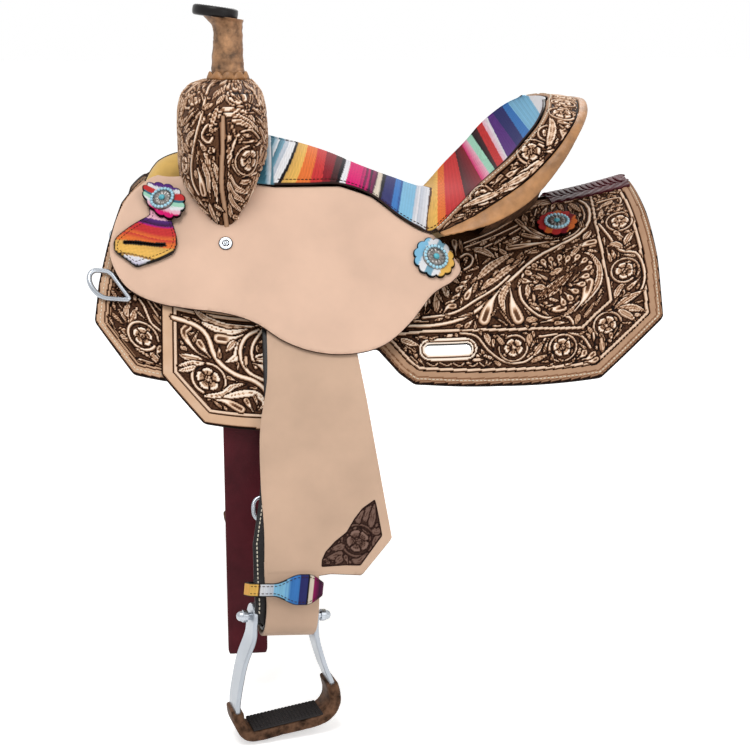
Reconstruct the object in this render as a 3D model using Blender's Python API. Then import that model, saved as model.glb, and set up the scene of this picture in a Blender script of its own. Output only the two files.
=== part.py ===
"""A western barrel racing saddle: tree, seat, leathers, rigging and stirrups as separate pieces.

Front is -X, the left (near) side is -Y, +Z is up. The origin is the point under the seat
where the ridge of the back or rack touches the lining."""

import math

import bmesh
import bpy
from mathutils import Matrix, Vector

# Clearances
GAP = 0.0003
LAYER_GAP = 0.0010
SWING_ROOM = 0.0042
SIDES = (("left", -1), ("right", 1))

# The back that the saddle lies on, in metres and degrees
KNEE_Y = 0.160
KNEE_Z = -0.080
FRONT_END_X, FRONT_FLAT_X = -0.30, -0.12
REAR_END_X, REAR_FLAT_X = 0.29, 0.05
KNEE_RISE_FRONT, KNEE_RISE_REAR = 0.040, 0.035
SIDE_SLOPE, SIDE_SLOPE_DROP_REAR = 58.0, 8.0
TOP_SLOPE, TOP_SLOPE_FRONT, TOP_SLOPE_REAR = 4.0, 23.0, 7.0
SPINE_HALF_GAP = 0.010

# Sheet thicknesses
FLEECE = 0.014
SKIRT_LEATHER = 0.0045
RIGGING_LEATHER = 0.0030
PLATE_THICKNESS = 0.0030
ROSETTE_LEATHER = 0.0035
LACING_LEATHER = 0.0030
STRAP_LEATHER = 0.0036
FENDER_LEATHER = 0.0042
JOCKEY_LEATHER = 0.0045
SEAT_LEATHER = 0.0035
SEAT_FOAM = 0.011
STRAINER_STEEL = 0.0020
COVER_LEATHER = 0.0040
KEEPER_LEATHER = 0.0040
LATIGO_LEATHER = 0.0048

# Skirts
SKIRT_FRONT_X, SKIRT_REAR_X = -0.318, 0.306
SKIRT_DROP_FRONT, SKIRT_DROP_REAR = 0.090, 0.096
SKIRT_ARCH_DROP = 0.036
CORNER_CUT_FRONT = 0.042
CELL_X, CELL_H = 0.050, 0.030
CORNER = 0.003
REAR_SLOT_X, REAR_SLOT_H = 0.061, 0.039
REAR_SLOT_LENGTH, REAR_SLOT_WIDTH = 0.052, 0.013
FLEECE_SLOT_WIDTH = 0.036

# Tree
BAR_FRONT_X, BAR_REAR_X = -0.215, 0.165
BAR_TOP_Y, BAR_THICKNESS = 0.030, 0.0080
COVER_TOP_Z = 0.1740
SWELL_FOOT_Z = -0.030
GULLET_HALF_WIDTH, GULLET_TOP_Z = 0.088, 0.100
GULLET_PLATE_FRONT_X, GULLET_PLATE_REAR_X = -0.202, -0.162
GULLET_PLATE_STEEL, GULLET_PLATE_FOOT_ANGLE = 0.0030, 19.0

# Horn
HORN_X, POST_RADIUS, POST_DEPTH = -0.1705, 0.0120, 0.030
CAP_X, CAP_Z, CAP_RADIUS = -0.1835, 0.2500, 0.0262
CAP_THICKNESS, CAP_TILT = 0.0120, 7.5
COLLAR_RADIUS, COLLAR_THICKNESS = 0.0255, 0.0030

# Seat and cantle
SEAT_FRONT_X = -0.1225
SEAM_GAP = 0.0012
PAD_ENDS, PAD_REACH = (0.10, 0.80), 0.66
ROLL_THICKNESS = 0.0075
BINDING_THICKNESS = 0.0095

# Jockeys
JOCKEY_FRONT_LIFT = 0.0060
JOCKEY_RAMP_FRONT = (-0.285, -0.205)
JOCKEY_RAMP_REAR = (0.035, 0.105)
JOCKEY_CELL = 0.020
SCREW_X, SCREW_H = -0.178, -0.081

# Fender, its leathers and their hinge
FENDER_HINGE_X, FENDER_HINGE_H = -0.106, -0.028
FENDER_TOP_X, FENDER_TOP_RADIUS = -0.092, 0.044
FENDER_LOW_H = 0.286
NECK_X, NECK_HALF_WIDTH = -0.1195, 0.0280
BUCKLE_H, BUCKLE_HALF_HEIGHT, BUCKLE_THICKNESS = 0.212, 0.013, 0.0030

# Stirrup
BOLT_CENTRE = (-0.1276, 0.318, -0.3579)
BOLT_RADIUS = 0.0040
STIRRUP_YAW, BOLT_DROP_ANGLE = 13.0, 6.5
STIRRUP_STRAP, STIRRUP_METAL = 0.030, 0.0050
STIRRUP_WRAP = 0.0030
TREAD_HALF_WIDTH, TREAD_THICKNESS = 0.0165, 0.0030
EYE_AT = 0.0365
SLEEVE_RADIUS, LOOP_AT = 0.0095, 0.0035
HOBBLE_AT, HOBBLE_LEATHER = 0.030, 0.0028
BEND_STEPS = 8

# Straps and rings
LATIGO_WIDTH, LATIGO_LOW_Z = 0.043, -0.440
LATIGO_X, LATIGO_H = -0.164, 0.094
DEE_WIRE, DEE_RADIUS, DEE_REACH = 0.0048, 0.0146, 0.0240
DEE_AT, DEE_TILT = (-0.3088, 0.0040), 20.0
ROSETTE_RADIUS, CONCHO_RADIUS = 0.0200, 0.0120

COLOURS = {
    "rough_out": ((0.76, 0.55, 0.38), 0.85, 0.0),
    "tooled": ((0.42, 0.24, 0.12), 0.55, 0.0),
    "caramel": ((0.47, 0.24, 0.09), 0.45, 0.0),
    "dark": ((0.03, 0.02, 0.02), 0.5, 0.0),
    "burgundy": ((0.13, 0.015, 0.02), 0.4, 0.0),
    "fleece": ((0.78, 0.70, 0.55), 0.95, 0.0),
    "stripes": ((0.70, 0.20, 0.16), 0.8, 0.0),
    "steel": ((0.75, 0.76, 0.78), 0.25, 1.0),
    "wood": ((0.62, 0.46, 0.28), 0.7, 0.0),
    "foam": ((0.75, 0.75, 0.70), 0.9, 0.0),
    "rubber": ((0.05, 0.045, 0.045), 0.8, 0.0),
    "turquoise": ((0.05, 0.35, 0.42), 0.4, 0.0),
}


# Shape of the back
def eased(x, start, end):
    """0 before start, then rising as a square, reaching 1 at end."""
    t = min(max((x - start) / (end - start), 0.0), 1.25)
    return t * t


def smooth_step(x, start, end):
    t = min(max((x - start) / (end - start), 0.0), 1.0)
    return t * t * (3 - 2 * t)


def back_section(x):
    """(height of the knee, slope below it, slope at the ridge, turn per metre) at x."""
    front = eased(x, FRONT_FLAT_X, FRONT_END_X)
    rear = eased(x, REAR_FLAT_X, REAR_END_X)
    knee_z = KNEE_Z + KNEE_RISE_FRONT * front + KNEE_RISE_REAR * rear
    low = math.radians(SIDE_SLOPE - SIDE_SLOPE_DROP_REAR * rear)
    top = math.radians(TOP_SLOPE + TOP_SLOPE_FRONT * front + TOP_SLOPE_REAR * rear)
    return knee_z, low, top, (math.sin(low) - math.sin(top)) / KNEE_Y


def h_at(x, y):
    """How far down from the knee the back is y from the middle (negative above the knee)."""
    knee_z, low, top, turn = back_section(x)
    if y >= KNEE_Y:
        return (y - KNEE_Y) / math.cos(low)
    return (math.asin(math.sin(low) - turn * (KNEE_Y - y)) - low) / turn


def on_back(x, h, out, side):
    """The point h below the knee along the back, raised by out square to it."""
    knee_z, low, top, turn = back_section(x)
    if h >= 0:
        angle = low
        y, z = KNEE_Y + h * math.cos(low), knee_z - h * math.sin(low)
    else:
        angle = low + turn * h
        y = KNEE_Y - (math.sin(low) - math.sin(angle)) / turn
        z = knee_z + (math.cos(angle) - math.cos(low)) / turn
    return Vector((x, side * (y + out * math.sin(angle)), z + out * math.cos(angle)))


def on_side_plane(x, h, out, side):
    """The same on the flat plane that the back has below its knee between the legs."""
    low = math.radians(SIDE_SLOPE)
    y = KNEE_Y + h * math.cos(low) + out * math.sin(low)
    return Vector((x, side * y, KNEE_Z - h * math.sin(low) + out * math.cos(low)))


SKIRT_TOP = SKIRT_LEATHER + LAYER_GAP
PLATE_TOP = SKIRT_TOP - LAYER_GAP
BAR_TOP = SKIRT_TOP + BAR_THICKNESS
RIGGING_TOP = SKIRT_TOP + RIGGING_LEATHER
STRAP_BASE = RIGGING_TOP + SWING_ROOM
FENDER_GAP = LAYER_GAP + 2 * GAP
FENDER_BASE = STRAP_BASE + STRAP_LEATHER + FENDER_GAP
JOCKEY_BASE = FENDER_BASE + FENDER_LEATHER + LAYER_GAP
STACK_LOW = -(SEAT_LEATHER + SEAT_FOAM + STRAINER_STEEL + 2 * LAYER_GAP)
LOOP_RADIUS = SLEEVE_RADIUS + 2 * GAP + STRAP_LEATHER + FENDER_GAP + FENDER_LEATHER / 2
WHOLE = (1, 1)


def on_jockey(x, h, out, side):
    """Over the fender the jockey is flat; at its front and rear it lies on the skirt."""
    over = smooth_step(x, *JOCKEY_RAMP_FRONT) * (1 - smooth_step(x, *JOCKEY_RAMP_REAR))
    lift = JOCKEY_FRONT_LIFT * (1 - smooth_step(x, *JOCKEY_RAMP_REAR))
    flat = on_side_plane(x, h, JOCKEY_BASE + out, side)
    return on_back(x, h, SKIRT_TOP + lift + out, side).lerp(flat, over)


# Outlines
def rounded(points, radius, steps=3):
    """The closed outline with each corner turned as an arc."""
    made = []
    count = len(points)
    for i, corner in enumerate(points):
        here = Vector(corner)
        before, after = Vector(points[i - 1]) - here, Vector(points[(i + 1) % count]) - here
        reach = min(radius, before.length / 2.2, after.length / 2.2)
        start, end = here + before.normalized() * reach, here + after.normalized() * reach
        for k in range(steps + 1):
            t = k / steps
            made.append(tuple(start * (1 - t) ** 2 + here * (2 * t * (1 - t)) + end * t * t))
    return made


def curve_through(points, steps=2, closed=False):
    """Points along a smooth curve through the given ones."""
    count = len(points)
    made = []
    for i in range(count if closed else count - 1):
        if closed:
            a, b, c, d = (Vector(points[(i + k) % count]) for k in (-1, 0, 1, 2))
        else:
            a, b, c, d = (Vector(points[min(max(i + k, 0), count - 1)]) for k in (-1, 0, 1, 2))
        for k in range(steps):
            t = k / steps
            made.append(
                tuple(
                    0.5
                    * (
                        2 * b
                        + (c - a) * t
                        + (2 * a - 5 * b + 4 * c - d) * t * t
                        + (3 * b - a - 3 * c + d) * t ** 3
                    )
                )
            )
    if not closed:
        made.append(tuple(points[-1]))
    return made


def slot_outline(x, h, length, width, steps=4):
    """A slot with round ends."""
    made = []
    for end, start in ((1, -math.pi / 2), (-1, math.pi / 2)):
        for k in range(steps + 1):
            angle = start + math.pi * k / steps
            made.append(
                (
                    x + end * (length - width) / 2 + width / 2 * math.cos(angle),
                    h + width / 2 * math.sin(angle),
                )
            )
    return made


# Objects
def material(name):
    found = bpy.data.materials.get(name)
    if found:
        return found
    colour, roughness, metallic = COLOURS[name]
    made = bpy.data.materials.new(name)
    made.use_nodes = True
    made.diffuse_color = (*colour, 1)
    shader = made.node_tree.nodes["Principled BSDF"]
    shader.inputs["Base Color"].default_value = (*colour, 1)
    shader.inputs["Roughness"].default_value = roughness
    shader.inputs["Metallic"].default_value = metallic
    return made


def finish(bm, name, look):
    bmesh.ops.remove_doubles(bm, verts=bm.verts, dist=1e-6)
    bmesh.ops.recalc_face_normals(bm, faces=bm.faces)
    mesh = bpy.data.meshes.new(name)
    bm.to_mesh(mesh)
    bm.free()
    mesh.materials.append(material(look))
    obj = bpy.data.objects.new(name, mesh)
    bpy.context.scene.collection.objects.link(obj)
    return obj


def cut_by(obj, cutter, operation="DIFFERENCE"):
    """The Boolean with a helper that isn't part of the saddle."""
    cutter.hide_render = True
    cutter.display_type = "WIRE"
    modifier = obj.modifiers.new(cutter.name, "BOOLEAN")
    modifier.operation = operation
    modifier.object = cutter
    return obj


def sheet(name, look, outline, under, over, place, cell=(CELL_X, CELL_H)):
    """A sheet with this outline in (x, h), from under to over above the surface of place."""
    flat = bmesh.new()
    flat.faces.new([flat.verts.new((p[0], p[1], 0)) for p in outline])
    for axis, step in enumerate(cell):
        low = min(p[axis] for p in outline)
        high = max(p[axis] for p in outline)
        for k in range(math.ceil(low / step), math.floor(high / step) + 1):
            line, square = [0, 0, 0], [0, 0, 0]
            line[axis], square[axis] = k * step, 1
            bmesh.ops.bisect_plane(
                flat,
                geom=flat.verts[:] + flat.edges[:] + flat.faces[:],
                dist=1e-5,
                plane_co=line,
                plane_no=square,
            )
    bm = bmesh.new()
    low_of, high_of = {}, {}
    for v in flat.verts:
        x, h = v.co.x, v.co.y
        bottom = under(x, h) if callable(under) else under
        top = over(x, h) if callable(over) else over
        low_of[v] = bm.verts.new(place(x, h, bottom))
        high_of[v] = bm.verts.new(place(x, h, top))
    for f in flat.faces:
        bm.faces.new([high_of[v] for v in f.verts])
        bm.faces.new([low_of[v] for v in reversed(f.verts)])
    for e in flat.edges:
        if e.is_boundary:
            a, b = e.verts
            bm.faces.new([low_of[a], low_of[b], high_of[b], high_of[a]])
    flat.free()
    return finish(bm, name, look)


def side_place(surface, side):
    return lambda x, h, out: surface(x, h, out, side)


def loft(name, look, rings, closed=False):
    """A solid through rings of equally many points, with flat ends unless it closes on itself."""
    bm = bmesh.new()
    made = [[bm.verts.new(p) for p in ring] for ring in rings]
    count = len(made[0])
    pairs = list(zip(made, made[1:]))
    if closed:
        pairs.append((made[-1], made[0]))
    for a, b in pairs:
        for k in range(count):
            bm.faces.new([a[k], a[(k + 1) % count], b[(k + 1) % count], b[k]])
    if not closed:
        bm.faces.new(list(reversed(made[0])))
        bm.faces.new(made[-1])
    return finish(bm, name, look)


def turned(name, look, profile, centre, axis, count=24):
    """A solid turned about axis through centre; the profile is (radius, distance along it)."""
    spin = Vector((0, 0, 1)).rotation_difference(Vector(axis)).to_matrix()
    centre = Vector(centre)
    bm = bmesh.new()
    rings = []
    for radius, along in profile:
        if radius < 1e-6:
            rings.append([bm.verts.new(centre + spin @ Vector((0, 0, along)))])
            continue
        rings.append(
            [
                bm.verts.new(centre + spin @ Vector((radius * math.cos(a), radius * math.sin(a), along)))
                for a in (2 * math.pi * k / count for k in range(count))
            ]
        )
    ends = list(zip(rings, rings[1:]))
    if len(rings[0]) > 1:
        ends.append((rings[-1], rings[0]))
    for a, b in ends:
        for k in range(count):
            face = []
            for ring, at in ((a, k), (a, k + 1), (b, k + 1), (b, k)):
                v = ring[at % len(ring)]
                if v not in face:
                    face.append(v)
            bm.faces.new(face)
    return finish(bm, name, look)


def wire(name, look, points, diameter, sides=8, closed=False):
    """A round bar along a path."""
    rings = []
    count = len(points)
    points = [Vector(p) for p in points]
    up = None
    for i, p in enumerate(points):
        before = points[i - 1] if closed or i else p
        after = points[(i + 1) % count] if closed or i + 1 < count else p
        along = (after - before).normalized()
        if up is None:
            up = along.orthogonal().normalized()
        up = (up - along * up.dot(along)).normalized()
        across = along.cross(up)
        rings.append(
            [
                p + diameter / 2 * (up * math.cos(a) + across * math.sin(a))
                for a in (2 * math.pi * k / sides for k in range(sides))
            ]
        )
    return loft(name, look, rings, closed)


# Skirts and linings
def skirt_outline(inset=0.0):
    """Front edge, cut corner, arched lower edge and rear corner, then the edge along the spine."""
    front, rear = SKIRT_FRONT_X + inset, SKIRT_REAR_X - inset
    low_front, low_rear = SKIRT_DROP_FRONT - inset, SKIRT_DROP_REAR - inset
    spine = SPINE_HALF_GAP + inset
    edge = [
        (-0.252 + inset, h_at(-0.252, spine + 0.012)),
        (-0.272 + inset, -0.165),
        (-0.292 + inset, -0.111),
        (-0.305 + inset, -0.049),
        (front + 0.004, 0.003),
        (front, low_front - CORNER_CUT_FRONT),
        (front + 0.040, low_front),
        (front + 0.075, low_front - 0.004),
        (-0.190, low_front - 0.030),
        (-0.100, SKIRT_ARCH_DROP - inset),
        (-0.016, SKIRT_ARCH_DROP - inset),
        (0.006, 0.064 - inset),
        (0.022, 0.077 - inset),
        (0.115, low_rear - 0.012),
        (rear - 0.082, low_rear),
        (rear - 0.008, low_rear - 0.048),
        (rear - 0.002, -0.028),
        (rear, -0.100),
        (rear - 0.001, h_at(rear, spine)),
    ]
    spine_edge = [
        (x, h_at(x, spine + (0.012 if x < -0.21 else 0.0)))
        for x in (0.26, 0.21, 0.16, 0.11, 0.06, 0.01, -0.04, -0.09, -0.14, -0.19, -0.23)
    ]
    return rounded(edge, CORNER, 1) + spine_edge


def make_skirts():
    slot = slot_outline(REAR_SLOT_X, REAR_SLOT_H, REAR_SLOT_LENGTH, REAR_SLOT_WIDTH)
    wide = slot_outline(REAR_SLOT_X, REAR_SLOT_H, REAR_SLOT_LENGTH, FLEECE_SLOT_WIDTH)
    for word, side in SIDES:
        place = side_place(on_back, side)
        skirt = sheet(f"skirt_{word}", "tooled", skirt_outline(), 0.0, SKIRT_LEATHER, place)
        top, low = -LAYER_GAP - GAP, -LAYER_GAP - GAP - FLEECE
        fleece = sheet(f"fleece_lining_{word}", "fleece", skirt_outline(0.004), low, top, place)
        for piece, outline in ((skirt, slot), (fleece, wide)):
            cutter = sheet(f"{piece.name}_slot_cut", "dark", outline, -0.03, 0.02, place, WHOLE)
            cut_by(piece, cutter)


def make_rigging():
    """The tooled rigging leathers over the skirts, each with its metal plate behind."""
    outline = rounded(
        [
            (-0.249, -0.012),
            (-0.249, 0.082),
            (-0.205, 0.126),
            (-0.085, 0.127),
            (-0.040, 0.082),
            (-0.040, -0.012),
        ],
        CORNER,
        1,
    )
    reach_x, up, down = 0.030, 0.008, 0.012
    plate = rounded(
        [
            (LATIGO_X - reach_x, LATIGO_H - up),
            (LATIGO_X - reach_x, LATIGO_H + down),
            (LATIGO_X + reach_x, LATIGO_H + down),
            (LATIGO_X + reach_x, LATIGO_H - up),
        ],
        0.004,
        2,
    )
    for word, side in SIDES:
        place = side_place(on_back, side)
        sheet(f"rigging_leather_{word}", "tooled", outline, SKIRT_TOP, RIGGING_TOP, place)
        sheet(f"rigging_plate_{word}", "steel", plate, PLATE_TOP - PLATE_THICKNESS, PLATE_TOP, place)


# Tree
SWELL_LEVELS = (
    (SWELL_FOOT_Z, 0.118, -0.200, -0.152, 2.6),
    (0.000, 0.121, -0.202, -0.151, 2.6),
    (0.016, 0.1275, -0.205, -0.150, 2.5),
    (0.030, 0.134, -0.212, -0.147, 2.5),
    (0.045, 0.140, -0.220, -0.142, 2.6),
    (0.060, 0.1445, -0.2265, -0.137, 2.8),
    (0.080, 0.148, -0.229, -0.131, 3.0),
    (0.105, 0.149, -0.229, -0.1275, 3.2),
    (0.130, 0.142, -0.229, -0.128, 3.2),
    (0.150, 0.126, -0.227, -0.130, 3.0),
    (0.163, 0.100, -0.221, -0.134, 2.8),
    (0.170, 0.072, -0.212, -0.139, 2.6),
    (COVER_TOP_Z, 0.042, -0.200, -0.143, 2.4),
)


def swell_rings(inset, count=28):
    """Level sections of the swell from its feet to its top, each a rounded oblong."""
    rings = []
    for z, half_width, front, rear, power in SWELL_LEVELS:
        middle, half_length = (front + rear) / 2, (rear - front) / 2 - inset
        level = z - inset if z > GULLET_TOP_Z else z
        ring = []
        for k in range(count):
            a = 2 * math.pi * (k + 0.5) / count
            c, s = math.cos(a), math.sin(a)
            ring.append(
                (
                    middle + half_length * math.copysign(abs(c) ** (2 / power), c),
                    (half_width - inset) * math.copysign(abs(s) ** (2 / power), s),
                    level,
                )
            )
        rings.append(ring)
    return rings


def arch(half, top, start=0.0, steps=12):
    """The gullet's outline in (y, z), from its right foot over to its left one."""
    made = []
    for k in range(steps + 1):
        a = start + (math.pi - 2 * start) * k / steps
        made.append((half * math.cos(a), SWELL_FOOT_Z + (top - SWELL_FOOT_Z) * math.sin(a) ** 0.8))
    return made


def gullet_cutter(name, grow):
    """The arch under the swell, as a bar along the saddle."""
    half = GULLET_HALF_WIDTH + grow
    below = SWELL_FOOT_Z - 0.05
    outline = [(half, below)] + arch(half, GULLET_TOP_Z + grow) + [(-half, below)]
    return loft(name, "dark", [[(x, y, z) for y, z in outline] for x in (-0.30, -0.05)])


def across_back(x, y, out):
    """The point y from the middle, raised by out from the back."""
    side = 1 if y >= 0 else -1
    return on_back(x, h_at(x, max(abs(y), 1e-4)), out, side)


def back_block(name, front, rear, half, top):
    """Everything between these stations from deep in the back up to top above it."""
    outline = [(front, -half), (rear, -half), (rear, half), (front, half)]
    return sheet(name, "dark", outline, -0.09, top, across_back, (CELL_X, 0.02))


def make_swell():
    cover = loft("swell_cover", "tooled", swell_rings(0.0))
    cut_by(cover, gullet_cutter("gullet_cut", 0.0))
    hollow = loft("swell_hollow_cut", "dark", swell_rings(COVER_LEATHER - GAP))
    for v in hollow.data.vertices:
        if v.co.z < SWELL_FOOT_Z + GAP:
            v.co.z -= 0.02
    cut_by(hollow, gullet_cutter("hollow_gullet_cut", COVER_LEATHER - GAP))
    cut_by(cover, hollow)
    core = loft("fork_core", "wood", swell_rings(COVER_LEATHER))
    cut_by(core, gullet_cutter("core_gullet_cut", COVER_LEATHER))
    reach = POST_RADIUS + GAP
    bottom = COVER_TOP_Z - POST_DEPTH - GAP
    profile = [(0, bottom), (reach, bottom), (reach, COVER_TOP_Z + 0.03), (0, COVER_TOP_Z + 0.03)]
    post_hole = turned("horn_hole_cut", "dark", profile, (HORN_X, 0, 0), (0, 0, 1), 16)
    below = back_block("bar_top_cut", -0.26, -0.10, 0.16, BAR_TOP + LAYER_GAP + GAP)
    for made in (cover, core):
        cut_by(made, post_hole)
        cut_by(made, below)


def make_gullet_plate():
    """The steel strap that joins the bars under the swell."""
    start = math.radians(GULLET_PLATE_FOOT_ANGLE)
    under = LAYER_GAP, LAYER_GAP + GULLET_PLATE_STEEL
    outer, inner = (arch(GULLET_HALF_WIDTH - off, GULLET_TOP_Z - off, start) for off in under)
    section = outer + list(reversed(inner))
    ends = (GULLET_PLATE_FRONT_X, GULLET_PLATE_REAR_X)
    loft("gullet_plate", "steel", [[(x, y, z) for y, z in section] for x in ends])


def make_bars():
    """The bars lie along both sides of the spine, narrowed where the stirrup leathers pass."""
    top = [(x, h_at(x, BAR_TOP_Y)) for x in (0.150, 0.100, 0.050, 0.0, -0.050, -0.100, -0.150, -0.200)]
    outline = top + [
        (BAR_FRONT_X, -0.135),
        (BAR_FRONT_X, -0.050),
        (BAR_FRONT_X + 0.012, -0.034),
        (-0.160, -0.034),
        (-0.148, -0.080),
        (-0.040, -0.080),
        (0.020, -0.092),
        (0.070, -0.112),
        (0.110, -0.124),
        (BAR_REAR_X, -0.158),
    ]
    for word, side in SIDES:
        place = side_place(on_back, side)
        sheet(f"tree_bar_{word}", "wood", rounded(outline, 0.006, 1), SKIRT_TOP, BAR_TOP, place)


# Horn
def horn_ring(x, z, radius, tilt, count=20):
    turn = Matrix.Rotation(math.radians(tilt), 3, "Y")
    return [
        Vector((x, 0, z)) + turn @ Vector((radius * math.cos(a), radius * math.sin(a) * 0.94, 0))
        for a in (2 * math.pi * k / count for k in range(count))
    ]


def make_horn():
    base = COVER_TOP_Z + LAYER_GAP
    half = CAP_THICKNESS / 2
    under_cap = CAP_Z - half + 0.0015
    sections = (
        (HORN_X, base, 0.0205, 0),
        (HORN_X, base + 0.010, 0.0195, 0),
        (HORN_X, base + 0.026, 0.0183, 0),
        (HORN_X + 0.001, base + 0.047, 0.0172, 2),
        (HORN_X, base + 0.059, 0.0182, 5),
        (HORN_X - 0.004, under_cap - 0.0024, 0.0225, CAP_TILT),
    )
    wrap = loft("horn_neck_wrap", "caramel", [horn_ring(*section) for section in sections])
    reach = POST_RADIUS + GAP
    profile = [(0, base - 0.01), (reach, base - 0.01), (reach, CAP_Z + 0.01), (0, CAP_Z + 0.01)]
    cut_by(wrap, turned("horn_bore_cut", "dark", profile, (HORN_X, 0, 0), (0, 0, 1), 16))
    ends = (COVER_TOP_Z - POST_DEPTH, under_cap - 0.0040)
    profile = [(0, ends[0]), (POST_RADIUS, ends[0]), (POST_RADIUS, ends[1]), (0, ends[1])]
    turned("horn_post", "steel", profile, (HORN_X, 0, 0), (0, 0, 1), 16)
    tilt = math.radians(CAP_TILT)
    profile = [
        (0, -half + 0.0015),
        (CAP_RADIUS - 0.009, -half + 0.0010),
        (CAP_RADIUS - 0.003, -half + 0.0015),
        (CAP_RADIUS, -half + 0.0045),
        (CAP_RADIUS, half - 0.0045),
        (CAP_RADIUS - 0.003, half - 0.0015),
        (CAP_RADIUS - 0.008, half),
        (0, half),
    ]
    axis = (math.sin(tilt), 0, math.cos(tilt))
    turned("horn_cap", "dark", profile, (CAP_X, 0, CAP_Z), axis, 32)
    scallops = []
    for k in range(36):
        reach = COLLAR_RADIUS - (0.0 if k % 3 else 0.0018)
        a = 2 * math.pi * k / 36
        scallops.append((HORN_X + reach * math.cos(a), reach * math.sin(a)))
    levels = (COVER_TOP_Z + GAP, COVER_TOP_Z + GAP + COLLAR_THICKNESS)
    collar = loft("horn_collar", "caramel", [[(x, y, z) for x, y in scallops] for z in levels])
    bore = sections[0][2] + 2 * GAP
    profile = [(0, base - 0.01), (bore, base - 0.01), (bore, base + 0.01), (0, base + 0.01)]
    cut_by(collar, turned("collar_cut", "dark", profile, (HORN_X, 0, 0), (0, 0, 1), 24))


# Seat and cantle
def seam_h(x):
    """Where the seat leather meets the jockey."""
    return -0.150 + 0.058 * smooth_step(x, -0.045, 0.050)


SEAM_X = (SEAT_FRONT_X, -0.088, -0.050, -0.015, 0.015, 0.035, 0.050)
RIM = (
    (0.0745, 0.128, 0.0355),
    (0.1002, 0.133, 0.0642),
    (0.1298, 0.139, 0.0929),
    (0.1473, 0.138, 0.1133),
    (0.1640, 0.125, 0.1305),
    (0.1765, 0.098, 0.1432),
    (0.1855, 0.060, 0.1510),
)
CROWN = (
    (SEAT_FRONT_X, 0, 0.1100),
    (-0.090, 0, 0.1015),
    (-0.055, 0, 0.0900),
    (-0.017, 0, 0.0740),
    (0.022, 0, 0.0595),
    (0.060, 0, 0.0475),
    (0.098, 0, 0.0500),
    (0.130, 0, 0.0660),
    (0.157, 0, 0.0930),
    (0.180, 0, 0.1260),
    (0.1974, 0, 0.1545),
)
ROLL_EDGE = (
    (0.2446, 0, 0.1496),
    (0.2415, 0.042, 0.1485),
    (0.2300, 0.096, 0.1385),
    (0.2110, 0.138, 0.1190),
    (0.1880, 0.1565, 0.0870),
    (0.1555, 0.160, 0.0500),
    (0.1120, 0.156, 0.0235),
    (0.0573, 0.148, 0.0092),
)
TOP_SHARE = 0.22


def spline_at(points, t):
    """The point a share t along the smooth curve through the points."""
    spans = len(points) - 1
    i = min(int(t * spans), spans - 1)
    t = t * spans - i
    a, b, c, d = (Vector(points[min(max(i + k, 0), spans)]) for k in (-1, 0, 1, 2))
    bend = (2 * a - 5 * b + 4 * c - d) * t * t + (3 * b - a - 3 * c + d) * t**3
    return 0.5 * (2 * b + (c - a) * t + bend)


def seat_edge():
    """The seat's edge from the swell along the seam and up the cantle."""
    over = JOCKEY_LEATHER + SEAT_LEATHER + LAYER_GAP + GAP
    return [tuple(on_jockey(x, seam_h(x), over, 1)) for x in SEAM_X] + list(RIM)


def seat_point(u, v):
    """u runs from the swell to the top of the cantle, v from the left edge to the right one."""
    edge = spline_at(SEAT_EDGE, u)
    crown = spline_at(CROWN, u)
    share = abs(v)
    x = crown.x + (edge.x - crown.x) * share**2
    z = crown.z + (edge.z - crown.z) * share**2.2
    return Vector((x, edge.y * v, z))


def seat_normal(u, v):
    step = 0.01
    along = seat_point(min(u + step, 1), v) - seat_point(max(u - step, 0), v)
    across = seat_point(u, min(v + step, 1)) - seat_point(u, max(v - step, -1))
    return along.cross(across).normalized()


def seat_layer(name, look, high, low, ends=(0.0, 1.0), reach=1.0, across=10, along=26):
    """A layer of the seat from low to high above its outer surface; its edges slope inward."""
    bm = bmesh.new()
    rows = []
    for i in range(along + 1):
        u = ends[0] + (ends[1] - ends[0]) * i / along
        row = []
        for k in range(across + 1):
            v = reach * (2 * k / across - 1)
            top = seat_point(u, v) + seat_normal(u, v) * high
            in_u, in_v = min(u, 0.985), v * 0.98
            bottom = seat_point(in_u, in_v) + seat_normal(in_u, in_v) * low
            row.append((bm.verts.new(top), bm.verts.new(bottom)))
        rows.append(row)
    for a, b in zip(rows, rows[1:]):
        for k in range(across):
            bm.faces.new([a[k][0], b[k][0], b[k + 1][0], a[k + 1][0]])
            bm.faces.new([a[k][1], a[k + 1][1], b[k + 1][1], b[k][1]])
        for k in (0, across):
            bm.faces.new([a[k][0], a[k][1], b[k][1], b[k][0]])
    for row in (rows[0], rows[-1]):
        for k in range(across):
            bm.faces.new([row[k][0], row[k + 1][0], row[k + 1][1], row[k][1]])
    return finish(bm, name, look)


def make_seat():
    cover = seat_layer("seat_cover", "stripes", 0.0, -SEAT_LEATHER)
    front, tip, half = SEAT_FRONT_X - 0.02, -0.092, 0.016
    right = [(front, -half), (tip - 0.012, -half * 0.5), (tip, 0)]
    wedge = right + [(x, -y) for x, y in right[-2::-1]]
    opening = loft("seat_opening_cut", "dark", [[(x, y, z) for x, y in wedge] for z in (0.07, 0.13)])
    cut_by(cover, opening)
    foam_top = -SEAT_LEATHER - LAYER_GAP
    steel_top = foam_top - SEAT_FOAM - LAYER_GAP
    seat_layer("seat_foam", "foam", foam_top, foam_top - SEAT_FOAM, PAD_ENDS, PAD_REACH, 8, 18)
    seat_layer("ground_seat", "steel", steel_top, STACK_LOW, PAD_ENDS, PAD_REACH, 8, 18)


def rim_point(t, side):
    """From the middle of the top of the cantle (0) round to the front end of its rim (1)."""
    if t < TOP_SHARE:
        p = seat_point(1.0, t / TOP_SHARE)
    else:
        low = (len(SEAM_X) - 1) / (len(SEAT_EDGE) - 1)
        p = seat_point(1 - (t - TOP_SHARE) / (1 - TOP_SHARE) * (1 - low), 1.0)
    return Vector((p.x, side * p.y, p.z))


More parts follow.
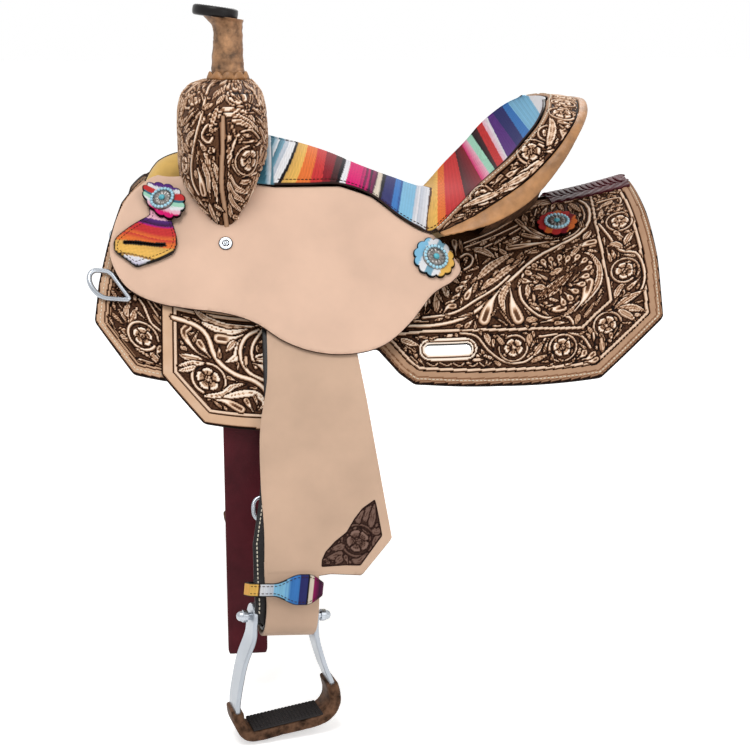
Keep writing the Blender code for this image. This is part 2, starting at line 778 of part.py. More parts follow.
def roll_point(t, side):
    p = spline_at(ROLL_EDGE, t)
    return Vector((p.x, side * p.y, p.z))


def roll_frame(t, side):
    """(inner edge, outer edge, outward normal) of the roll at t."""
    inner, outer = rim_point(t, side), roll_point(t, side)
    ahead = rim_point(min(t + 0.03, 1), side) + roll_point(min(t + 0.03, 1), side)
    behind = rim_point(max(t - 0.03, 0), side) + roll_point(max(t - 0.03, 0), side)
    if t < 0.03:
        behind.y = -ahead.y
    normal = (outer - inner).cross(ahead - behind).normalized() * side
    return inner, outer, normal


def along_rim(most=1.0):
    """(share from the top, side) for stations from the left end round the top to the right end."""
    spans = 2 * len(RIM)
    shares = [TOP_SHARE * k / 3 for k in range(3)]
    shares += [TOP_SHARE + (1 - TOP_SHARE) * k / spans for k in range(spans + 1)]
    shares = [share for share in shares if share < most] + [most]
    for share in reversed(shares[1:]):
        yield share, -1
    for share in shares:
        yield share, 1


def cover_edge(t):
    """How far out from the rim the roll begins, to clear the edge of the seat's leather."""
    return 2 * GAP + (SEAT_LEATHER + 2 * GAP) * (1 - smooth_step(t, 0.45, 0.85))


def binding_share(t):
    """How far across the roll its binding begins."""
    return 0.80 - 0.26 * smooth_step(t, 0.35, 0.95)


def roll_thickness(t, full):
    return full * (1 - 0.6 * smooth_step(t, 0.70, 0.98))


def make_cantle():
    roll, binding = [], []
    for t, side in along_rim(0.985):
        inner, outer, normal = roll_frame(t, side)
        thick, bound = roll_thickness(t, ROLL_THICKNESS), roll_thickness(t, BINDING_THICKNESS)
        split = binding_share(t)
        across = outer - inner
        gap = GAP / across.length
        start, end = inner.lerp(outer, cover_edge(t) / across.length), inner.lerp(outer, split - gap)
        crown = inner.lerp(outer, split * 0.5)
        roll.append(
            [
                start,
                crown + normal * thick * 0.30,
                end,
                end - normal * thick * 0.8,
                crown - normal * thick * 0.75,
                inner.lerp(outer, 0.12) - normal * thick * 0.6,
            ]
        )
        start = inner.lerp(outer, split + gap)
        binding.append(
            [
                start + normal * bound * 0.10,
                inner.lerp(outer, (split + 1) / 2) + normal * bound * 0.25,
                outer,
                outer - normal * bound * 0.5,
                inner.lerp(outer, (split + 1) / 2) - normal * bound * 0.9,
                start - normal * bound * 0.8,
            ]
        )
    loft("cantle_roll", "tooled", roll)
    loft("cantle_binding", "caramel", binding)
    make_cantle_body()


CANTLE_FOOT = (
    (0.196, 0.000),
    (0.190, 0.018),
    (0.176, 0.040),
    (0.148, 0.062),
    (0.112, 0.081),
    (0.084, 0.090),
)


def foot_point(t, side, out, inward=0.0):
    """Where the cantle stands: a point of its foot line, moved inward by some metres."""
    here, ahead = spline_at(CANTLE_FOOT, t), spline_at(CANTLE_FOOT, min(t + 0.02, 1))
    behind = spline_at(CANTLE_FOOT, max(t - 0.02, 0))
    turn = Vector((ahead.y - behind.y, behind.x - ahead.x))
    if t < 0.02:
        turn = Vector((1, 0))
    flat = here - turn.normalized() * inward
    return across_back(flat.x, side * max(flat.y, 1e-4), out)


def make_cantle_body():
    core, back = [], []
    for t, side in along_rim(0.80):
        inner, outer, normal = roll_frame(t, side)
        deep = normal * (BINDING_THICKNESS + LAYER_GAP)
        above_bar = BAR_TOP + 2 * GAP
        core.append(
            [
                inner.lerp(outer, 0.26) - deep,
                inner.lerp(outer, 0.58) - deep,
                foot_point(t, side, above_bar, 0.008),
                foot_point(t, side, above_bar, 0.020),
            ]
        )
        back.append(
            [
                inner.lerp(outer, 0.70) - deep,
                inner.lerp(outer, 0.80) - deep,
                foot_point(t, side, SKIRT_TOP + GAP, -0.0035),
                foot_point(t, side, SKIRT_TOP + GAP, 0.0),
            ]
        )
    core = loft("cantle_core", "wood", core)
    ends = 0.2, PAD_ENDS[1] + 0.02
    low, reach = STACK_LOW - LAYER_GAP, PAD_REACH + 0.03
    cut_by(core, seat_layer("cantle_seat_cut", "dark", 0.04, low, ends, reach, 8, 16))
    loft("cantle_back", "caramel", back)


# Jockeys
def jockey_outline():
    lower = curve_through(
        [
            (-0.252, -0.172),
            (-0.262, -0.161),
            (-0.279, -0.126),
            (-0.290, -0.097),
            (-0.298, -0.066),
            (-0.302, -0.036),
            (-0.297, -0.017),
            (-0.286, -0.003),
            (-0.272, 0.001),
            (-0.248, -0.003),
            (-0.224, -0.006),
            (-0.183, -0.001),
            (-0.149, 0.011),
            (-0.118, 0.033),
            (-0.085, 0.046),
            (-0.048, 0.049),
            (-0.012, 0.040),
            (0.018, 0.015),
            (0.045, -0.018),
            (0.070, -0.036),
            (0.081, -0.054),
            (0.066, -0.076),
        ],
        2,
    )
    upper = [(x, seam_h(x) + SEAM_GAP) for x in reversed(SEAM_X)]
    return lower + upper + [(-0.160, -0.155), (-0.215, -0.165)]


def make_jockeys():
    for word, side in SIDES:
        place = side_place(on_jockey, side)
        cell = (JOCKEY_CELL, CELL_H)
        name = f"seat_jockey_{word}"
        jockey = sheet(name, "rough_out", jockey_outline(), 0.0, JOCKEY_LEATHER, place, cell)
        cut_by(jockey, loft(f"jockey_swell_cut_{word}", "dark", swell_rings(-LAYER_GAP)))


# Fenders and stirrup leathers
def bolt_frame(side):
    """The stirrup's own axes: along the bolt, outward across it and up."""
    yaw, drop = math.radians(STIRRUP_YAW), math.radians(BOLT_DROP_ANGLE)
    flat = Vector((math.cos(yaw), -side * math.sin(yaw), 0))
    along = flat * math.cos(drop) - Vector((0, 0, math.sin(drop)))
    outward = Vector((side * flat.y, -side * flat.x, 0)) * -1
    up = flat * math.sin(drop) + Vector((0, 0, math.cos(drop)))
    centre = Vector((BOLT_CENTRE[0], side * BOLT_CENTRE[1], BOLT_CENTRE[2]))
    return centre, along, outward, up


def in_stirrup(side, a, b, c):
    """A point a along the bolt, b outward across it and c above it."""
    centre, along, outward, up = bolt_frame(side)
    return centre + along * a + outward * b + up * c


def fender_outline():
    top = [
        (
            FENDER_TOP_X + FENDER_TOP_RADIUS * math.cos(math.pi * k / 8),
            FENDER_HINGE_H - FENDER_TOP_RADIUS * math.sin(math.pi * k / 8),
        )
        for k in range(9)
    ]
    left = curve_through(
        [
            (-0.1365, 0.020),
            (-0.138, 0.075),
            (-0.147, 0.130),
            (-0.148, 0.190),
            (-0.146, 0.239),
            (NECK_X - NECK_HALF_WIDTH, FENDER_LOW_H),
        ],
        2,
    )
    right = [
        (NECK_X + NECK_HALF_WIDTH, FENDER_LOW_H),
        (-0.080, 0.2845),
        (-0.048, 0.2870),
        (-0.015, 0.250),
        (-0.021, 0.200),
        (-0.033, 0.098),
        (-0.044, 0.020),
    ]
    return top + left + right


def neck_stations(side, inward, start_h, tail):
    """(centre, width direction, outward normal) down the fender's neck, round the bolt and up
    behind it, moved inward from the middle of the fender's leather."""
    slope = math.radians(SIDE_SLOPE)
    across, outward, up = bolt_frame(side)[1:]
    flat_normal = Vector((0, side * math.sin(slope), math.cos(slope)))
    down = Vector((0, side * math.cos(slope), -math.sin(slope)))
    middle = FENDER_BASE + FENDER_LEATHER / 2
    stations = []
    for h in start_h:
        centre = on_side_plane(NECK_X, h, middle - inward, side)
        stations.append((centre, Vector((1, 0, 0)), flat_normal))
    radius = LOOP_RADIUS
    first = on_side_plane(NECK_X, FENDER_LOW_H - 0.004, middle, side)
    last = in_stirrup(side, LOOP_AT, radius, 0.006)
    reach = (last - first).length / 3
    for k in range(1, BEND_STEPS + 1):
        t = k / BEND_STEPS
        a, b, c, d = first, first + down * reach, last + up * reach, last
        centre = a * (1 - t) ** 3 + b * (3 * t * (1 - t) ** 2) + c * (3 * t * t * (1 - t)) + d * t**3
        heading = (b - a) * (1 - t) ** 2 + (c - b) * (2 * t * (1 - t)) + (d - c) * t * t
        width = Vector((1, 0, 0)).lerp(across, smooth_step(t, 0.0, 0.8)).normalized()
        normal = width.cross(heading).normalized()
        if normal.dot(outward) < 0:
            normal = -normal
        stations.append((centre - normal * inward, width, normal))
    for k in range(7):
        a = math.pi * k / 6
        normal = outward * math.cos(a) - up * math.sin(a)
        centre = in_stirrup(side, LOOP_AT, 0, -0.001) + normal * (radius - inward)
        stations.append((centre, across, normal))
    for lean, rise in tail:
        centre = in_stirrup(side, LOOP_AT, -radius + lean, rise) + outward * inward
        stations.append((centre, across, -outward))
    return stations


def strap(name, look, stations, extents, thickness):
    """A strap through stations, its edges so far left and right of each centre."""
    rings = []
    for (centre, width, normal), (left, right) in zip(stations, extents):
        half = normal * thickness / 2
        ends = centre + width * left, centre + width * right
        rings.append([ends[0] - half, ends[1] - half, ends[1] + half, ends[0] + half])
    return loft(name, look, rings)


def make_fenders():
    for word, side in SIDES:
        place = side_place(on_side_plane, side)
        top = FENDER_BASE + FENDER_LEATHER
        fender = sheet(f"fender_{word}", "rough_out", fender_outline(), FENDER_BASE, top, place, (1, 0.12))
        stations = neck_stations(side, 0.0, (FENDER_LOW_H - 0.016,), ((0.007, 0.011), (0.0145, 0.022)))
        half = NECK_HALF_WIDTH - GAP
        name, extents = f"fender_neck_{word}", [(-half, half)] * len(stations)
        neck = strap(name, "rough_out", stations, extents, FENDER_LEATHER - 2 * GAP)
        cut_by(fender, neck, "UNION")
        make_stirrup_leather(word, side)
        low, high = BUCKLE_H + BUCKLE_HALF_HEIGHT, BUCKLE_H - BUCKLE_HALF_HEIGHT
        buckle = rounded([(-0.158, high), (-0.158, low), (-0.104, low), (-0.104, high)], 0.005, 2)
        face = STRAP_BASE - GAP
        sheet(f"stirrup_buckle_{word}", "steel", buckle, face - BUCKLE_THICKNESS, face, place, WHOLE)
        make_hobble(word, side)


def make_stirrup_leather(word, side):
    """The strap behind the fender, which loops round the bolt's sleeve inside the fender's neck."""
    inward = (FENDER_LEATHER + STRAP_LEATHER) / 2 + FENDER_GAP
    heights = (-0.060, -0.045, 0.0, 0.100, 0.200, 0.250, 0.268)
    stations = neck_stations(side, inward, heights, ())
    extents = [(-0.010, 0.036), (-0.020, 0.046), (-0.022, 0.048), (-0.022, 0.046), (-0.030, 0.035)]
    extents += [(-0.0385, 0.0255)] * (2 + BEND_STEPS - 2)
    extents += [(-0.0350, 0.0260), (-0.0285, 0.0270)]
    extents += [(-0.027, 0.027)] * (len(stations) - len(extents))
    strap(f"stirrup_leather_{word}", "dark", stations, extents, STRAP_LEATHER)


def make_hobble(word, side):
    """The strap round the leathers just above the stirrup, widest in the middle of its front."""
    count = 20
    left, right, rear, front = -0.0430, 0.0355, -0.0085, 0.0237
    middle_a, middle_b = (left + right) / 2, (rear + front) / 2
    bm = bmesh.new()
    levels = []
    for up in (-1, 1):
        for off in (0.0, HOBBLE_LEATHER):
            ring = []
            for k in range(count):
                angle = 2 * math.pi * k / count
                c, s = math.cos(angle), math.sin(angle)
                a = middle_a + ((right - left) / 2 + off) * math.copysign(abs(c) ** 0.45, c)
                b = middle_b + ((front - rear) / 2 + off) * math.copysign(abs(s) ** 0.45, s)
                wide = smooth_step(a, -0.022, 0.006) * (1 - smooth_step(a, 0.014, 0.036))
                half_height = 0.0070 + 0.0095 * wide * smooth_step(s, 0.0, 0.8)
                ring.append(bm.verts.new(in_stirrup(side, a, b, HOBBLE_AT + up * half_height)))
            levels.append(ring)
    low_in, low_out, high_in, high_out = levels
    for k in range(count):
        n = (k + 1) % count
        for a, b in ((low_out, high_out), (high_in, low_in), (high_out, high_in), (low_in, low_out)):
            bm.faces.new([a[k], a[n], b[n], b[k]])
    finish(bm, f"hobble_strap_{word}", "stripes")


# Stirrups
STIRRUP_LINE = (
    (-EYE_AT, 0.0120),
    (-EYE_AT, -0.006),
    (-0.0345, -0.022),
    (-0.0400, -0.048),
    (-0.0430, -0.078),
    (-0.0430, -0.098),
    (-0.0380, -0.1155),
    (-0.0250, -0.1255),
    (0.0100, -0.1185),
    (0.0450, -0.1110),
    (0.0600, -0.1035),
    (0.0665, -0.0900),
    (0.0615, -0.0740),
    (0.0500, -0.0520),
    (0.0385, -0.0240),
    (EYE_AT, -0.006),
    (EYE_AT, 0.0120),
)


def band(name, look, path, side, width, inner, outer):
    """A flat band along a path in the stirrup's plane, from inner to outer off its line."""
    rings = []
    count, half = len(path), width / 2
    for i, (a, c) in enumerate(path):
        before, after = path[max(i - 1, 0)], path[min(i + 1, count - 1)]
        along = Vector((after[0] - before[0], after[1] - before[1])).normalized()
        out = Vector((-along.y, along.x))
        rings.append(
            [
                in_stirrup(side, a + out.x * r, b, c + out.y * r)
                for r, b in ((inner, -half), (inner, half), (outer, half), (outer, -half))
            ]
        )
    return loft(name, look, rings)


def make_stirrups():
    path = curve_through(STIRRUP_LINE, 2)
    half = STIRRUP_METAL / 2
    for word, side in SIDES:
        centre, along = bolt_frame(side)[:2]
        frame = band(f"stirrup_frame_{word}", "steel", path, side, STIRRUP_STRAP, -half, half)
        reach, far = BOLT_RADIUS + GAP, EYE_AT + 0.02
        profile = [(0, -far), (reach, -far), (reach, far), (0, far)]
        cut_by(frame, turned(f"bolt_cut_{word}", "dark", profile, centre, along, 16))
        make_bolt(word, centre, along)
        inner = EYE_AT - half - 0.0010
        profile = [(reach, -inner), (SLEEVE_RADIUS, -inner), (SLEEVE_RADIUS, inner), (reach, inner)]
        turned(f"stirrup_sleeve_{word}", "dark", profile, centre, along, 20)
        outside = half + STIRRUP_WRAP
        wide = STIRRUP_STRAP + 2 * STIRRUP_WRAP
        wrap = band(f"stirrup_wrap_{word}", "tooled", path[10:26], side, wide, -outside, outside)
        clear = half + GAP
        core = band(f"wrap_cut_{word}", "dark", path[8:28], side, STIRRUP_STRAP + 2 * GAP, -clear, clear)
        cut_by(wrap, core)
        make_tread(word, side)


def make_bolt(word, centre, along):
    """The bolt with an acorn nut outside each eye of the frame."""
    face = EYE_AT + STIRRUP_METAL / 2 + GAP
    nut = (
        (0.0070, 0.0),
        (0.0070, 0.0050),
        (0.0055, 0.0055),
        (0.0045, 0.0085),
        (0.0022, 0.0105),
        (0, 0.0110),
    )
    profile = [(radius, -face - out) for radius, out in reversed(nut)] + [(BOLT_RADIUS, -face)]
    profile += [(BOLT_RADIUS, face)] + [(radius, face + out) for radius, out in nut]
    turned(f"stirrup_bolt_{word}", "steel", profile, centre, along, 12)


def make_tread(word, side):
    """The rubber pad on the foot-bed, along the slope of the frame's lower bar."""
    (a0, c0), (a1, c1) = STIRRUP_LINE[7], STIRRUP_LINE[9]
    line = Vector((a1 - a0, c1 - c0)).normalized()
    up = Vector((-line.y, line.x))
    floor = STIRRUP_METAL / 2 + STIRRUP_WRAP + 2 * GAP
    rings = []
    for a, c in ((a0 + 0.008, c0 + 0.0012), (a1 - 0.003, c1)):
        rings.append(
            [
                in_stirrup(side, a + up.x * rise, b, c + up.y * rise)
                for b, rise in (
                    (-TREAD_HALF_WIDTH, floor),
                    (TREAD_HALF_WIDTH, floor),
                    (TREAD_HALF_WIDTH, floor + TREAD_THICKNESS),
                    (-TREAD_HALF_WIDTH, floor + TREAD_THICKNESS),
                )
            ]
        )
    loft(f"stirrup_tread_{word}", "rubber", rings)


# Straps, rings and ornaments
def make_straps():
    """Latigo on the left, off billet on the right, hanging behind the rigging leathers."""
    slope = math.radians(SIDE_SLOPE)
    top_h = LATIGO_H - 0.006
    behind = PLATE_TOP - PLATE_THICKNESS - LAYER_GAP - LATIGO_LEATHER / 2
    for name, side in (("latigo", -1), ("off_billet", 1)):
        centre = on_back(LATIGO_X, top_h, behind, side)
        stations = []
        heading = Vector((0, side * math.cos(slope), -math.sin(slope)))
        plumb = Vector((0, 0, -1))
        step = 0.008
        for k in range(6):
            now = heading.lerp(plumb, smooth_step(k, 0.5, 5)).normalized()
            normal = Vector((0, side * -now.z, side * now.y))
            stations.append((centre.copy(), Vector((1, 0, 0)), normal))
            centre += now * step
        for z in (centre.z, (centre.z + LATIGO_LOW_Z) / 2, LATIGO_LOW_Z):
            low = Vector((centre.x, centre.y, z))
            stations.append((low, Vector((1, 0, 0)), Vector((0, side, 0))))
        half = LATIGO_WIDTH / 2
        strap(name, "burgundy", stations, [(-half, half)] * len(stations), LATIGO_LEATHER)


def concho(name, x, h, surface, out, side):
    """A scalloped leather rosette with its domed metal concho, both lying to the leather below."""
    edge = ROSETTE_RADIUS
    levels = (
        (edge * 0.1, 0.0, 0.0),
        (edge * 0.55, 0.0, 0.0),
        (edge, 0.0, 0.05),
        (edge, ROSETTE_LEATHER, 0.05),
        (CONCHO_RADIUS, ROSETTE_LEATHER + 0.0002, 0.0),
        (CONCHO_RADIUS * 0.95, ROSETTE_LEATHER + 0.0020, 0.0),
        (CONCHO_RADIUS * 0.3, ROSETTE_LEATHER + 0.0050, 0.0),
    )
    rings = []
    for radius, height, wave in levels:
        ring = []
        for k in range(20):
            a = math.pi * k / 10
            r = radius * (1 + wave * (-1) ** k)
            ring.append(surface(x + r * math.cos(a), h + r * math.sin(a), out + height, side))
        rings.append(ring)
    return loft(name, "turquoise", rings)


def keeper_outline():
    return [
        (-0.262, -0.140),
        (-0.247, -0.148),
        (-0.235, -0.140),
        (-0.236, -0.123),
        (-0.238, -0.112),
        (-0.231, -0.088),
        (-0.230, -0.078),
        (-0.234, -0.066),
        (-0.274, -0.027),
        (-0.297, -0.035),
        (-0.298, -0.043),
        (-0.295, -0.052),
        (-0.260, -0.101),
        (-0.262, -0.120),
    ]


def make_trim():
    for word, side in SIDES:
        place = side_place(on_jockey, side)
        base = JOCKEY_LEATHER + LAYER_GAP + 2 * GAP
        top = base + KEEPER_LEATHER
        cell = (JOCKEY_CELL, CELL_H)
        keeper = sheet(f"latigo_keeper_{word}", "stripes", keeper_outline(), base, top, place, cell)
        slot = [(-0.289, -0.048), (-0.288, -0.042), (-0.241, -0.067), (-0.242, -0.073)]
        name, under = f"keeper_slot_cut_{word}", base - 2 * GAP
        cut_by(keeper, sheet(name, "dark", slot, under, base + 0.02, place, cell))
        concho(f"front_concho_{word}", -0.2475, -0.131, on_jockey, top + LAYER_GAP + 2 * GAP, side)
        concho(f"seat_concho_{word}", 0.051, -0.064, on_jockey, JOCKEY_LEATHER + 3 * GAP, side)
        concho(f"rear_concho_{word}", 0.204, -0.118, on_back, SKIRT_LEATHER + GAP, side)
        at = SCREW_X, SCREW_H
        centre = on_jockey(*at, JOCKEY_LEATHER + GAP, side)
        normal = on_jockey(*at, JOCKEY_LEATHER + 0.01, side) - centre
        profile = [(0, 0), (0.0075, 0), (0.0075, 0.0012), (0.0055, 0.0026), (0, 0.0030)]
        turned(f"jockey_screw_{word}", "steel", profile, centre, normal.normalized(), 20)
        make_dee(word, side)


def make_dee(word, side):
    """The breast collar dee; its straight bar is held between the skirt and the jockey."""
    tilt = math.radians(DEE_TILT)
    ahead, square = Vector((math.cos(tilt), -math.sin(tilt))), Vector((math.sin(tilt), math.cos(tilt)))
    offsets = [(DEE_REACH, DEE_RADIUS)]
    for k in range(11):
        a = math.radians(90 + 18 * k)
        offsets.append((DEE_RADIUS * math.cos(a), DEE_RADIUS * math.sin(a)))
    offsets.append((DEE_REACH, -DEE_RADIUS))
    out = SKIRT_TOP + DEE_WIRE / 2 + GAP
    path = []
    for along, across in offsets:
        x, h = Vector(DEE_AT) + ahead * along + square * across
        path.append(on_back(x, h, out, side))
    wire(f"breast_dee_{word}", "steel", path, DEE_WIRE, 8, True)


def make_lacing():
    """The scalloped leather that joins the skirts over the ridge behind the cantle."""
    front, rear, half, wave, bumps = 0.206, 0.300, 0.030, 0.0025, 8
    edge = []
    for k in range(bumps * 4 + 1):
        t = k / (bumps * 4)
        edge.append((front + (rear - front) * t, half + wave * math.cos(2 * math.pi * bumps * t)))
    outline = edge + [(x, -y) for x, y in reversed(edge)]
    base = SKIRT_TOP
    sheet("rear_lacing", "burgundy", outline, base, base + LACING_LEATHER, across_back, (0.03, 0.01))


def hang(word, point, axis, children):
    """An empty on the joint's axis that carries the pieces turning about it."""
    pivot = bpy.data.objects.new(word, None)
    bpy.context.scene.collection.objects.link(pivot)
    turn = Vector((0, 0, 1)).rotation_difference(Vector(axis)).to_matrix().to_4x4()
    frame = Matrix.Translation(point) @ turn
    pivot.matrix_world = frame
    for name in children:
        child = bpy.data.objects[name]
        child.parent = pivot
        child.matrix_parent_inverse = frame.inverted()
    return pivot


def make_hinges():
    slope = math.radians(SIDE_SLOPE)
    for word, side in SIDES:
        normal = Vector((0, side * math.sin(slope), math.cos(slope)))
        pieces = "fender", "stirrup_leather", "stirrup_buckle", "stirrup_sleeve", "hobble_strap"
        names = [f"{piece}_{word}" for piece in pieces]
        point = on_side_plane(FENDER_HINGE_X, FENDER_HINGE_H, FENDER_BASE, side)
        swing = hang(f"fender_hinge_{word}", point, normal, names)
        centre, along = bolt_frame(side)[:2]
        names = [f"stirrup_{piece}_{word}" for piece in ("frame", "bolt", "wrap", "tread")]
        stirrup = hang(f"stirrup_hinge_{word}", centre, along, names)
        stirrup.parent = swing
        stirrup.matrix_parent_inverse = swing.matrix_world.inverted()
    for name, side in (("latigo", -1), ("off_billet", 1)):
        normal = Vector((0, side * math.sin(slope), math.cos(slope)))
        hang(f"{name}_hinge", on_back(LATIGO_X, LATIGO_H, 0.0, side), normal, [name])


def main():
    for obj in list(bpy.data.objects):
        bpy.data.objects.remove(obj, do_unlink=True)
    make_skirts()
    make_rigging()
    make_bars()
    make_swell()
    make_gullet_plate()
    make_horn()
    make_seat()
    make_cantle()
    make_jockeys()
    make_fenders()
    make_stirrups()
    make_straps()
    make_trim()
    make_lacing()
    make_hinges()


SEAT_EDGE = seat_edge()
main()
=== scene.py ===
"""The looks of a western barrel racing saddle, built over its fixed frame."""

import math

import bmesh
import bpy
import numpy as np
from mathutils import Matrix, Vector


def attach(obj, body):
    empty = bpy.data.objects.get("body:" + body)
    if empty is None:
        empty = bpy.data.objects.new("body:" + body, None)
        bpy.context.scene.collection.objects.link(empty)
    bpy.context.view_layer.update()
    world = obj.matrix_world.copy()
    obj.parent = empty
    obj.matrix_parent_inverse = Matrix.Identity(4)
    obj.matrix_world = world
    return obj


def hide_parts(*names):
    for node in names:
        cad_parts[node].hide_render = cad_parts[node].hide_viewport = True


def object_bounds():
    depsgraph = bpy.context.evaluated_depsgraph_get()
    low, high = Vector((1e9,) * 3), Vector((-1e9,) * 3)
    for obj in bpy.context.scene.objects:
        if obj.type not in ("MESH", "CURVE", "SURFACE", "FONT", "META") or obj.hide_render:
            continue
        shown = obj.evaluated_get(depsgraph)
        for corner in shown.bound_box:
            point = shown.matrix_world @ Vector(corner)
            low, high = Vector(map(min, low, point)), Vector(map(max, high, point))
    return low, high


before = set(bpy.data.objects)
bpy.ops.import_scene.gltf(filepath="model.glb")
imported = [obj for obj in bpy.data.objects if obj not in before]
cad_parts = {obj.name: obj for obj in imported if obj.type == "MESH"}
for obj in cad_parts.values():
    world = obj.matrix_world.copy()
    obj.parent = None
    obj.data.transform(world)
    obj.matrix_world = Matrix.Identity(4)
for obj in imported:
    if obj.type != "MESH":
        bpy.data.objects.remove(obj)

CAD_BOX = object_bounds()
rng = np.random.default_rng(7)

# The photograph's view
VIEW_DISTANCE, VIEW_AZIMUTH, VIEW_ELEVATION = 1.80, -6.0, 13.0
VIEW_TARGET = Vector((0, 0, -0.18))
VIEW_HALF_HEIGHT = 0.4575
SENSOR, PHOTO_SIDE = 36.0, 750

# The back that the saddle lies on, as in the frame
KNEE_Y, KNEE_Z = 0.160, -0.080
FRONT_END_X, FRONT_FLAT_X = -0.30, -0.12
REAR_END_X, REAR_FLAT_X = 0.29, 0.05
KNEE_RISE_FRONT, KNEE_RISE_REAR = 0.040, 0.035
SIDE_SLOPE, SIDE_SLOPE_DROP_REAR = 58.0, 8.0
TOP_SLOPE, TOP_SLOPE_FRONT, TOP_SLOPE_REAR = 4.0, 23.0, 7.0
SPINE_HALF_GAP = 0.010
GAP, LAYER_GAP, SWING_ROOM = 0.0003, 0.0010, 0.0042
FLEECE, SKIRT_LEATHER, RIGGING_LEATHER = 0.014, 0.0045, 0.0030
STRAP_LEATHER, FENDER_LEATHER, JOCKEY_LEATHER = 0.0036, 0.0042, 0.0045
SEAT_LEATHER, KEEPER_LEATHER, LATIGO_LEATHER = 0.0035, 0.0040, 0.0048
LACING_LEATHER = 0.0030
SKIRT_TOP = SKIRT_LEATHER + LAYER_GAP
RIGGING_TOP = SKIRT_TOP + RIGGING_LEATHER
STRAP_BASE = RIGGING_TOP + SWING_ROOM
FENDER_GAP = LAYER_GAP + 2 * GAP
FENDER_BASE = STRAP_BASE + STRAP_LEATHER + FENDER_GAP
JOCKEY_BASE = FENDER_BASE + FENDER_LEATHER + LAYER_GAP
# Over the fender the jockey is flat; it leaves the skirt and comes back to it along these stretches of x
JOCKEY_FRONT_LIFT = 0.0060
JOCKEY_RAMP_FRONT, JOCKEY_RAMP_REAR = (-0.285, -0.205), (0.035, 0.105)
SIDES = (("left", -1), ("right", 1))
HORN_X = -0.1705
STITCH_LENGTH, STITCH_PITCH, STITCH_RADIUS = 0.0029, 0.0043, 0.00055
FINE_STITCH, CANTLE_STITCH, STRAP_STITCH = (0.0026, 0.0040, 0.0004), (0.0027, 0.0040, 0.0006), (0.0030,
                                                                                                0.0044,
                                                                                                0.0007)

# Stand-ins for no distance and for one out of reach
NOTHING, FAR = 1e-12, 1e9

# Steps of the carved grids
CARVE_STEP = 0.00115
SHEET_STEP = 0.0030

# Tones of the tooling, from black to cream
BLACK, GROUND, BROWN, TAN, CREAM = 0.0, 0.20, 0.42, 0.74, 1.0


def clamp(x, low=0.0, high=1.0):
    """The values kept between low and high."""
    return np.minimum(np.maximum(x, low), high)


def smooth_step(x, start, end):
    """From 0 at start to 1 at end, level at both."""
    t = clamp((np.asarray(x, float) - start) / (end - start))
    return t * t * (3 - 2 * t)


def eased(x, start, end):
    """0 up to start, then growing with the square of the way to end."""
    return clamp((x - start) / (end - start), 0, 1.25) ** 2


def unit(vectors):
    """The vectors, each brought to length 1."""
    return vectors / (np.linalg.norm(vectors, axis=-1, keepdims=True) + NOTHING)


def points_of(x, y, z):
    """Three coordinates as one array of points."""
    return np.stack(np.broadcast_arrays(x, y, z), -1).astype(float)


# The surfaces that the leathers lie on
def back_section(x):
    """(height of the knee, slope below it, how fast the slope turns above it) at x."""
    front = eased(x, FRONT_FLAT_X, FRONT_END_X)
    rear = eased(x, REAR_FLAT_X, REAR_END_X)
    knee_z = KNEE_Z + KNEE_RISE_FRONT * front + KNEE_RISE_REAR * rear
    low = np.radians(SIDE_SLOPE - SIDE_SLOPE_DROP_REAR * rear)
    top = np.radians(TOP_SLOPE + TOP_SLOPE_FRONT * front + TOP_SLOPE_REAR * rear)
    return knee_z, low, (np.sin(low) - np.sin(top)) / KNEE_Y


def h_at(x, y):
    """How far down from the knee the back is y from the middle (negative above the knee)."""
    _, low, turn = back_section(np.asarray(x, float))
    y = np.asarray(y, float)
    above = (np.arcsin(clamp(np.sin(low) - turn * (KNEE_Y - y), -1, 1)) - low) / turn
    return np.where(y >= KNEE_Y, (y - KNEE_Y) / np.cos(low), above)


def on_back(x, h, out, side):
    """The point h below the knee along the back, raised by out square to it."""
    x, h, out = (np.asarray(value, float) for value in (x, h, out))
    knee_z, low, turn = back_section(x)
    angle = np.where(h >= 0, low, low + turn * h)
    down = np.maximum(h, 0)
    y = KNEE_Y + down * np.cos(low) - (np.sin(low) - np.sin(angle)) / turn
    z = knee_z - down * np.sin(low) + (np.cos(angle) - np.cos(low)) / turn
    return points_of(x, side * (y + out * np.sin(angle)), z + out * np.cos(angle))


def on_side_plane(x, h, out, side):
    """The point h down the straight plane of the side, raised by out."""
    low = math.radians(SIDE_SLOPE)
    y = KNEE_Y + h * math.cos(low) + out * math.sin(low)
    return points_of(x, side * y, KNEE_Z - h * math.sin(low) + out * math.cos(low))


def on_jockey(x, h, out, side):
    """Over the fender the jockey is flat; at its front and rear it lies on the skirt."""
    rear = 1 - smooth_step(x, *JOCKEY_RAMP_REAR)
    over = (smooth_step(x, *JOCKEY_RAMP_FRONT) * rear)[..., None]
    flat = on_side_plane(x, h, JOCKEY_BASE + out, side)
    return on_back(x, h, SKIRT_TOP + JOCKEY_FRONT_LIFT * rear + out, side) * (1 - over) + flat * over


def across_back(x, y, out):
    """The point y from the middle, raised by out from the back."""
    side = np.where(np.asarray(y) >= 0, 1.0, -1.0)
    return on_back(x, h_at(x, np.maximum(np.abs(y), 1e-4)), out, side)


# The view of the photograph, to place what was measured in it
def view_axes():
    """The ways towards the eye, to the right and up."""
    a, e = math.radians(VIEW_AZIMUTH), math.radians(VIEW_ELEVATION)
    back = Vector((math.sin(a) * math.cos(e), -math.cos(a) * math.cos(e), math.sin(e)))
    right = Vector((math.cos(a), math.sin(a), 0))
    return back, right, back.cross(right)


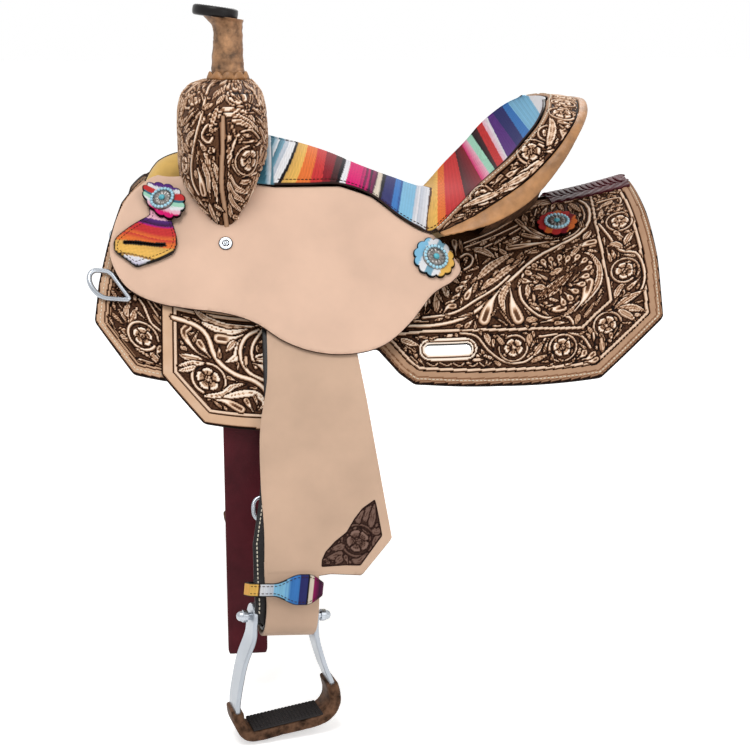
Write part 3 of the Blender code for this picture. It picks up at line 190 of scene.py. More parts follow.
def in_photo(points):
    """Where points are in the photograph, in pixels from its top left corner."""
    back, right, up = (np.array(v) for v in view_axes())
    eye = np.array(VIEW_TARGET) + back * VIEW_DISTANCE
    ray = points - eye
    scale = PHOTO_SIDE / 2 * VIEW_DISTANCE / VIEW_HALF_HEIGHT / -(ray @ back)
    return np.stack([PHOTO_SIDE / 2 + (ray @ right) * scale, PHOTO_SIDE / 2 - (ray @ up) * scale], -1)


# Smooth curves
def spline_at(points, t):
    """Points a share t along the smooth curve through the given ones."""
    points = np.asarray(points, float)
    t = np.asarray(t, float)
    spans = len(points) - 1
    i = np.minimum((t * spans).astype(int), spans - 1)
    f = (t * spans - i)[..., None]
    a, b, c, d = (points[np.clip(i + k, 0, spans)] for k in (-1, 0, 1, 2))
    bend = (2 * a - 5 * b + 4 * c - d) * f * f + (3 * b - a - 3 * c + d) * f**3
    return 0.5 * (2 * b + (c - a) * f + bend)


def curve(points, count):
    """Evenly spaced points along the smooth curve through the given ones."""
    dense = spline_at(points, np.linspace(0, 1, 24 * len(points)))
    return evenly(dense, count)


def evenly(line, count):
    """So many points at even steps along a line."""
    line = np.asarray(line, float)
    steps = np.linalg.norm(np.diff(line, axis=0), axis=1)
    at = np.concatenate([[0], np.cumsum(steps)])
    want = np.linspace(0, at[-1], count)
    return np.stack([np.interp(want, at, line[:, k]) for k in range(line.shape[1])], -1)


def length_of(line):
    """The length of a line through points."""
    return float(np.linalg.norm(np.diff(np.asarray(line, float), axis=0), axis=1).sum())


def rounded(points, radius, steps=4):
    """The closed outline with each corner turned as an arc."""
    made = []
    count = len(points)
    for i in range(count):
        here, before, after = (np.array(points[k % count], float) for k in (i, i - 1, i + 1))
        before, after = before - here, after - here
        sizes = np.linalg.norm(before), np.linalg.norm(after)
        reach = min(radius, sizes[0] / 2.2, sizes[1] / 2.2)
        start, end = here + before / sizes[0] * reach, here + after / sizes[1] * reach
        for t in np.linspace(0, 1, steps + 1):
            made.append(start * (1 - t) ** 2 + here * (2 * t * (1 - t)) + end * t * t)
    return np.array(made)


def to_outline(x, h, outline):
    """(distance inside the outline, nearest point of it)."""
    outline = np.asarray(outline, float)
    x, h = np.asarray(x, float), np.asarray(h, float)
    best = np.full(x.shape, FAR)
    near_x, near_h = np.zeros(x.shape), np.zeros(x.shape)
    inside = np.zeros(x.shape, bool)
    ends = np.roll(outline, -1, axis=0)
    sizes = np.linalg.norm(ends - outline, axis=1)
    for a, b, size in zip(outline, ends, sizes):
        along = (b - a) / max(size, NOTHING)
        t = clamp((x - a[0]) * along[0] + (h - a[1]) * along[1], 0, size)
        px, ph = a[0] + along[0] * t, a[1] + along[1] * t
        away = np.hypot(x - px, h - ph)
        closer = away < best
        best = np.where(closer, away, best)
        near_x, near_h = np.where(closer, px, near_x), np.where(closer, ph, near_h)
        crosses = (a[1] > h) != (b[1] > h)
        level = a[0] + (h - a[1]) * (b[0] - a[0]) / (b[1] - a[1] if b[1] != a[1] else NOTHING)
        inside ^= crosses & (x < level)
    return np.where(inside, best, -best), np.stack([near_x, near_h], -1)


# Materials
RAMP_STOPS = (
    (0.00, (0.005, 0.0014, 0.0006)), (0.16, (0.036, 0.0125, 0.0055)), (0.42, (0.240, 0.112, 0.056)),
    (0.74, (0.680, 0.440, 0.285)), (0.92, (1.000, 0.800, 0.640)), (1.00, (1.000, 0.860, 0.720)),
)
DARK_STOPS = ((0.00, (0.020, 0.008, 0.006)), (0.42, (0.085, 0.042, 0.030)), (1.00, (0.230, 0.140, 0.110)))


ROUGHNESS_SPREAD, COAT_ROUGHNESS, METAL_SPECULAR = 0.2, 0.25, 0.5
WHITE = (1.0, 1.0, 1.0, 1)


def new_material(name):
    """A material with empty nodes, its tree and its shader."""
    made = bpy.data.materials.new(name)
    made.use_nodes = True
    return made, made.node_tree, made.node_tree.nodes["Principled BSDF"]


def node(tree, kind, **values):
    """A new node with these properties or socket values."""
    made = tree.nodes.new(kind)
    for key, value in values.items():
        if hasattr(made, key):
            setattr(made, key, value)
        else:
            made.inputs[key.replace("_", " ")].default_value = value
    return made


def fill_ramp(ramp, stops):
    """Sets a ramp's stops, each (place, colour)."""
    elements = ramp.color_ramp.elements
    while len(elements) < len(stops):
        elements.new(0.5)
    for element, (at, colour) in zip(elements, stops):
        element.position = at
        element.color = (*colour, 1)


def noise(tree, where, scale, detail=4.0, roughness=0.55, stretch=None):
    """A noise texture of so many marks to the metre."""
    made = node(tree, "ShaderNodeTexNoise", Scale=scale, Detail=detail, Roughness=roughness)
    if stretch is not None:
        mapping = node(tree, "ShaderNodeMapping", Scale=stretch)
        tree.links.new(where, mapping.inputs["Vector"])
        where = mapping.outputs["Vector"]
    tree.links.new(where, made.inputs["Vector"])
    return made.outputs["Fac"]


def math_node(tree, operation, a, b):
    """a and b are sockets or numbers."""
    made = node(tree, "ShaderNodeMath", operation=operation)
    for k, value in enumerate((a, b)):
        if isinstance(value, (int, float)):
            made.inputs[k].default_value = value
        else:
            tree.links.new(value, made.inputs[k])
    return made.outputs[0]


def scaled(tree, value, factor, offset):
    """value times factor plus offset."""
    made = math_node(tree, "MULTIPLY_ADD", value, factor)
    made.node.inputs[2].default_value = offset
    return made


def surface(name, stops, attribute=None, mottle=18.0, mottle_share=0.2, roughness=0.6, metallic=0.0,
            grain=700.0, grain_depth=0.15, grain_stretch=None, sheen=0.0, coat=0.0, specular=0.05):
    """A material whose colour is a ramp over noise, over the tone or the paint on the mesh."""
    made, tree, shader = new_material(name)
    where = node(tree, "ShaderNodeTexCoord").outputs["Object"]
    large = noise(tree, where, mottle)
    if attribute == "paint":
        source = node(tree, "ShaderNodeAttribute", attribute_name=attribute)
        bright = scaled(tree, large, mottle_share * 2, 1 - mottle_share)
        scale = node(tree, "ShaderNodeVectorMath", operation="SCALE")
        tree.links.new(source.outputs["Color"], scale.inputs[0])
        tree.links.new(bright, scale.inputs["Scale"])
        tree.links.new(scale.outputs["Vector"], shader.inputs["Base Color"])
    else:
        ramp = node(tree, "ShaderNodeValToRGB")
        fill_ramp(ramp, stops)
        factor = large
        if attribute:
            tone = node(tree, "ShaderNodeAttribute", attribute_name=attribute).outputs["Fac"]
            spread = scaled(tree, large, mottle_share, -mottle_share / 2)
            factor = math_node(tree, "ADD", tone, spread)
        tree.links.new(factor, ramp.inputs["Fac"])
        tree.links.new(ramp.outputs["Color"], shader.inputs["Base Color"])
    fine = noise(tree, where, grain, 3.0, 0.6, grain_stretch)
    bump = node(tree, "ShaderNodeBump", Strength=grain_depth, Distance=0.001)
    tree.links.new(fine, bump.inputs["Height"])
    tree.links.new(bump.outputs["Normal"], shader.inputs["Normal"])
    rough = scaled(tree, fine, ROUGHNESS_SPREAD, max(roughness - ROUGHNESS_SPREAD / 2, 0.0))
    tree.links.new(rough, shader.inputs["Roughness"])
    for socket, value in (
        ("Metallic", metallic), ("Sheen Weight", sheen), ("Coat Weight", coat),
        ("Coat Roughness", COAT_ROUGHNESS), ("Specular IOR Level", METAL_SPECULAR if metallic else specular),
    ):
        shader.inputs[socket].default_value = value
    return made


def shades(colour, spread):
    """Three stops round one colour."""
    low, high = 1 - spread, 1 + spread
    return (
        (0.30, tuple(c * low for c in colour)),
        (0.50, colour),
        (0.72, tuple(min(c * high, 1.0) for c in colour)),
    )


def make_looks():
    """All the looks, by the short names that the pieces use."""
    return {
        "tooled": surface("tooled_leather", RAMP_STOPS, "tone", 45, 0.10, 0.50, grain=900, grain_depth=0.10),
        "tooled_dark": surface("tooled_dark_leather", DARK_STOPS, "tone", 45, 0.10, 0.55, grain=900,
                               grain_depth=0.10),
        # Dark edges of cut leather; the same look also paints the latigo holes as painted shade
        "dark_edge_and_hole_shade": surface("dark_edge_and_hole_shade", shades((0.030, 0.018, 0.014), 0.3), roughness=0.45),
        "rough_out": surface(
            "rough_out_leather", shades((0.765, 0.520, 0.388), 0.07), mottle=14, roughness=0.92,
            grain=1500, grain_depth=0.22, sheen=0.25,
        ),
        # A darker copy of the rough-out leather: painted shade for the hanging fenders and their loops
        "rough_out_shaded": surface(
            "rough_out_leather_shaded", shades((0.615, 0.420, 0.300), 0.10), mottle=14, roughness=0.92,
            grain=1500, grain_depth=0.22, sheen=0.25,
        ),
        "rough_edge": surface("rough_out_edge", shades((0.075, 0.042, 0.030), 0.2), roughness=0.7),
        "caramel": surface(
            "caramel_leather", shades((0.400, 0.195, 0.078), 0.45), mottle=42, roughness=0.45,
            grain=320, grain_depth=0.40, specular=0.4,
        ),
        "neck": surface(
            "horn_neck_leather", shades((0.33, 0.175, 0.085), 0.75), mottle=95, roughness=0.5,
            grain=140, grain_depth=0.5, specular=0.4,
        ),
        "dark": surface("dark_leather", shades((0.012, 0.010, 0.010), 0.35), roughness=0.30,
                        grain_depth=0.15, specular=0.2),
        "cap": surface("horn_cap_leather", shades((0.115, 0.058, 0.034), 0.3), roughness=0.38, coat=0.25),
        "burgundy": surface(
            "burgundy_leather", shades((0.080, 0.0105, 0.0160), 0.35), mottle=24, roughness=0.40,
            grain=500, grain_depth=0.12, specular=0.12,
        ),
        "striped": surface(
            "striped_leather", None, "paint", 160, 0.10, 0.62, grain=1600, grain_depth=0.28,
            grain_stretch=(1.0, 0.25, 1.0),
        ),
        # Dark wrap leather; on the back of the cantle it also serves as painted shade
        "wrap": surface(
            "wrap_leather", shades((0.120, 0.062, 0.036), 0.75), mottle=120, roughness=0.5, grain=400,
            grain_depth=0.4,
        ),
        "fleece": surface(
            "fleece_wool", shades((0.74, 0.66, 0.50), 0.16), mottle=70, roughness=0.97,
            grain=420, grain_depth=1.0, sheen=0.5,
        ),
        "foam": surface("foam", shades((0.72, 0.70, 0.60), 0.08), roughness=0.95, grain=900, grain_depth=0.5),
        "steel": surface("steel", shades((0.46, 0.49, 0.53), 0.25), mottle=30, roughness=0.26, metallic=1.0,
                         grain_depth=0.03),
        "aluminium": surface(
            "aluminium", shades((0.400, 0.430, 0.470), 0.08), roughness=0.32, metallic=0.9, grain=500,
            grain_depth=0.05, grain_stretch=(1, 1, 8),
        ),
        "old_silver": surface("old_silver", shades((0.20, 0.19, 0.18), 0.5), mottle=300, roughness=0.35,
                              metallic=0.9),
        "turquoise": surface("turquoise", shades((0.10, 0.42, 0.50), 0.3), mottle=260, roughness=0.25,
                             coat=0.5),
        "bead": surface("glass_bead", shades((0.42, 0.72, 0.86), 0.2), mottle=300, roughness=0.15, coat=0.6),
        "wood": surface(
            "wood", shades((0.52, 0.35, 0.18), 0.25), mottle=30, roughness=0.7, grain=240,
            grain_depth=0.3, grain_stretch=(0.15, 1, 1),
        ),
        "rubber": surface("rubber", shades((0.040, 0.036, 0.036), 0.2), roughness=0.8, grain_depth=0.4),
        "thread": surface("cream_thread", shades((0.80, 0.72, 0.58), 0.12), mottle=500, roughness=0.7),
        "dark_thread": surface("dark_thread", shades((0.050, 0.022, 0.016), 0.3), mottle=500, roughness=0.7),
        "suede": surface("yellow_suede", shades((0.78, 0.50, 0.15), 0.15), mottle=40, roughness=0.95,
                         sheen=0.4),
        "floor": surface("studio_floor", shades((0.93, 0.93, 0.93), 0.01), mottle=2, roughness=0.9,
                         grain_depth=0.0),
    }


LOOKS = make_looks()
# The looks of a leather's top, edge and underside
TOOLED = ("tooled", "dark_edge_and_hole_shade", "dark_edge_and_hole_shade")
ROUGH_OUT = ("rough_out", "rough_edge", "rough_edge")


# Meshes
def build(name, points, faces, looks, face_look=None, tone=None, paint=None, smooth=True):
    """A mesh object from arrays; faces of three corners are given as four with the last one -1."""
    points = np.asarray(points, float).reshape(-1, 3)
    faces = np.asarray(faces, int)
    mesh = bpy.data.meshes.new(name)
    three = faces[:, 3] < 0
    order = np.concatenate([faces[~three].ravel(), faces[three][:, :3].ravel()])
    totals = np.concatenate([np.full((~three).sum(), 4), np.full(three.sum(), 3)])
    if face_look is not None:
        face_look = np.concatenate([face_look[~three], face_look[three]])
    starts = np.concatenate([[0], np.cumsum(totals)[:-1]])
    mesh.vertices.add(len(points))
    mesh.vertices.foreach_set("co", points.ravel())
    mesh.loops.add(len(order))
    mesh.loops.foreach_set("vertex_index", order)
    mesh.polygons.add(len(totals))
    mesh.polygons.foreach_set("loop_start", starts)
    mesh.polygons.foreach_set("loop_total", totals)
    mesh.update(calc_edges=True)
    mesh.validate()
    for look in looks:
        mesh.materials.append(LOOKS[look])
    if face_look is not None and len(mesh.polygons) == len(face_look):
        mesh.polygons.foreach_set("material_index", face_look.astype(int))
    if tone is not None:
        made = mesh.attributes.new("tone", "FLOAT", "POINT")
        made.data.foreach_set("value", np.asarray(tone, float).ravel())
    if paint is not None:
        made = mesh.attributes.new("paint", "FLOAT_COLOR", "POINT")
        whole = np.concatenate([np.asarray(paint, float).reshape(-1, 3), np.ones((len(points), 1))], 1)
        made.data.foreach_set("color", whole.ravel())
    mesh.polygons.foreach_set("use_smooth", np.full(len(mesh.polygons), smooth))
    obj = bpy.data.objects.new(name, mesh)
    bpy.context.scene.collection.objects.link(obj)
    return obj


def outward(obj):
    """Turns all the faces outward."""
    bm = bmesh.new()
    bm.from_mesh(obj.data)
    bmesh.ops.remove_doubles(bm, verts=bm.verts, dist=2e-6)
    bmesh.ops.recalc_face_normals(bm, faces=bm.faces)
    bm.to_mesh(obj.data)
    bm.free()
    return obj


def crease(obj, degrees):
    """Keeps the shading of faces apart that meet at more than so many degrees."""
    obj.data.set_sharp_from_angle(angle=math.radians(degrees))


def declare(obj, body, replaces):
    """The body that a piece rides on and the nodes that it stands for."""
    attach(obj, body)
    if replaces:
        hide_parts(*replaces)


def grid_faces(rows, columns, close_rows=False, close_columns=False):
    """The quads of a grid of points, rows by columns, numbered along each row."""
    i = np.arange(rows if close_rows else rows - 1)
    k = np.arange(columns if close_columns else columns - 1)
    i, k = (v.ravel() for v in np.meshgrid(i, k, indexing="ij"))
    i2, k2 = (i + 1) % rows, (k + 1) % columns
    return np.stack([i * columns + k, i2 * columns + k, i2 * columns + k2, i * columns + k2], -1)


def boundary(faces):
    """The directed edges that only one face has."""
    ends = []
    for a, b in ((0, 1), (1, 2), (2, 3), (3, 0)):
        ends.append(np.stack([faces[:, a], faces[:, b]], -1))
    three = faces[:, 3] < 0
    ends[2][three] = np.stack([faces[three, 2], faces[three, 0]], -1)
    ends[3] = ends[3][~three]
    ends = np.concatenate(ends)
    count = ends.max() + 1
    forward, backward = ends[:, 0] * count + ends[:, 1], ends[:, 1] * count + ends[:, 0]
    return ends[~np.isin(forward, backward)]


def thick_sheet(name, top, under, faces, looks, tone=None, paint=None, with_under=True):
    """A closed sheet from its top points, the points below them and the top's faces.
    looks are those of the top, the edge and the underside."""
    count = len(top)
    rims = boundary(faces)
    walls = np.stack([rims[:, 1], rims[:, 0], rims[:, 0] + count, rims[:, 1] + count], -1)
    parts = [faces, walls]
    index = [np.zeros(len(faces)), np.full(len(walls), min(1, len(looks) - 1))]
    if with_under:
        low = faces + count
        flipped = low[:, ::-1].copy()
        three = faces[:, 3] < 0
        flipped[three] = np.stack([low[three, 2], low[three, 1], low[three, 0], np.full(three.sum(), -1)], -1)
        parts.append(flipped)
        index.append(np.full(len(faces), len(looks) - 1))
    points = np.concatenate([top, under])
    faces, index = np.concatenate(parts), np.concatenate(index)
    used = np.unique(faces[faces >= 0])
    number = np.full(len(points), -1)
    number[used] = np.arange(len(used))
    faces = np.where(faces >= 0, number[faces], -1)
    double = lambda values: None if values is None else np.concatenate([values, values])[used]
    obj = build(name, points[used], faces, looks, index, double(tone), double(paint))
    crease(obj, 50)
    return obj


class Patch:
    """A regular grid over an outline in (x, h), its rim points pulled onto the outline."""

    def __init__(self, outline, step, keep=None):
        outline = np.asarray(outline, float)
        low, high = outline.min(0), outline.max(0)
        if keep is not None:
            low, high = np.maximum(low, keep[0]), np.minimum(high, keep[1])
        x = np.arange(low[0] - (0 if keep is not None else step), high[0] + step, step)
        h = np.arange(low[1] - step, high[1] + step, step)
        self.x, self.h = np.meshgrid(x, h, indexing="ij")
        self.edge, nearest = to_outline(self.x, self.h, outline)
        rim = np.abs(self.edge) <= 0.5 * step
        self.x = np.where(rim, nearest[..., 0], self.x)
        self.h = np.where(rim, nearest[..., 1], self.h)
        kept = (self.edge > -0.5 * step).ravel()
        self.edge = np.where(rim, 0.0, self.edge)
        quads = grid_faces(*self.x.shape)
        held = kept[quads]
        whole = quads[held.all(1)]
        corners = quads[held.sum(1) == 3]
        lost = (~kept[corners]).argmax(1)
        rolled = np.stack([corners[np.arange(len(corners)), (lost + k) % 4] for k in (1, 2, 3)], -1)
        threes = np.concatenate([rolled, np.full((len(rolled), 1), -1)], 1)
        self.faces = np.concatenate([whole, threes])

    def drop(self, gone):
        """Leaves out the faces with a corner where gone is true."""
        flags = gone.ravel()
        index = np.where(self.faces < 0, self.faces[:, :1], self.faces)
        self.faces = self.faces[~flags[index].any(1)]


def leather_sheet(name, patch, place, under, over, looks, side, round_off=0.0015, relief=None, tone=None,
                  paint=None, with_under=True):
    """A leather of this patch's outline over a surface, its upper edge rounded."""
    near = clamp(round_off - patch.edge, 0, round_off)
    top = over - (round_off - np.sqrt(round_off**2 - near**2 * 0.98))
    if relief is not None:
        top = top + relief
    points = place(patch.x, patch.h, top, side).reshape(-1, 3)
    low = place(patch.x, patch.h, np.full(patch.x.shape, under), side).reshape(-1, 3)
    faces = patch.faces if side > 0 else turned_over(patch.faces)
    flat = lambda values, width: None if values is None else values.reshape(-1, width).squeeze()
    return thick_sheet(name, points, low, faces, looks, flat(tone, 1), flat(paint, 3), with_under)


def turned_over(faces):
    """The faces as seen from their other side."""
    made = faces[:, ::-1].copy()
    three = faces[:, 3] < 0
    made[three] = np.stack([faces[three, 2], faces[three, 1], faces[three, 0], faces[three, 3]], -1)
    return made


def tube(name, rings, look, closed=False, caps=True, sharp=None):
    """A solid through rings of equally many points."""
    rings = np.asarray(rings, float)
    count, around = rings.shape[:2]
    faces = grid_faces(count, around, closed, True)
    points = rings.reshape(-1, 3)
    if caps and not closed:
        base, k = len(points), np.arange(around)
        after, none = (k + 1) % around, np.full(around, -1)
        last = (count - 1) * around
        first_cap = np.stack([np.full(around, base), k, after, none], -1)
        last_cap = np.stack([np.full(around, base + 1), after + last, k + last, none], -1)
        faces = np.concatenate([faces, first_cap, last_cap])
        points = np.concatenate([points, [rings[0].mean(0), rings[-1].mean(0)]])
    obj = outward(build(name, points, faces, [look]))
    if sharp:
        crease(obj, sharp)
    return obj


def frames_along(path, up=(0.0, 0.0, 1.0)):
    """(along, across, up) at each point of a path."""
    path = np.asarray(path, float)
    along = unit(np.gradient(path, axis=0))
    ups = np.broadcast_to(np.asarray(up, float), path.shape)
    ups = unit(ups - along * (ups * along).sum(1, keepdims=True))
    return along, np.cross(along, ups), ups


def rod(path, radius, sides, up):
    """Rings round a path."""
    _, across, ups = frames_along(path, up)
    a = np.linspace(0, 2 * math.pi, sides, endpoint=False)[None, :, None]
    radius = np.broadcast_to(np.asarray(radius, float), (len(path),))[:, None, None]
    return np.asarray(path)[:, None] + radius * (across[:, None] * np.cos(a) + ups[:, None] * np.sin(a))


def turned_rings(profile, centre, axis, count, start=None):
    """Rings of a solid turned about axis; the profile is (radius, distance along it)."""
    axis = Vector(axis).normalized()
    side = Vector(start) if start is not None else axis.orthogonal()
    side = np.array((side - axis * side.dot(axis)).normalized())
    other = np.cross(np.array(axis), side)
    a = np.linspace(0, 2 * math.pi, count, endpoint=False)[None, :, None]
    radius, rise = (np.array(v, float)[:, None, None] for v in zip(*profile))
    return np.array(centre) + np.array(axis) * rise + radius * (side * np.cos(a) + other * np.sin(a))


def add_turned(name, profile, centre, axis, count, look, body, replaces, slot, start=None, **form):
    """A declared solid turned about axis."""
    rings = turned_rings(profile, centre, axis, count, start)
    declare(tube(name, rings, look, **form), body, replaces)


def stitch_row(name, path, up, look, body, length=STITCH_LENGTH, pitch=STITCH_PITCH, radius=STITCH_RADIUS):
    """Stitches lying along a path, as one piece."""
    size = length_of(path)
    count = max(int(size / pitch), 1)
    up = np.broadcast_to(np.asarray(up, float), np.asarray(path).shape)
    both = evenly(path, count * 4 + 1)
    at = np.linspace(0, len(path) - 1, count * 4 + 1)
    ups = np.stack([np.interp(at, np.arange(len(path)), up[:, k]) for k in range(3)], -1)
    points, faces = [], []
    for k in range(count):
        middle, normal = both[4 * k + 2], ups[4 * k + 2]
        along = unit(both[4 * k + 4] - both[4 * k])
        line = middle + along * np.array([-0.5, -0.38, 0, 0.38, 0.5])[:, None] * length
        line = line + normal * np.array([-0.3, 0.1, 0.3, 0.1, -0.3])[:, None] * radius
        rings = rod(line, radius * np.array([0.35, 0.85, 1, 0.85, 0.35]), 6, normal)
        base = sum(len(p) for p in points)
        points.append(rings.reshape(-1, 3))
        quads = grid_faces(5, 6, False, True) + base
        caps = [[base + v for v in (0, 1, 2, 3)], [base + v for v in (0, 3, 4, 5)]]
        caps += [[base + 24 + v for v in (3, 2, 1, 0)], [base + 24 + v for v in (5, 4, 3, 0)]]
        faces.append(np.concatenate([quads, caps]))
    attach(build(name, np.concatenate(points), np.concatenate(faces), [look]), body)


def stitch_edge(name, line, place, base, lift, side, look, *sizes):
    """Stitches over a leather along a line in (x, h), lift above its face."""
    points = place(line[:, 0], line[:, 1], base + lift, side)
    over = place(line[:, 0], line[:, 1], base + 0.01, side) - points
    stitch_row(name, points, over * 100, look, "saddle", *sizes)


def inset_line(outline, inset):
    """The closed outline moved inward."""
    outline = np.asarray(outline, float)
    line = evenly(np.concatenate([outline, outline[:1]]), int(length_of(outline) / 0.003))[:-1]
    ahead = np.roll(line, -1, axis=0) - np.roll(line, 1, axis=0)
    normal = unit(np.stack([-ahead[:, 1], ahead[:, 0]], -1))
    area = (line[:, 0] * np.roll(line[:, 1], -1) - np.roll(line[:, 0], -1) * line[:, 1]).sum()
    moved = line + normal * inset * np.sign(area)
    edge = to_outline(moved[:, 0], moved[:, 1], outline)[0]
    return moved[edge > inset * 0.93]


# Tooling
CUT, LIFT = 0.0012, 0.0011
PETALS, BLOOM_TURN, SWIRL_GROWTH = 5, 0.4, 1.15
HATCH_PITCH, HATCH_CUT = 0.0022, 0.0022 * 0.32
LEAF_SHARE = 0.55


class Canvas:
    """Tooling on a grid: how high it stands and how light it is at each point. Besides the leather's stain,
    the lightness holds painted highlights on raised crests and painted shade in hollows and down sloped
    sides.
    """

    def __init__(self, a, b, ground=GROUND):
        self.a, self.b = np.asarray(a, float), np.asarray(b, float)
        self.tone = np.full(self.a.shape, ground) + 0.03 * rng.standard_normal(self.a.shape)
        self.height = np.full(self.a.shape, -LIFT * 0.5)
        self.busy = np.zeros(self.a.shape, bool)

    def measure(self, line, reach):
        """(which points, distance, share along) of the points within reach of a line."""
        line = np.asarray(line, float)
        low, high = line.min(0) - reach, line.max(0) + reach
        near = (self.a > low[0]) & (self.a < high[0]) & (self.b > low[1]) & (self.b < high[1])
        a, b = self.a[near], self.b[near]
        best, share = np.full(a.shape, FAR), np.zeros(a.shape)
        sizes = np.linalg.norm(np.diff(line, axis=0), axis=1)
        run, total = 0.0, sizes.sum()
        for p, q, size in zip(line, line[1:], sizes):
            along = (q - p) / max(size, NOTHING)
            t = clamp((a - p[0]) * along[0] + (b - p[1]) * along[1], 0, size)
            da, db = a - p[0] - along[0] * t, b - p[1] - along[1] * t
            away = np.hypot(da, db)
            closer = away < best
            best = np.where(closer, away, best)
            share = np.where(closer, (run + t) / total, share)
            run += size
        return near, best, share

    def put(self, near, inside, rim, tone, height):
        now, level, busy = self.tone[near], self.height[near], self.busy[near]
        now = np.where(rim, BLACK, now)
        level = np.where(rim, -LIFT, level)
        now = np.where(inside, tone, now)
        level = np.where(inside, height, level)
        self.tone[near], self.height[near], self.busy[near] = now, level, busy | inside | rim

    def stem(self, line, width, end_width=None, light=CREAM):
        """A plain raised stem, with a painted highlight along its crest and painted shade down its sides."""
        line = curve(line, 26)
        ends = (width, width if end_width is None else end_width)
        near, away, share = self.measure(line, max(ends) + 2 * CUT)
        half = ends[0] + (ends[1] - ends[0]) * share
        q = away / np.maximum(half, 1e-5)
        # painted highlight on the crest, darkening as painted shade towards the sides where the stem falls
        # away
        tone = light - (light - BROWN) * clamp(q) ** 2
        self.put(near, q < 1, (away < half + CUT) & (q >= 1), tone, LIFT * (1 - 0.6 * clamp(q) ** 2))

    def leaf(self, line, width, ribs=0, hollow=0.58, light=CREAM):
        """A pointed leaf with a painted highlight on its raised rim, painted shade in its sunk hollow and a
        vein, widest a little before its middle.
        """
        line = curve(line, 22)
        near, away, share = self.measure(line, width + 2 * CUT)
        body = np.sin(math.pi * clamp(share) ** 0.75) ** 0.75
        half = np.maximum(width * body, 2e-4)
        q = away / half
        # painted shade in the sunk hollow, painted highlight on the raised rim
        tone = np.where(q < hollow, BROWN, light - 0.25 * clamp((q - 0.85) / 0.15))
        if ribs:
            wave = np.sin(2 * math.pi * (share * ribs - 0.45 * q))
            tone = np.where((wave > 0.2) & (q < hollow), TAN, tone)
        tone = np.where(q < 0.12, TAN + 0.1, tone)
        height = LIFT * np.where(q < hollow, 0.25, 0.95) * (1 - 0.4 * clamp(q) ** 4)
        self.put(near, q < 1, (away < half + CUT) & (q >= 1), tone, height)

    def drop(self, line, width):
        """A round-ended drop: its far end is full and has a dark eye."""
        line = curve(line, 20)
        near, away, share = self.measure(line, width + 2 * CUT)
        half = width * (0.16 + 0.84 * smooth_step(share, 0.15, 0.85))
        q = away / half
        eye = smooth_step(share, 0.55, 0.8) * (1 - smooth_step(q, 0.30, 0.46))
        # painted highlight in the middle, painted shade towards the rim where the drop slopes down
        tone = (CREAM - (CREAM - BROWN) * clamp(q) ** 3) * (1 - eye) + 0.24 * eye
        height = LIFT * (1 - 0.5 * clamp(q) ** 3) * (1 - 0.8 * eye)
        self.put(near, q < 1, (away < half + CUT) & (q >= 1), tone, height)

    def bloom(self, centre, radius, turn):
        """A round flower: petals with notched rims round a beaded middle."""
        centre = np.array(centre, float)
        da, db = self.a - centre[0], self.b - centre[1]
        away, angle = np.hypot(da, db), np.arctan2(db, da) + turn
        near = away < radius * 1.15 + 2 * CUT
        away, angle = away[near], angle[near]
        lobe = np.abs(np.cos(angle * PETALS / 2))
        edge = radius * (0.80 + 0.20 * np.sqrt(lobe))
        q = away / edge
        between = np.abs(np.sin(angle * PETALS / 2)) > 0.965
        tone = np.where(q > 0.78, CREAM, TAN - 0.25 * (1 - q))
        ray = np.abs(np.sin(angle * PETALS * 2.5)) < 0.35
        tone = np.where(ray & (q > 0.42) & (q < 0.72), BLACK + 0.1, tone)
        tone = np.where(between & (q > 0.35), BLACK, tone)
        tone = np.where((q > 0.32) & (q < 0.40), BLACK, tone)
        beads = np.sin(angle * 7) * np.sin(away / radius * 26)
        tone = np.where(q <= 0.32, np.where(beads > 0, TAN + 0.1, 0.12), tone)
        height = LIFT * np.where(tone < 0.2, -0.4, 1.0)
        self.put(near, q < 1, (away < edge + CUT) & (q >= 1), tone, height)

    def swirl(self, centre, radius, start, turn, width, light=CREAM):
        """A stem that sweeps round a flower."""
        a = np.radians(np.linspace(start, start + turn, 18))
        r = radius * np.linspace(1, SWIRL_GROWTH, 18)
        line = np.stack([centre[0] + r * np.cos(a), centre[1] + r * np.sin(a)], -1)
        self.stem(line, width, width * 0.7, light)

    def hatch(self, inside):
        """Crossing cut lines on a raised pod."""
        a = math.radians(45)
        u = self.a * math.cos(a) + self.b * math.sin(a)
        w = self.a * math.sin(a) - self.b * math.cos(a)
        lines = (np.mod(u, HATCH_PITCH) < HATCH_CUT) | (np.mod(w, HATCH_PITCH) < HATCH_CUT)
        self.tone = np.where(inside & lines, 0.18, self.tone)

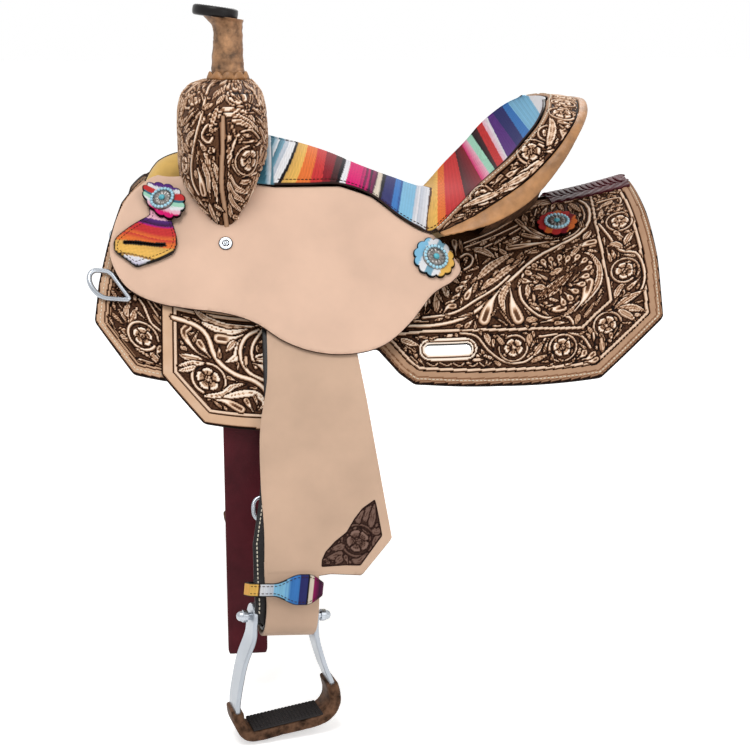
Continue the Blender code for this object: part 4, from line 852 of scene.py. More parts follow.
    def fill(self, region, tries, largest, smallest):
        """Leaves and drops of random kinds in the bare places of a region."""
        pick = np.flatnonzero((region & ~self.busy).ravel())
        if len(pick) == 0:
            return
        flat_a, flat_b = self.a.ravel(), self.b.ravel()
        blocked = (~region | self.busy).ravel()
        for _ in range(tries):
            k = pick[rng.integers(len(pick))]
            if blocked[k]:
                continue
            here = np.array([flat_a[k], flat_b[k]])
            square = (np.abs(flat_a - here[0]) < largest * 2) & (np.abs(flat_b - here[1]) < largest * 2)
            near = np.flatnonzero(square)
            taken = near[blocked[near]]
            away = np.stack([flat_a[taken], flat_b[taken]], -1) - here
            if not len(away):
                continue
            gap = np.hypot(*away.T)
            room = gap.min()
            if room < smallest * 0.45:
                continue
            best, reach = None, 0
            for angle in np.radians(np.arange(0, 360, 30) + rng.uniform(0, 30)):
                way = np.array([math.cos(angle), math.sin(angle)])
                ahead = away @ way
                beside = np.abs(away @ np.array([-way[1], way[0]]))
                hits = ahead[(beside < room * 0.7) & (ahead > 0)]
                free = min(hits.min() if len(hits) else largest, largest)
                if free > reach:
                    best, reach = way, free
            width, light = min(room * 0.66, 0.0038), rng.uniform(TAN - 0.05, CREAM)
            bend = np.array([-best[1], best[0]]) * rng.uniform(-0.45, 0.45) * reach
            tail = here - best * room * 0.8
            line = [tail, here + bend * 0.3, here + best * reach * 0.86 + bend]
            if rng.random() < LEAF_SHARE:
                self.leaf(line, width, 0, 0.45, light=light)
            else:
                self.drop(line, width * 0.95)
            blocked = (~region | self.busy).ravel()

    def draw(self, at, strokes):
        """Strokes given as (kind, width, places that at turns into a line, more settings of the kind)."""
        for kind, width, places, *form in strokes:
            line = at(*places)
            if kind == "bloom":
                self.bloom(line[0], width, BLOOM_TURN)
            elif kind == "ribbed":
                self.leaf(line, width, 9, 0.7)
            else:
                getattr(self, kind)(line, width, *form)

    def ringed_bloom(self, centre, radius, turn, ring, start, sweep, width):
        """A flower with a stem swept round it."""
        self.bloom(centre, radius, turn)
        self.swirl(centre, ring, start, sweep, width)

    def band(self, inside, tone, height):
        self.tone = np.where(inside, tone, self.tone)
        self.height = np.where(inside, height, self.height)
        self.busy = self.busy | inside


def finder(photo, a, b):
    """A function that gives the surface places seen at pixels of the photograph."""

    def at(*pixels):
        found = []
        for pixel in pixels:
            k = np.argmin(((photo - np.array(pixel)) ** 2).sum(-1))
            found.append((a.ravel()[k], b.ravel()[k]))
        return found

    return at


def mm(*points):
    """Points given in millimetres, in metres."""
    return [(a / 1000, b / 1000) for a, b in points]


# Skirts
SKIRT_FRONT_X, SKIRT_REAR_X = -0.318, 0.306


def skirt_outline(inset=0.0):
    """Front edge, cut corner, arched lower edge and rear corner, then the edge along the spine."""
    front, rear = SKIRT_FRONT_X + inset, SKIRT_REAR_X - inset
    low_front, low_rear = 0.090 - inset, 0.096 - inset
    spine = SPINE_HALF_GAP + inset
    edge = [
        (-0.252 + inset, float(h_at(-0.252, spine + 0.012))),
        (-0.272 + inset, -0.165),
        (-0.292 + inset, -0.111),
        (-0.305 + inset, -0.049),
        (front + 0.004, 0.003),
        (front, low_front - 0.042),
        (front + 0.040, low_front),
        (front + 0.075, low_front - 0.004),
        (-0.190, low_front - 0.030),
        (-0.100, 0.036 - inset),
        (-0.016, 0.036 - inset),
        (0.006, 0.064 - inset),
        (0.022, 0.077 - inset),
        (0.115, low_rear - 0.012),
        (rear - 0.082, low_rear),
        (rear - 0.008, low_rear - 0.048),
        (rear - 0.002, -0.028),
        (rear, -0.100),
        (rear - 0.001, float(h_at(rear, spine))),
    ]
    spine_edge = [
        (x, float(h_at(x, spine + (0.012 if x < -0.21 else 0.0))))
        for x in (0.26, 0.21, 0.16, 0.11, 0.06, 0.01, -0.04, -0.09, -0.14, -0.19, -0.23)
    ]
    return np.concatenate([rounded(edge, 0.003), spine_edge])


SKIRT = skirt_outline()
SLOT_AT, SLOT_SIZE = (0.061, 0.039), (0.052, 0.013)
BAND_WIDTH = 0.0145
# Lines along an edge: from where to where beside it, how light and how high
FRAME_LINES = ((0.0, 0.0016, TAN + 0.1, LIFT), (0.0016, 0.0028, BLACK, -LIFT))
SLOT_LINES = ((-1, 0.0025, CREAM, LIFT), (0.0025, 0.0038, BLACK, -LIFT), (0.0038, 0.0062, CREAM, LIFT),
              (0.0062, 0.0074, BLACK, -LIFT))
REAR_FRAME = mm((254, -230), (254, -166), (246, -100), (244, -39), (245, 10), (226, 22), (210, 34),
                (164, 25), (98, 18), (42, 17), (15, 19), (-10, 19), (-60, -30), (-60, -230))
REAR_FLOWERS = mm((273, -94), (265, -22), (237, 38), (186, 52), (133, 43))
CONCHO_AT = mm((204, -118))[0]
# In pixels of the photograph, their widths in metres, as Canvas.draw says
REAR_STROKES = (
    ("stem", 0.0020, ((408, 326), (435, 325), (463, 318), (484, 305), (500, 290), (517, 274), (537, 257),
                      (558, 246), (578, 235), (589, 222), (588, 207), (580, 201))),
    ("stem", 0.0015, ((423, 318), (454, 313), (476, 300), (495, 288), (509, 276))),
    ("stem", 0.0015, ((539, 262), (526, 270), (520, 285), (522, 299), (532, 311), (546, 318), (567, 317),
                      (574, 324))),
    ("leaf", 0.0042, ((563, 316), (583, 302), (597, 285), (599, 268), (591, 255), (582, 252))),
    ("drop", 0.0056, ((574, 311), (584, 298), (589, 282))),
    ("drop", 0.0036, ((559, 241), (532, 244), (508, 248))),
    ("drop", 0.0030, ((558, 239), (539, 238), (523, 235))),
    ("drop", 0.0024, ((558, 238), (543, 235), (528, 228))),
    ("leaf", 0.0046, ((472, 250), (482, 251), (495, 258))),
    ("ribbed", 0.0046, ((478, 279), (491, 266), (513, 253))),
    ("ribbed", 0.0044, ((481, 289), (502, 273), (526, 256))),
    ("drop", 0.0064, ((501, 288), (491, 303), (484, 320))),
    ("ribbed", 0.0042, ((510, 283), (502, 298), (506, 314))),
    ("drop", 0.0064, ((510, 288), (513, 305), (518, 319))),
    ("leaf", 0.0066, ((537, 299), (556, 286), (574, 271))),
    ("leaf", 0.0034, ((545, 288), (539, 287), (534, 290))),
    ("leaf", 0.0034, ((546, 290), (543, 294), (537, 298))),
    ("drop", 0.0044, ((543, 306), (554, 309), (563, 308))),
    ("stem", 0.0013, ((460, 257), (467, 254), (473, 258), (471, 265), (464, 270))),
    ("drop", 0.0028, ((472, 274), (470, 276), (467, 278))),
    ("drop", 0.0028, ((469, 279), (465, 282), (461, 284))),
    ("drop", 0.0028, ((466, 285), (461, 287), (458, 290))),
    ("drop", 0.0028, ((461, 291), (458, 295), (454, 298))),
    ("drop", 0.0028, ((457, 298), (453, 301), (448, 304))),
    ("drop", 0.0034, ((443, 313), (448, 307), (454, 306))),
    ("drop", 0.0044, ((575, 251), (584, 245), (594, 242))),
    ("leaf", 0.0030, ((571, 256), (576, 250), (582, 244))),
    ("stem", 0.0009, ((460, 249), (491, 238), (519, 225))),
    ("stem", 0.0009, ((463, 244), (495, 231), (521, 215))),
    ("stem", 0.0009, ((484, 248), (506, 237), (526, 225))),
    ("drop", 0.0030, ((543, 238), (528, 231), (517, 220))),
    ("stem", 0.0010, ((534, 216), (539, 205), (552, 201), (567, 200))),
    ("stem", 0.0010, ((563, 240), (578, 231), (584, 216), (580, 205))),
    ("stem", 0.0015, ((599, 224), (609, 236), (620, 250), (636, 253), (644, 270), (642, 288), (630, 301),
                      (615, 308))),
    ("stem", 0.0012, ((597, 203), (607, 200), (619, 198), (620, 204), (609, 208))),
    ("leaf", 0.0036, ((622, 248), (615, 244), (607, 247))),
    ("leaf", 0.0040, ((625, 244), (630, 235), (634, 231))),
    ("leaf", 0.0034, ((615, 298), (620, 288), (626, 283))),
    ("leaf", 0.0040, ((615, 308), (628, 299), (644, 290))),
    ("leaf", 0.0044, ((618, 308), (633, 308), (645, 311))),
    ("leaf", 0.0036, ((619, 310), (629, 316), (636, 321))),
    ("stem", 0.0013, ((460, 333), (476, 336), (489, 351), (506, 362), (526, 361), (539, 348), (545, 337))),
    ("stem", 0.0013, ((539, 336), (565, 334), (582, 336), (591, 348))),
    ("leaf", 0.0034, ((534, 355), (538, 348), (543, 342))),
    ("leaf", 0.0032, ((485, 333), (488, 339), (491, 346))),
    ("drop", 0.0034, ((578, 359), (583, 355), (585, 352))),
    ("drop", 0.0034, ((582, 360), (588, 358), (593, 354))),
    ("drop", 0.0030, ((585, 362), (593, 361), (596, 359))),
    ("stem", 0.0008, ((427, 363), (434, 366), (439, 363))),
    ("stem", 0.0008, ((440, 363), (447, 366), (452, 363))),
    ("stem", 0.0008, ((453, 363), (460, 366), (465, 363))),
    ("stem", 0.0008, ((466, 363), (472, 366), (478, 363))),
    ("stem", 0.0008, ((479, 363), (485, 366), (491, 363))),
)
REAR_POD = ((537, 299), (556, 286), (574, 271))
REAR_PETALS = ((528, 281), (531, 274), (537, 268), (544, 264), (551, 262), (559, 260), (567, 261),
               (576, 259), (583, 262), (586, 269), (583, 277), (579, 284), (573, 290), (568, 296), (562, 300))


def slot_distance(x, h):
    """How far a point is outside the strap slot (negative inside it)."""
    half = (SLOT_SIZE[0] - SLOT_SIZE[1]) / 2
    beside = np.maximum(np.abs(x - SLOT_AT[0]) - half, 0)
    return np.hypot(beside, h - SLOT_AT[1]) - SLOT_SIZE[1] / 2


def edge_bands(canvas, edge, band=BAND_WIDTH, bead=0.0034, tone=BROWN + 0.16):
    """The dark cut rim, the plain tan band, a cut line, a raised bead and one more cut line."""
    canvas.band(edge < band, tone, LIFT)
    if tone < TAN:
        for line in (0.0031, 0.0075):
            canvas.band(np.abs(edge - line) < 0.0006, BROWN - 0.08, LIFT * 0.6)
    canvas.band(edge < 0.0016, BLACK, 0.0)
    canvas.band((edge > band) & (edge < band + 0.0014), BLACK, -LIFT)
    start = band + 0.0014
    canvas.band((edge > start) & (edge < start + bead), TAN + 0.08, LIFT)
    canvas.band((edge > start + bead) & (edge < start + bead + 0.0012), BLACK, -LIFT)


def ring_lines(canvas, away, lines):
    """Lines beside an edge."""
    for start, end, tone, height in lines:
        canvas.band((away > start) & (away < end), tone, height)


def carve_rear(patch):
    """The rear skirt: a border, a frame line, the slot, the strokes of the photograph and small leaves."""
    canvas = Canvas(patch.x, patch.h)
    x, h = patch.x, patch.h
    inner = to_outline(x, h, REAR_FRAME)[0]
    edge_bands(canvas, patch.edge)
    frame_line = np.abs(inner)
    lower = (h > -0.175) & (patch.edge > BAND_WIDTH)
    ring_lines(canvas, np.where(lower, frame_line, 1), FRAME_LINES)
    slot = slot_distance(x, h)
    ring_lines(canvas, slot, SLOT_LINES)
    photo = in_photo(on_back(x, h, np.full(x.shape, SKIRT_LEATHER), -1))
    at = finder(photo, x, h)
    canvas.draw(at, REAR_STROKES)
    pod_line = at(*REAR_POD)
    near, away, _ = canvas.measure(curve(pod_line, 12), 0.009)
    pod = np.zeros(x.shape, bool)
    pod[near] = away < 0.0055
    canvas.hatch(pod & (canvas.tone > 0.3))
    petals = at(*REAR_PETALS)
    middle = np.array(pod_line).mean(0)
    for petal in petals:
        way = unit(np.array(petal) - middle)
        canvas.drop([np.array(petal) - way * 0.0055, petal, np.array(petal) + way * 0.0045], 0.0033)
    concho = np.hypot(x - CONCHO_AT[0], h - CONCHO_AT[1])
    canvas.band(concho < 0.017, BLACK, -LIFT)
    for k, centre in enumerate(REAR_FLOWERS):
        canvas.ringed_bloom(centre, 0.0102, 0.5 * k, 0.0142, 60 * k, 310, 0.0012)
    border = (inner < -0.003) & (patch.edge > BAND_WIDTH + 0.006) & (x > -0.02)
    field = (inner > 0.003) & (slot > 0.008) & (concho > 0.018)
    visible = (x > 0.000) & ((h > -0.105) | (x > 0.155))
    canvas.fill(border & visible, 900, 0.017, 0.0028)
    canvas.fill(field & visible, 900, 0.022, 0.0032)
    return canvas


# In pixels of the photograph
FRONT_STROKES = (
    ("bloom", 0.0100, ((143, 336),)),
    ("stem", 0.0015, ((139, 299), (144, 306), (147, 314), (152, 323), (160, 331))),
    ("stem", 0.0011, ((147, 299), (152, 308), (158, 316), (161, 321))),
    ("stem", 0.0009, ((152, 300), (156, 306), (162, 311))),
    ("leaf", 0.0030, ((128, 322), (123, 314), (118, 310))),
    ("leaf", 0.0034, ((128, 324), (133, 317), (137, 307))),
    ("leaf", 0.0026, ((128, 318), (126, 311), (130, 301))),
    ("leaf", 0.0026, ((128, 336), (123, 329), (119, 328))),
    ("leaf", 0.0024, ((130, 341), (123, 337), (120, 331))),
    ("leaf", 0.0036, ((159, 362), (154, 357), (151, 351))),
    ("drop", 0.0030, ((159, 357), (157, 353), (160, 348))),
    ("stem", 0.0011, ((117, 288), (123, 290), (130, 292))),
    ("leaf", 0.0024, ((119, 289), (124, 293), (131, 299))),
)


def carve_front(patch):
    """The front skirt: a stitched border, an inner frame line and flowers."""
    canvas = Canvas(patch.x, patch.h)
    x, h, edge = patch.x, patch.h, patch.edge
    canvas.band(edge < 0.0150, TAN - 0.06, LIFT * 0.6)
    canvas.band(edge < 0.0018, BLACK, 0.0)
    ring_lines(canvas, edge, ((0.0092, 0.0104, BLACK, 0.0), (0.0128, 0.0142, BLACK, -LIFT)))
    photo = in_photo(on_back(x, h, np.full(x.shape, SKIRT_LEATHER), -1))
    at = finder(photo, x, h)
    canvas.draw(at, FRONT_STROKES)
    canvas.swirl(at((143, 336))[0], 0.0142, 30, 330, 0.0016)
    for k, centre in enumerate(mm((-272, -82), (-284, -36))):
        canvas.ringed_bloom(centre, 0.0098, 0.7 * k, 0.0135, 70 * k, 300, 0.0014)
    canvas.fill((edge > 0.0150) & (x < -0.205), 400, 0.020, 0.0040)
    return canvas


def cut_slot(patch):
    """Opens the strap slot in a patch, its rim points pulled onto it."""
    away = slot_distance(patch.x, patch.h)
    step = abs(patch.h[0, 2] - patch.h[0, 1])
    half = (SLOT_SIZE[0] - SLOT_SIZE[1]) / 2
    near = np.abs(away) <= 0.55 * step
    core_x = SLOT_AT[0] + clamp(patch.x - SLOT_AT[0], -half, half)
    dx, dh = patch.x - core_x, patch.h - SLOT_AT[1]
    size = np.hypot(dx, dh) + 1e-9
    radius = SLOT_SIZE[1] / 2
    patch.x = np.where(near, core_x + dx / size * radius, patch.x)
    patch.h = np.where(near, SLOT_AT[1] + dh / size * radius, patch.h)
    patch.drop(away < -0.55 * step)


def skirt_seam(inset, start, done):
    """The seam inside the skirt's edge, from the place nearest to start up to where done is true."""
    line = inset_line(SKIRT, inset)
    line = np.roll(line, -np.argmin(np.hypot(*(line - start).T)), axis=0)
    return line[: np.argmax(done(line[:, 0], line[:, 1]))]


def make_skirts():
    """Each skirt is carved at its rear and its front, and plain where other leather covers it."""
    rear = Patch(SKIRT, CARVE_STEP, ((-0.030, -1), (1, 1)))
    front = Patch(SKIRT, CARVE_STEP, ((-1, -1), (-0.190, 1)))
    middle = Patch(SKIRT, 0.006, ((-0.196, -1), (-0.024, 1)))
    cut_slot(rear)
    carved = {"rear": (rear, carve_rear(rear)), "front": (front, carve_front(front))}
    spine_h = float(h_at(SKIRT_REAR_X, SPINE_HALF_GAP))
    rear_seam = skirt_seam(0.0052, (0.012, 0.07), lambda x, h: (x > 0.25) & (h < spine_h + 0.02))
    front_seam = skirt_seam(0.0055, (-0.272, -0.165), lambda x, h: (x > -0.20) & (h > 0.03))
    for word, side in SIDES:
        for part, (patch, canvas) in carved.items():
            obj = leather_sheet(
                f"skirt_{part}_{word}", patch, on_back, 0.0, SKIRT_LEATHER, TOOLED,
                side, relief=canvas.height, tone=canvas.tone, with_under=False,
            )
            declare(obj, "saddle", [f"skirt_{word}"])
        tone = np.full(middle.x.shape, BROWN)
        obj = leather_sheet(
            f"skirt_middle_{word}", middle, on_back, 0.0, SKIRT_LEATHER, TOOLED,
            side, relief=np.zeros(tone.shape), tone=tone,
        )
        declare(obj, "saddle", [])
        for part, line, lift in (("rear", rear_seam, LIFT), ("front", front_seam, LIFT * 0.6)):
            stitch_edge(f"skirt_stitches_{part}_{word}", line, on_back, SKIRT_LEATHER, lift, side, "thread")


def make_fleece():
    """The wool lining, thick and lumpy below, its edge soft."""
    outline = skirt_outline(0.004)
    patch = Patch(outline, 0.0036)
    low, high = -LAYER_GAP - GAP - FLEECE, -LAYER_GAP - GAP
    waves = np.zeros(patch.x.shape)
    for _ in range(10):
        a, size = rng.uniform(0, 2 * math.pi), rng.uniform(0.006, 0.022)
        phase = 2 * math.pi * (patch.x * math.cos(a) + patch.h * math.sin(a)) / size
        waves += np.sin(phase + rng.uniform(0, 6)) * size / 0.022
    waves = waves * 0.0004
    waves += rng.standard_normal(waves.shape) * 0.0005
    round_in = 0.0075 * (1 - np.sqrt(1 - (1 - clamp(patch.edge / 0.010)) ** 2))
    away = slot_distance(patch.x, patch.h)
    beside_slot = (np.abs(patch.x - SLOT_AT[0]) < 0.026) & (np.abs(patch.h - SLOT_AT[1]) < 0.017)
    patch.drop((away < -0.001) | beside_slot)
    for word, side in SIDES:
        top = on_back(patch.x, patch.h, np.full(waves.shape, high), side).reshape(-1, 3)
        under = on_back(patch.x, patch.h, low + 0.0016 + waves + round_in, side).reshape(-1, 3)
        faces = patch.faces if side > 0 else turned_over(patch.faces)
        obj = thick_sheet(f"fleece_{word}", top, under, faces, ("fleece",))
        declare(obj, "saddle", [f"fleece_lining_{word}"])


# Rigging leather
RIGGING = rounded(
    [(-0.249, -0.012), (-0.249, 0.082), (-0.205, 0.126), (-0.085, 0.127), (-0.040, 0.082), (-0.040, -0.012)],
    0.003
)
RIGGING_BAND = 0.0120


RIGGING_BLOOM = (-0.200, 0.076)
# In millimetres along and below the knee of the back
RIGGING_STROKES = (
    ("drop", 0.0040, ((-200, 52), (-212, 47), (-222, 36), (-225, 27), (-220, 21))),
    ("drop", 0.0042, ((-197, 51), (-204, 43), (-209, 36))),
    ("leaf", 0.0048, ((-205, 57), (-216, 56), (-230, 55)), 0, 0.45),
    ("leaf", 0.0030, ((-203, 59), (-216, 61), (-232, 68)), 0, 0.3),
    ("leaf", 0.0030, ((-213, 64), (-221, 69), (-231, 73)), 0, 0.3),
    ("leaf", 0.0036, ((-205, 96), (-185, 91), (-175, 81), (-160, 76)), 0, 0.3),
    ("drop", 0.0045, ((-201, 99), (-183, 98), (-166, 105))),
    ("leaf", 0.0040, ((-185, 94), (-161, 87), (-148, 88), (-141, 98), (-149, 105)), 0, 0.2),
    ("leaf", 0.0045, ((-214, -1), (-200, 8), (-179, 13), (-150, 10)), 6),
    ("leaf", 0.0036, ((-207, 12), (-192, 17), (-176, 19), (-156, 13)), 0, 0.2),
    ("drop", 0.0058, ((-161, 20), (-176, 27), (-188, 28))),
    ("leaf", 0.0048, ((-160, 22), (-166, 36), (-170, 47), (-182, 54)), 0, 0.2),
    ("leaf", 0.0034, ((-170, 28), (-175, 34), (-180, 42)), 0, 0.5),
    ("stem", 0.0022, ((-138, 11), (-157, 21), (-165, 37), (-163, 53), (-154, 65), (-133, 74))),
    ("stem", 0.0018, ((-141, 14), (-151, 30), (-153, 43), (-149, 57))),
    ("leaf", 0.0038, ((-150, 45), (-140, 44), (-132, 36)), 0, 0.2),
    ("leaf", 0.0030, ((-149, 48), (-138, 49), (-127, 54)), 0, 0.2),
    ("drop", 0.0048, ((-152, 52), (-142, 56), (-135, 62))),
    ("stem", 0.0029, ((-236, 14), (-216, 16), (-204, 22), (-198, 32), (-194, 45), (-186, 57), (-170, 67),
                      (-152, 72), (-140, 82), (-134, 96)), 0.0026),
)


def carve_rigging(patch):
    """The rigging leather's tooling: lines along its edge, stems, flowers and leaves."""
    canvas = Canvas(patch.x, patch.h)
    edge_bands(canvas, patch.edge, RIGGING_BAND, 0.0036, TAN)
    canvas.ringed_bloom(RIGGING_BLOOM, 0.0125, BLOOM_TURN, 0.0165, 110, 330, 0.0017)
    canvas.draw(mm, RIGGING_STROKES)
    inside = (patch.edge > RIGGING_BAND + 0.0065) & (patch.x < -0.10)
    canvas.fill(inside, 300, 0.014, 0.0042)
    return canvas


def make_rigging():
    """The tooled rigging leathers, stitched along their edges."""
    patch = Patch(RIGGING, CARVE_STEP)
    canvas = carve_rigging(patch)
    for word, side in SIDES:
        obj = leather_sheet(
            f"rigging_tooled_{word}", patch, on_back, SKIRT_TOP, RIGGING_TOP - 0.0004,
            TOOLED, side, round_off=0.001, relief=canvas.height, tone=canvas.tone,
            with_under=False,
        )
        declare(obj, "saddle", [f"rigging_leather_{word}"])


# Jockeys
SEAM_X = (-0.1225, -0.088, -0.050, -0.015, 0.015, 0.035, 0.050)
SEAM_GAP = 0.0012
JOCKEY_LOWER = mm(
    (-252, -172), (-262, -161), (-279, -126), (-290, -97), (-298, -66), (-302, -36), (-297, -17), (-286, -3),
    (-272, 1), (-248, -3), (-224, -6), (-183, -1), (-149, 11), (-118, 33), (-85, 46), (-48, 49), (-12, 40),
    (18, 15), (45, -18), (70, -36), (81, -54), (66, -76)
)


def seam_h(x):
    """Where the seam between seat and jockey lies."""
    return -0.150 + 0.058 * smooth_step(x, -0.045, 0.050)


def jockey_outline():
    """The jockey's outline, from its lower edge up to the seam beside the seat."""
    upper = [(x, float(seam_h(x)) + SEAM_GAP) for x in reversed(SEAM_X)]
    return np.concatenate([spline_at(JOCKEY_LOWER, np.linspace(0, 1, 120)), upper,
                           [(-0.160, -0.155), (-0.215, -0.165)]])


# The swell's section at each height: (z, half its width, x of its front and of its rear, the power
# that squares its corners)
SWELL_LEVELS = np.array((
    (-0.030, 0.118, -0.200, -0.152, 2.6),
    (0.000, 0.121, -0.202, -0.151, 2.6),
    (0.016, 0.1275, -0.205, -0.150, 2.5),
    (0.030, 0.134, -0.212, -0.147, 2.5),
    (0.045, 0.140, -0.220, -0.142, 2.6),
    (0.060, 0.1445, -0.2265, -0.137, 2.8),
    (0.080, 0.148, -0.229, -0.131, 3.0),
    (0.105, 0.149, -0.229, -0.1275, 3.2),
    (0.130, 0.142, -0.229, -0.128, 3.2),
    (0.150, 0.126, -0.227, -0.130, 3.0),
    (0.163, 0.100, -0.221, -0.134, 2.8),
    (0.170, 0.072, -0.212, -0.139, 2.6),
    (0.1740, 0.042, -0.200, -0.143, 2.4),
))
COVER_TOP_Z, SWELL_FOOT_Z = 0.1740, -0.030
GULLET_HALF_WIDTH, GULLET_TOP_Z = 0.088, 0.100


def swell_inside(points):
    """Below 1 where points are inside the swell's section at their height."""
    z = clamp(points[..., 2], SWELL_FOOT_Z, COVER_TOP_Z)
    half, front, rear, power = (np.interp(z, SWELL_LEVELS[:, 0], SWELL_LEVELS[:, k]) for k in range(1, 5))
    middle, length = (front + rear) / 2, (rear - front) / 2
    across = np.abs(points[..., 1]) / half
    return (np.abs(points[..., 0] - middle) / length) ** power + across**power


def make_jockeys():
    """The rough-out jockeys, open where the swell stands."""
    patch = Patch(jockey_outline(), 0.0022)
    top = on_jockey(patch.x, patch.h, np.full(patch.x.shape, JOCKEY_LEATHER), 1)
    patch.drop(swell_inside(top) < 0.72)
    for word, side in SIDES:
        obj = leather_sheet(
            f"seat_jockey_hide_{word}", patch, on_jockey, 0.0, JOCKEY_LEATHER, ROUGH_OUT, side,
        )
        declare(obj, "saddle", [f"seat_jockey_{word}"])


# Swell
SWELL_ROWS, SWELL_COLUMNS = ((150, 236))
SWELL_TOP_ROWS = 16


def arch_half(z):
    """Half the gullet's width at a height, 0 above it."""
    rise = clamp((z - SWELL_FOOT_Z) / (GULLET_TOP_Z - SWELL_FOOT_Z))
    return GULLET_HALF_WIDTH * np.sqrt(1 - rise ** 2.5)


def level_of(z):
    """The swell's section at a height, smoothed between the levels."""
    levels = SWELL_LEVELS[:, 0]
    i = np.clip(np.searchsorted(levels, z, side="right") - 1, 0, len(levels) - 2)
    low, high = levels[i], levels[i + 1]
    t = ((z - low) / (high - low))[:, None]
    slope = np.gradient(SWELL_LEVELS[:, 1:], levels, axis=0)
    a, b = SWELL_LEVELS[i, 1:], SWELL_LEVELS[i + 1, 1:]
    size = (high - low)[:, None]
    return (
        (2 * t**3 - 3 * t**2 + 1) * a + (t**3 - 2 * t**2 + t) * size * slope[i]
        + (-2 * t**3 + 3 * t**2) * b + (t**3 - t**2) * size * slope[i + 1]
    )


def swell_grid():
    """(points, arc length from the side's middle, height along the surface) of the left half."""
    heights = np.linspace(SWELL_FOOT_Z, COVER_TOP_Z, SWELL_ROWS)
    sections = level_of(heights)
    rows = []
    for z, (half, front, rear, power) in zip(heights, sections):
        lowest = math.asin(min((arch_half(z) / half) ** (power / 2), 1.0))
        a = np.linspace(math.pi + lowest, 2 * math.pi - lowest, 400)
        middle, length = (front + rear) / 2, (rear - front) / 2
        c, s = np.cos(a), np.sin(a)
        x = middle + length * np.sign(c) * np.abs(c) ** (2 / power)
        y = -half * np.abs(s) ** (2 / power)
        rows.append(evenly(np.stack([x, y, np.full(400, z)], -1), SWELL_COLUMNS))
    top = rows[-1]
    for k in range(1, SWELL_TOP_ROWS + 1):
        share = k / SWELL_TOP_ROWS
        ring = top.copy()
        ring[:, 0] = HORN_X + (top[:, 0] - HORN_X) * (1 - share)
        ring[:, 1] = top[:, 1] * (1 - share)
        rows.append(ring)
    return np.array(rows)


# In pixels of the photograph
SWELL_WELT = ((223, 118), (222, 150), (222, 175), (224, 205), (227, 228))
SWELL_STROKES = (
    ("stem", 0.0015, ((212, 84), (203, 107), (197, 130), (193, 153), (192, 176), (199, 194))),
    ("bloom", 0.0090, ((193, 101),)),
    ("bloom", 0.0085, ((185, 164),)),
    ("bloom", 0.0110, ((239, 98),)),
    ("bloom", 0.0115, ((249, 160),)),
    ("leaf", 0.0030, ((201, 81), (191, 89), (184, 96))),
    ("leaf", 0.0026, ((191, 115), (187, 124), (184, 134))),
    ("leaf", 0.0026, ((194, 130), (187, 140), (189, 147))),
    ("leaf", 0.0024, ((182, 107), (180, 119), (181, 130))),
    ("stem", 0.0010, ((203, 99), (199, 92), (189, 92), (184, 101), (182, 115))),
    ("leaf", 0.0032, ((213, 99), (222, 90), (237, 84))),
    ("leaf", 0.0030, ((217, 104), (226, 96), (235, 92))),
    ("leaf", 0.0028, ((220, 84), (230, 81), (245, 83))),
    ("leaf", 0.0032, ((209, 115), (226, 110), (245, 113), (258, 126))),
    ("leaf", 0.0028, ((210, 119), (230, 115), (249, 122), (262, 138))),
    ("leaf", 0.0026, ((249, 86), (257, 98), (262, 115))),
    ("leaf", 0.0024, ((245, 85), (253, 90), (258, 101))),
    ("leaf", 0.0032, ((230, 122), (241, 122), (253, 128))),
    ("stem", 0.0014, ((216, 124), (207, 125), (202, 136), (208, 143), (213, 137))),
    ("bloom", 0.0038, ((211, 150),)),
    ("stem", 0.0016, ((239, 134), (232, 148), (233, 165), (243, 175), (256, 172))),
    ("stem", 0.0012, ((241, 132), (251, 130), (259, 138))),
    ("leaf", 0.0032, ((229, 172), (235, 187), (247, 192), (258, 188))),
    ("leaf", 0.0032, ((228, 180), (234, 195), (246, 203))),
    ("leaf", 0.0028, ((229, 191), (234, 205), (243, 212))),
    ("leaf", 0.0024, ((229, 203), (231, 214), (236, 222))),
    ("drop", 0.0040, ((197, 165), (201, 180), (204, 193))),
    ("leaf", 0.0032, ((204, 151), (210, 168), (215, 186), (218, 205))),
    ("leaf", 0.0028, ((201, 159), (208, 178), (210, 199))),
    ("leaf", 0.0026, ((212, 161), (217, 172), (220, 189))),
    ("bloom", 0.0038, ((216, 219),)),
    ("leaf", 0.0024, ((209, 203), (212, 212), (218, 224))),
    ("leaf", 0.0026, ((228, 145), (230, 159), (229, 170))),
    ("leaf", 0.0024, ((218, 107), (212, 122), (209, 134))),
)


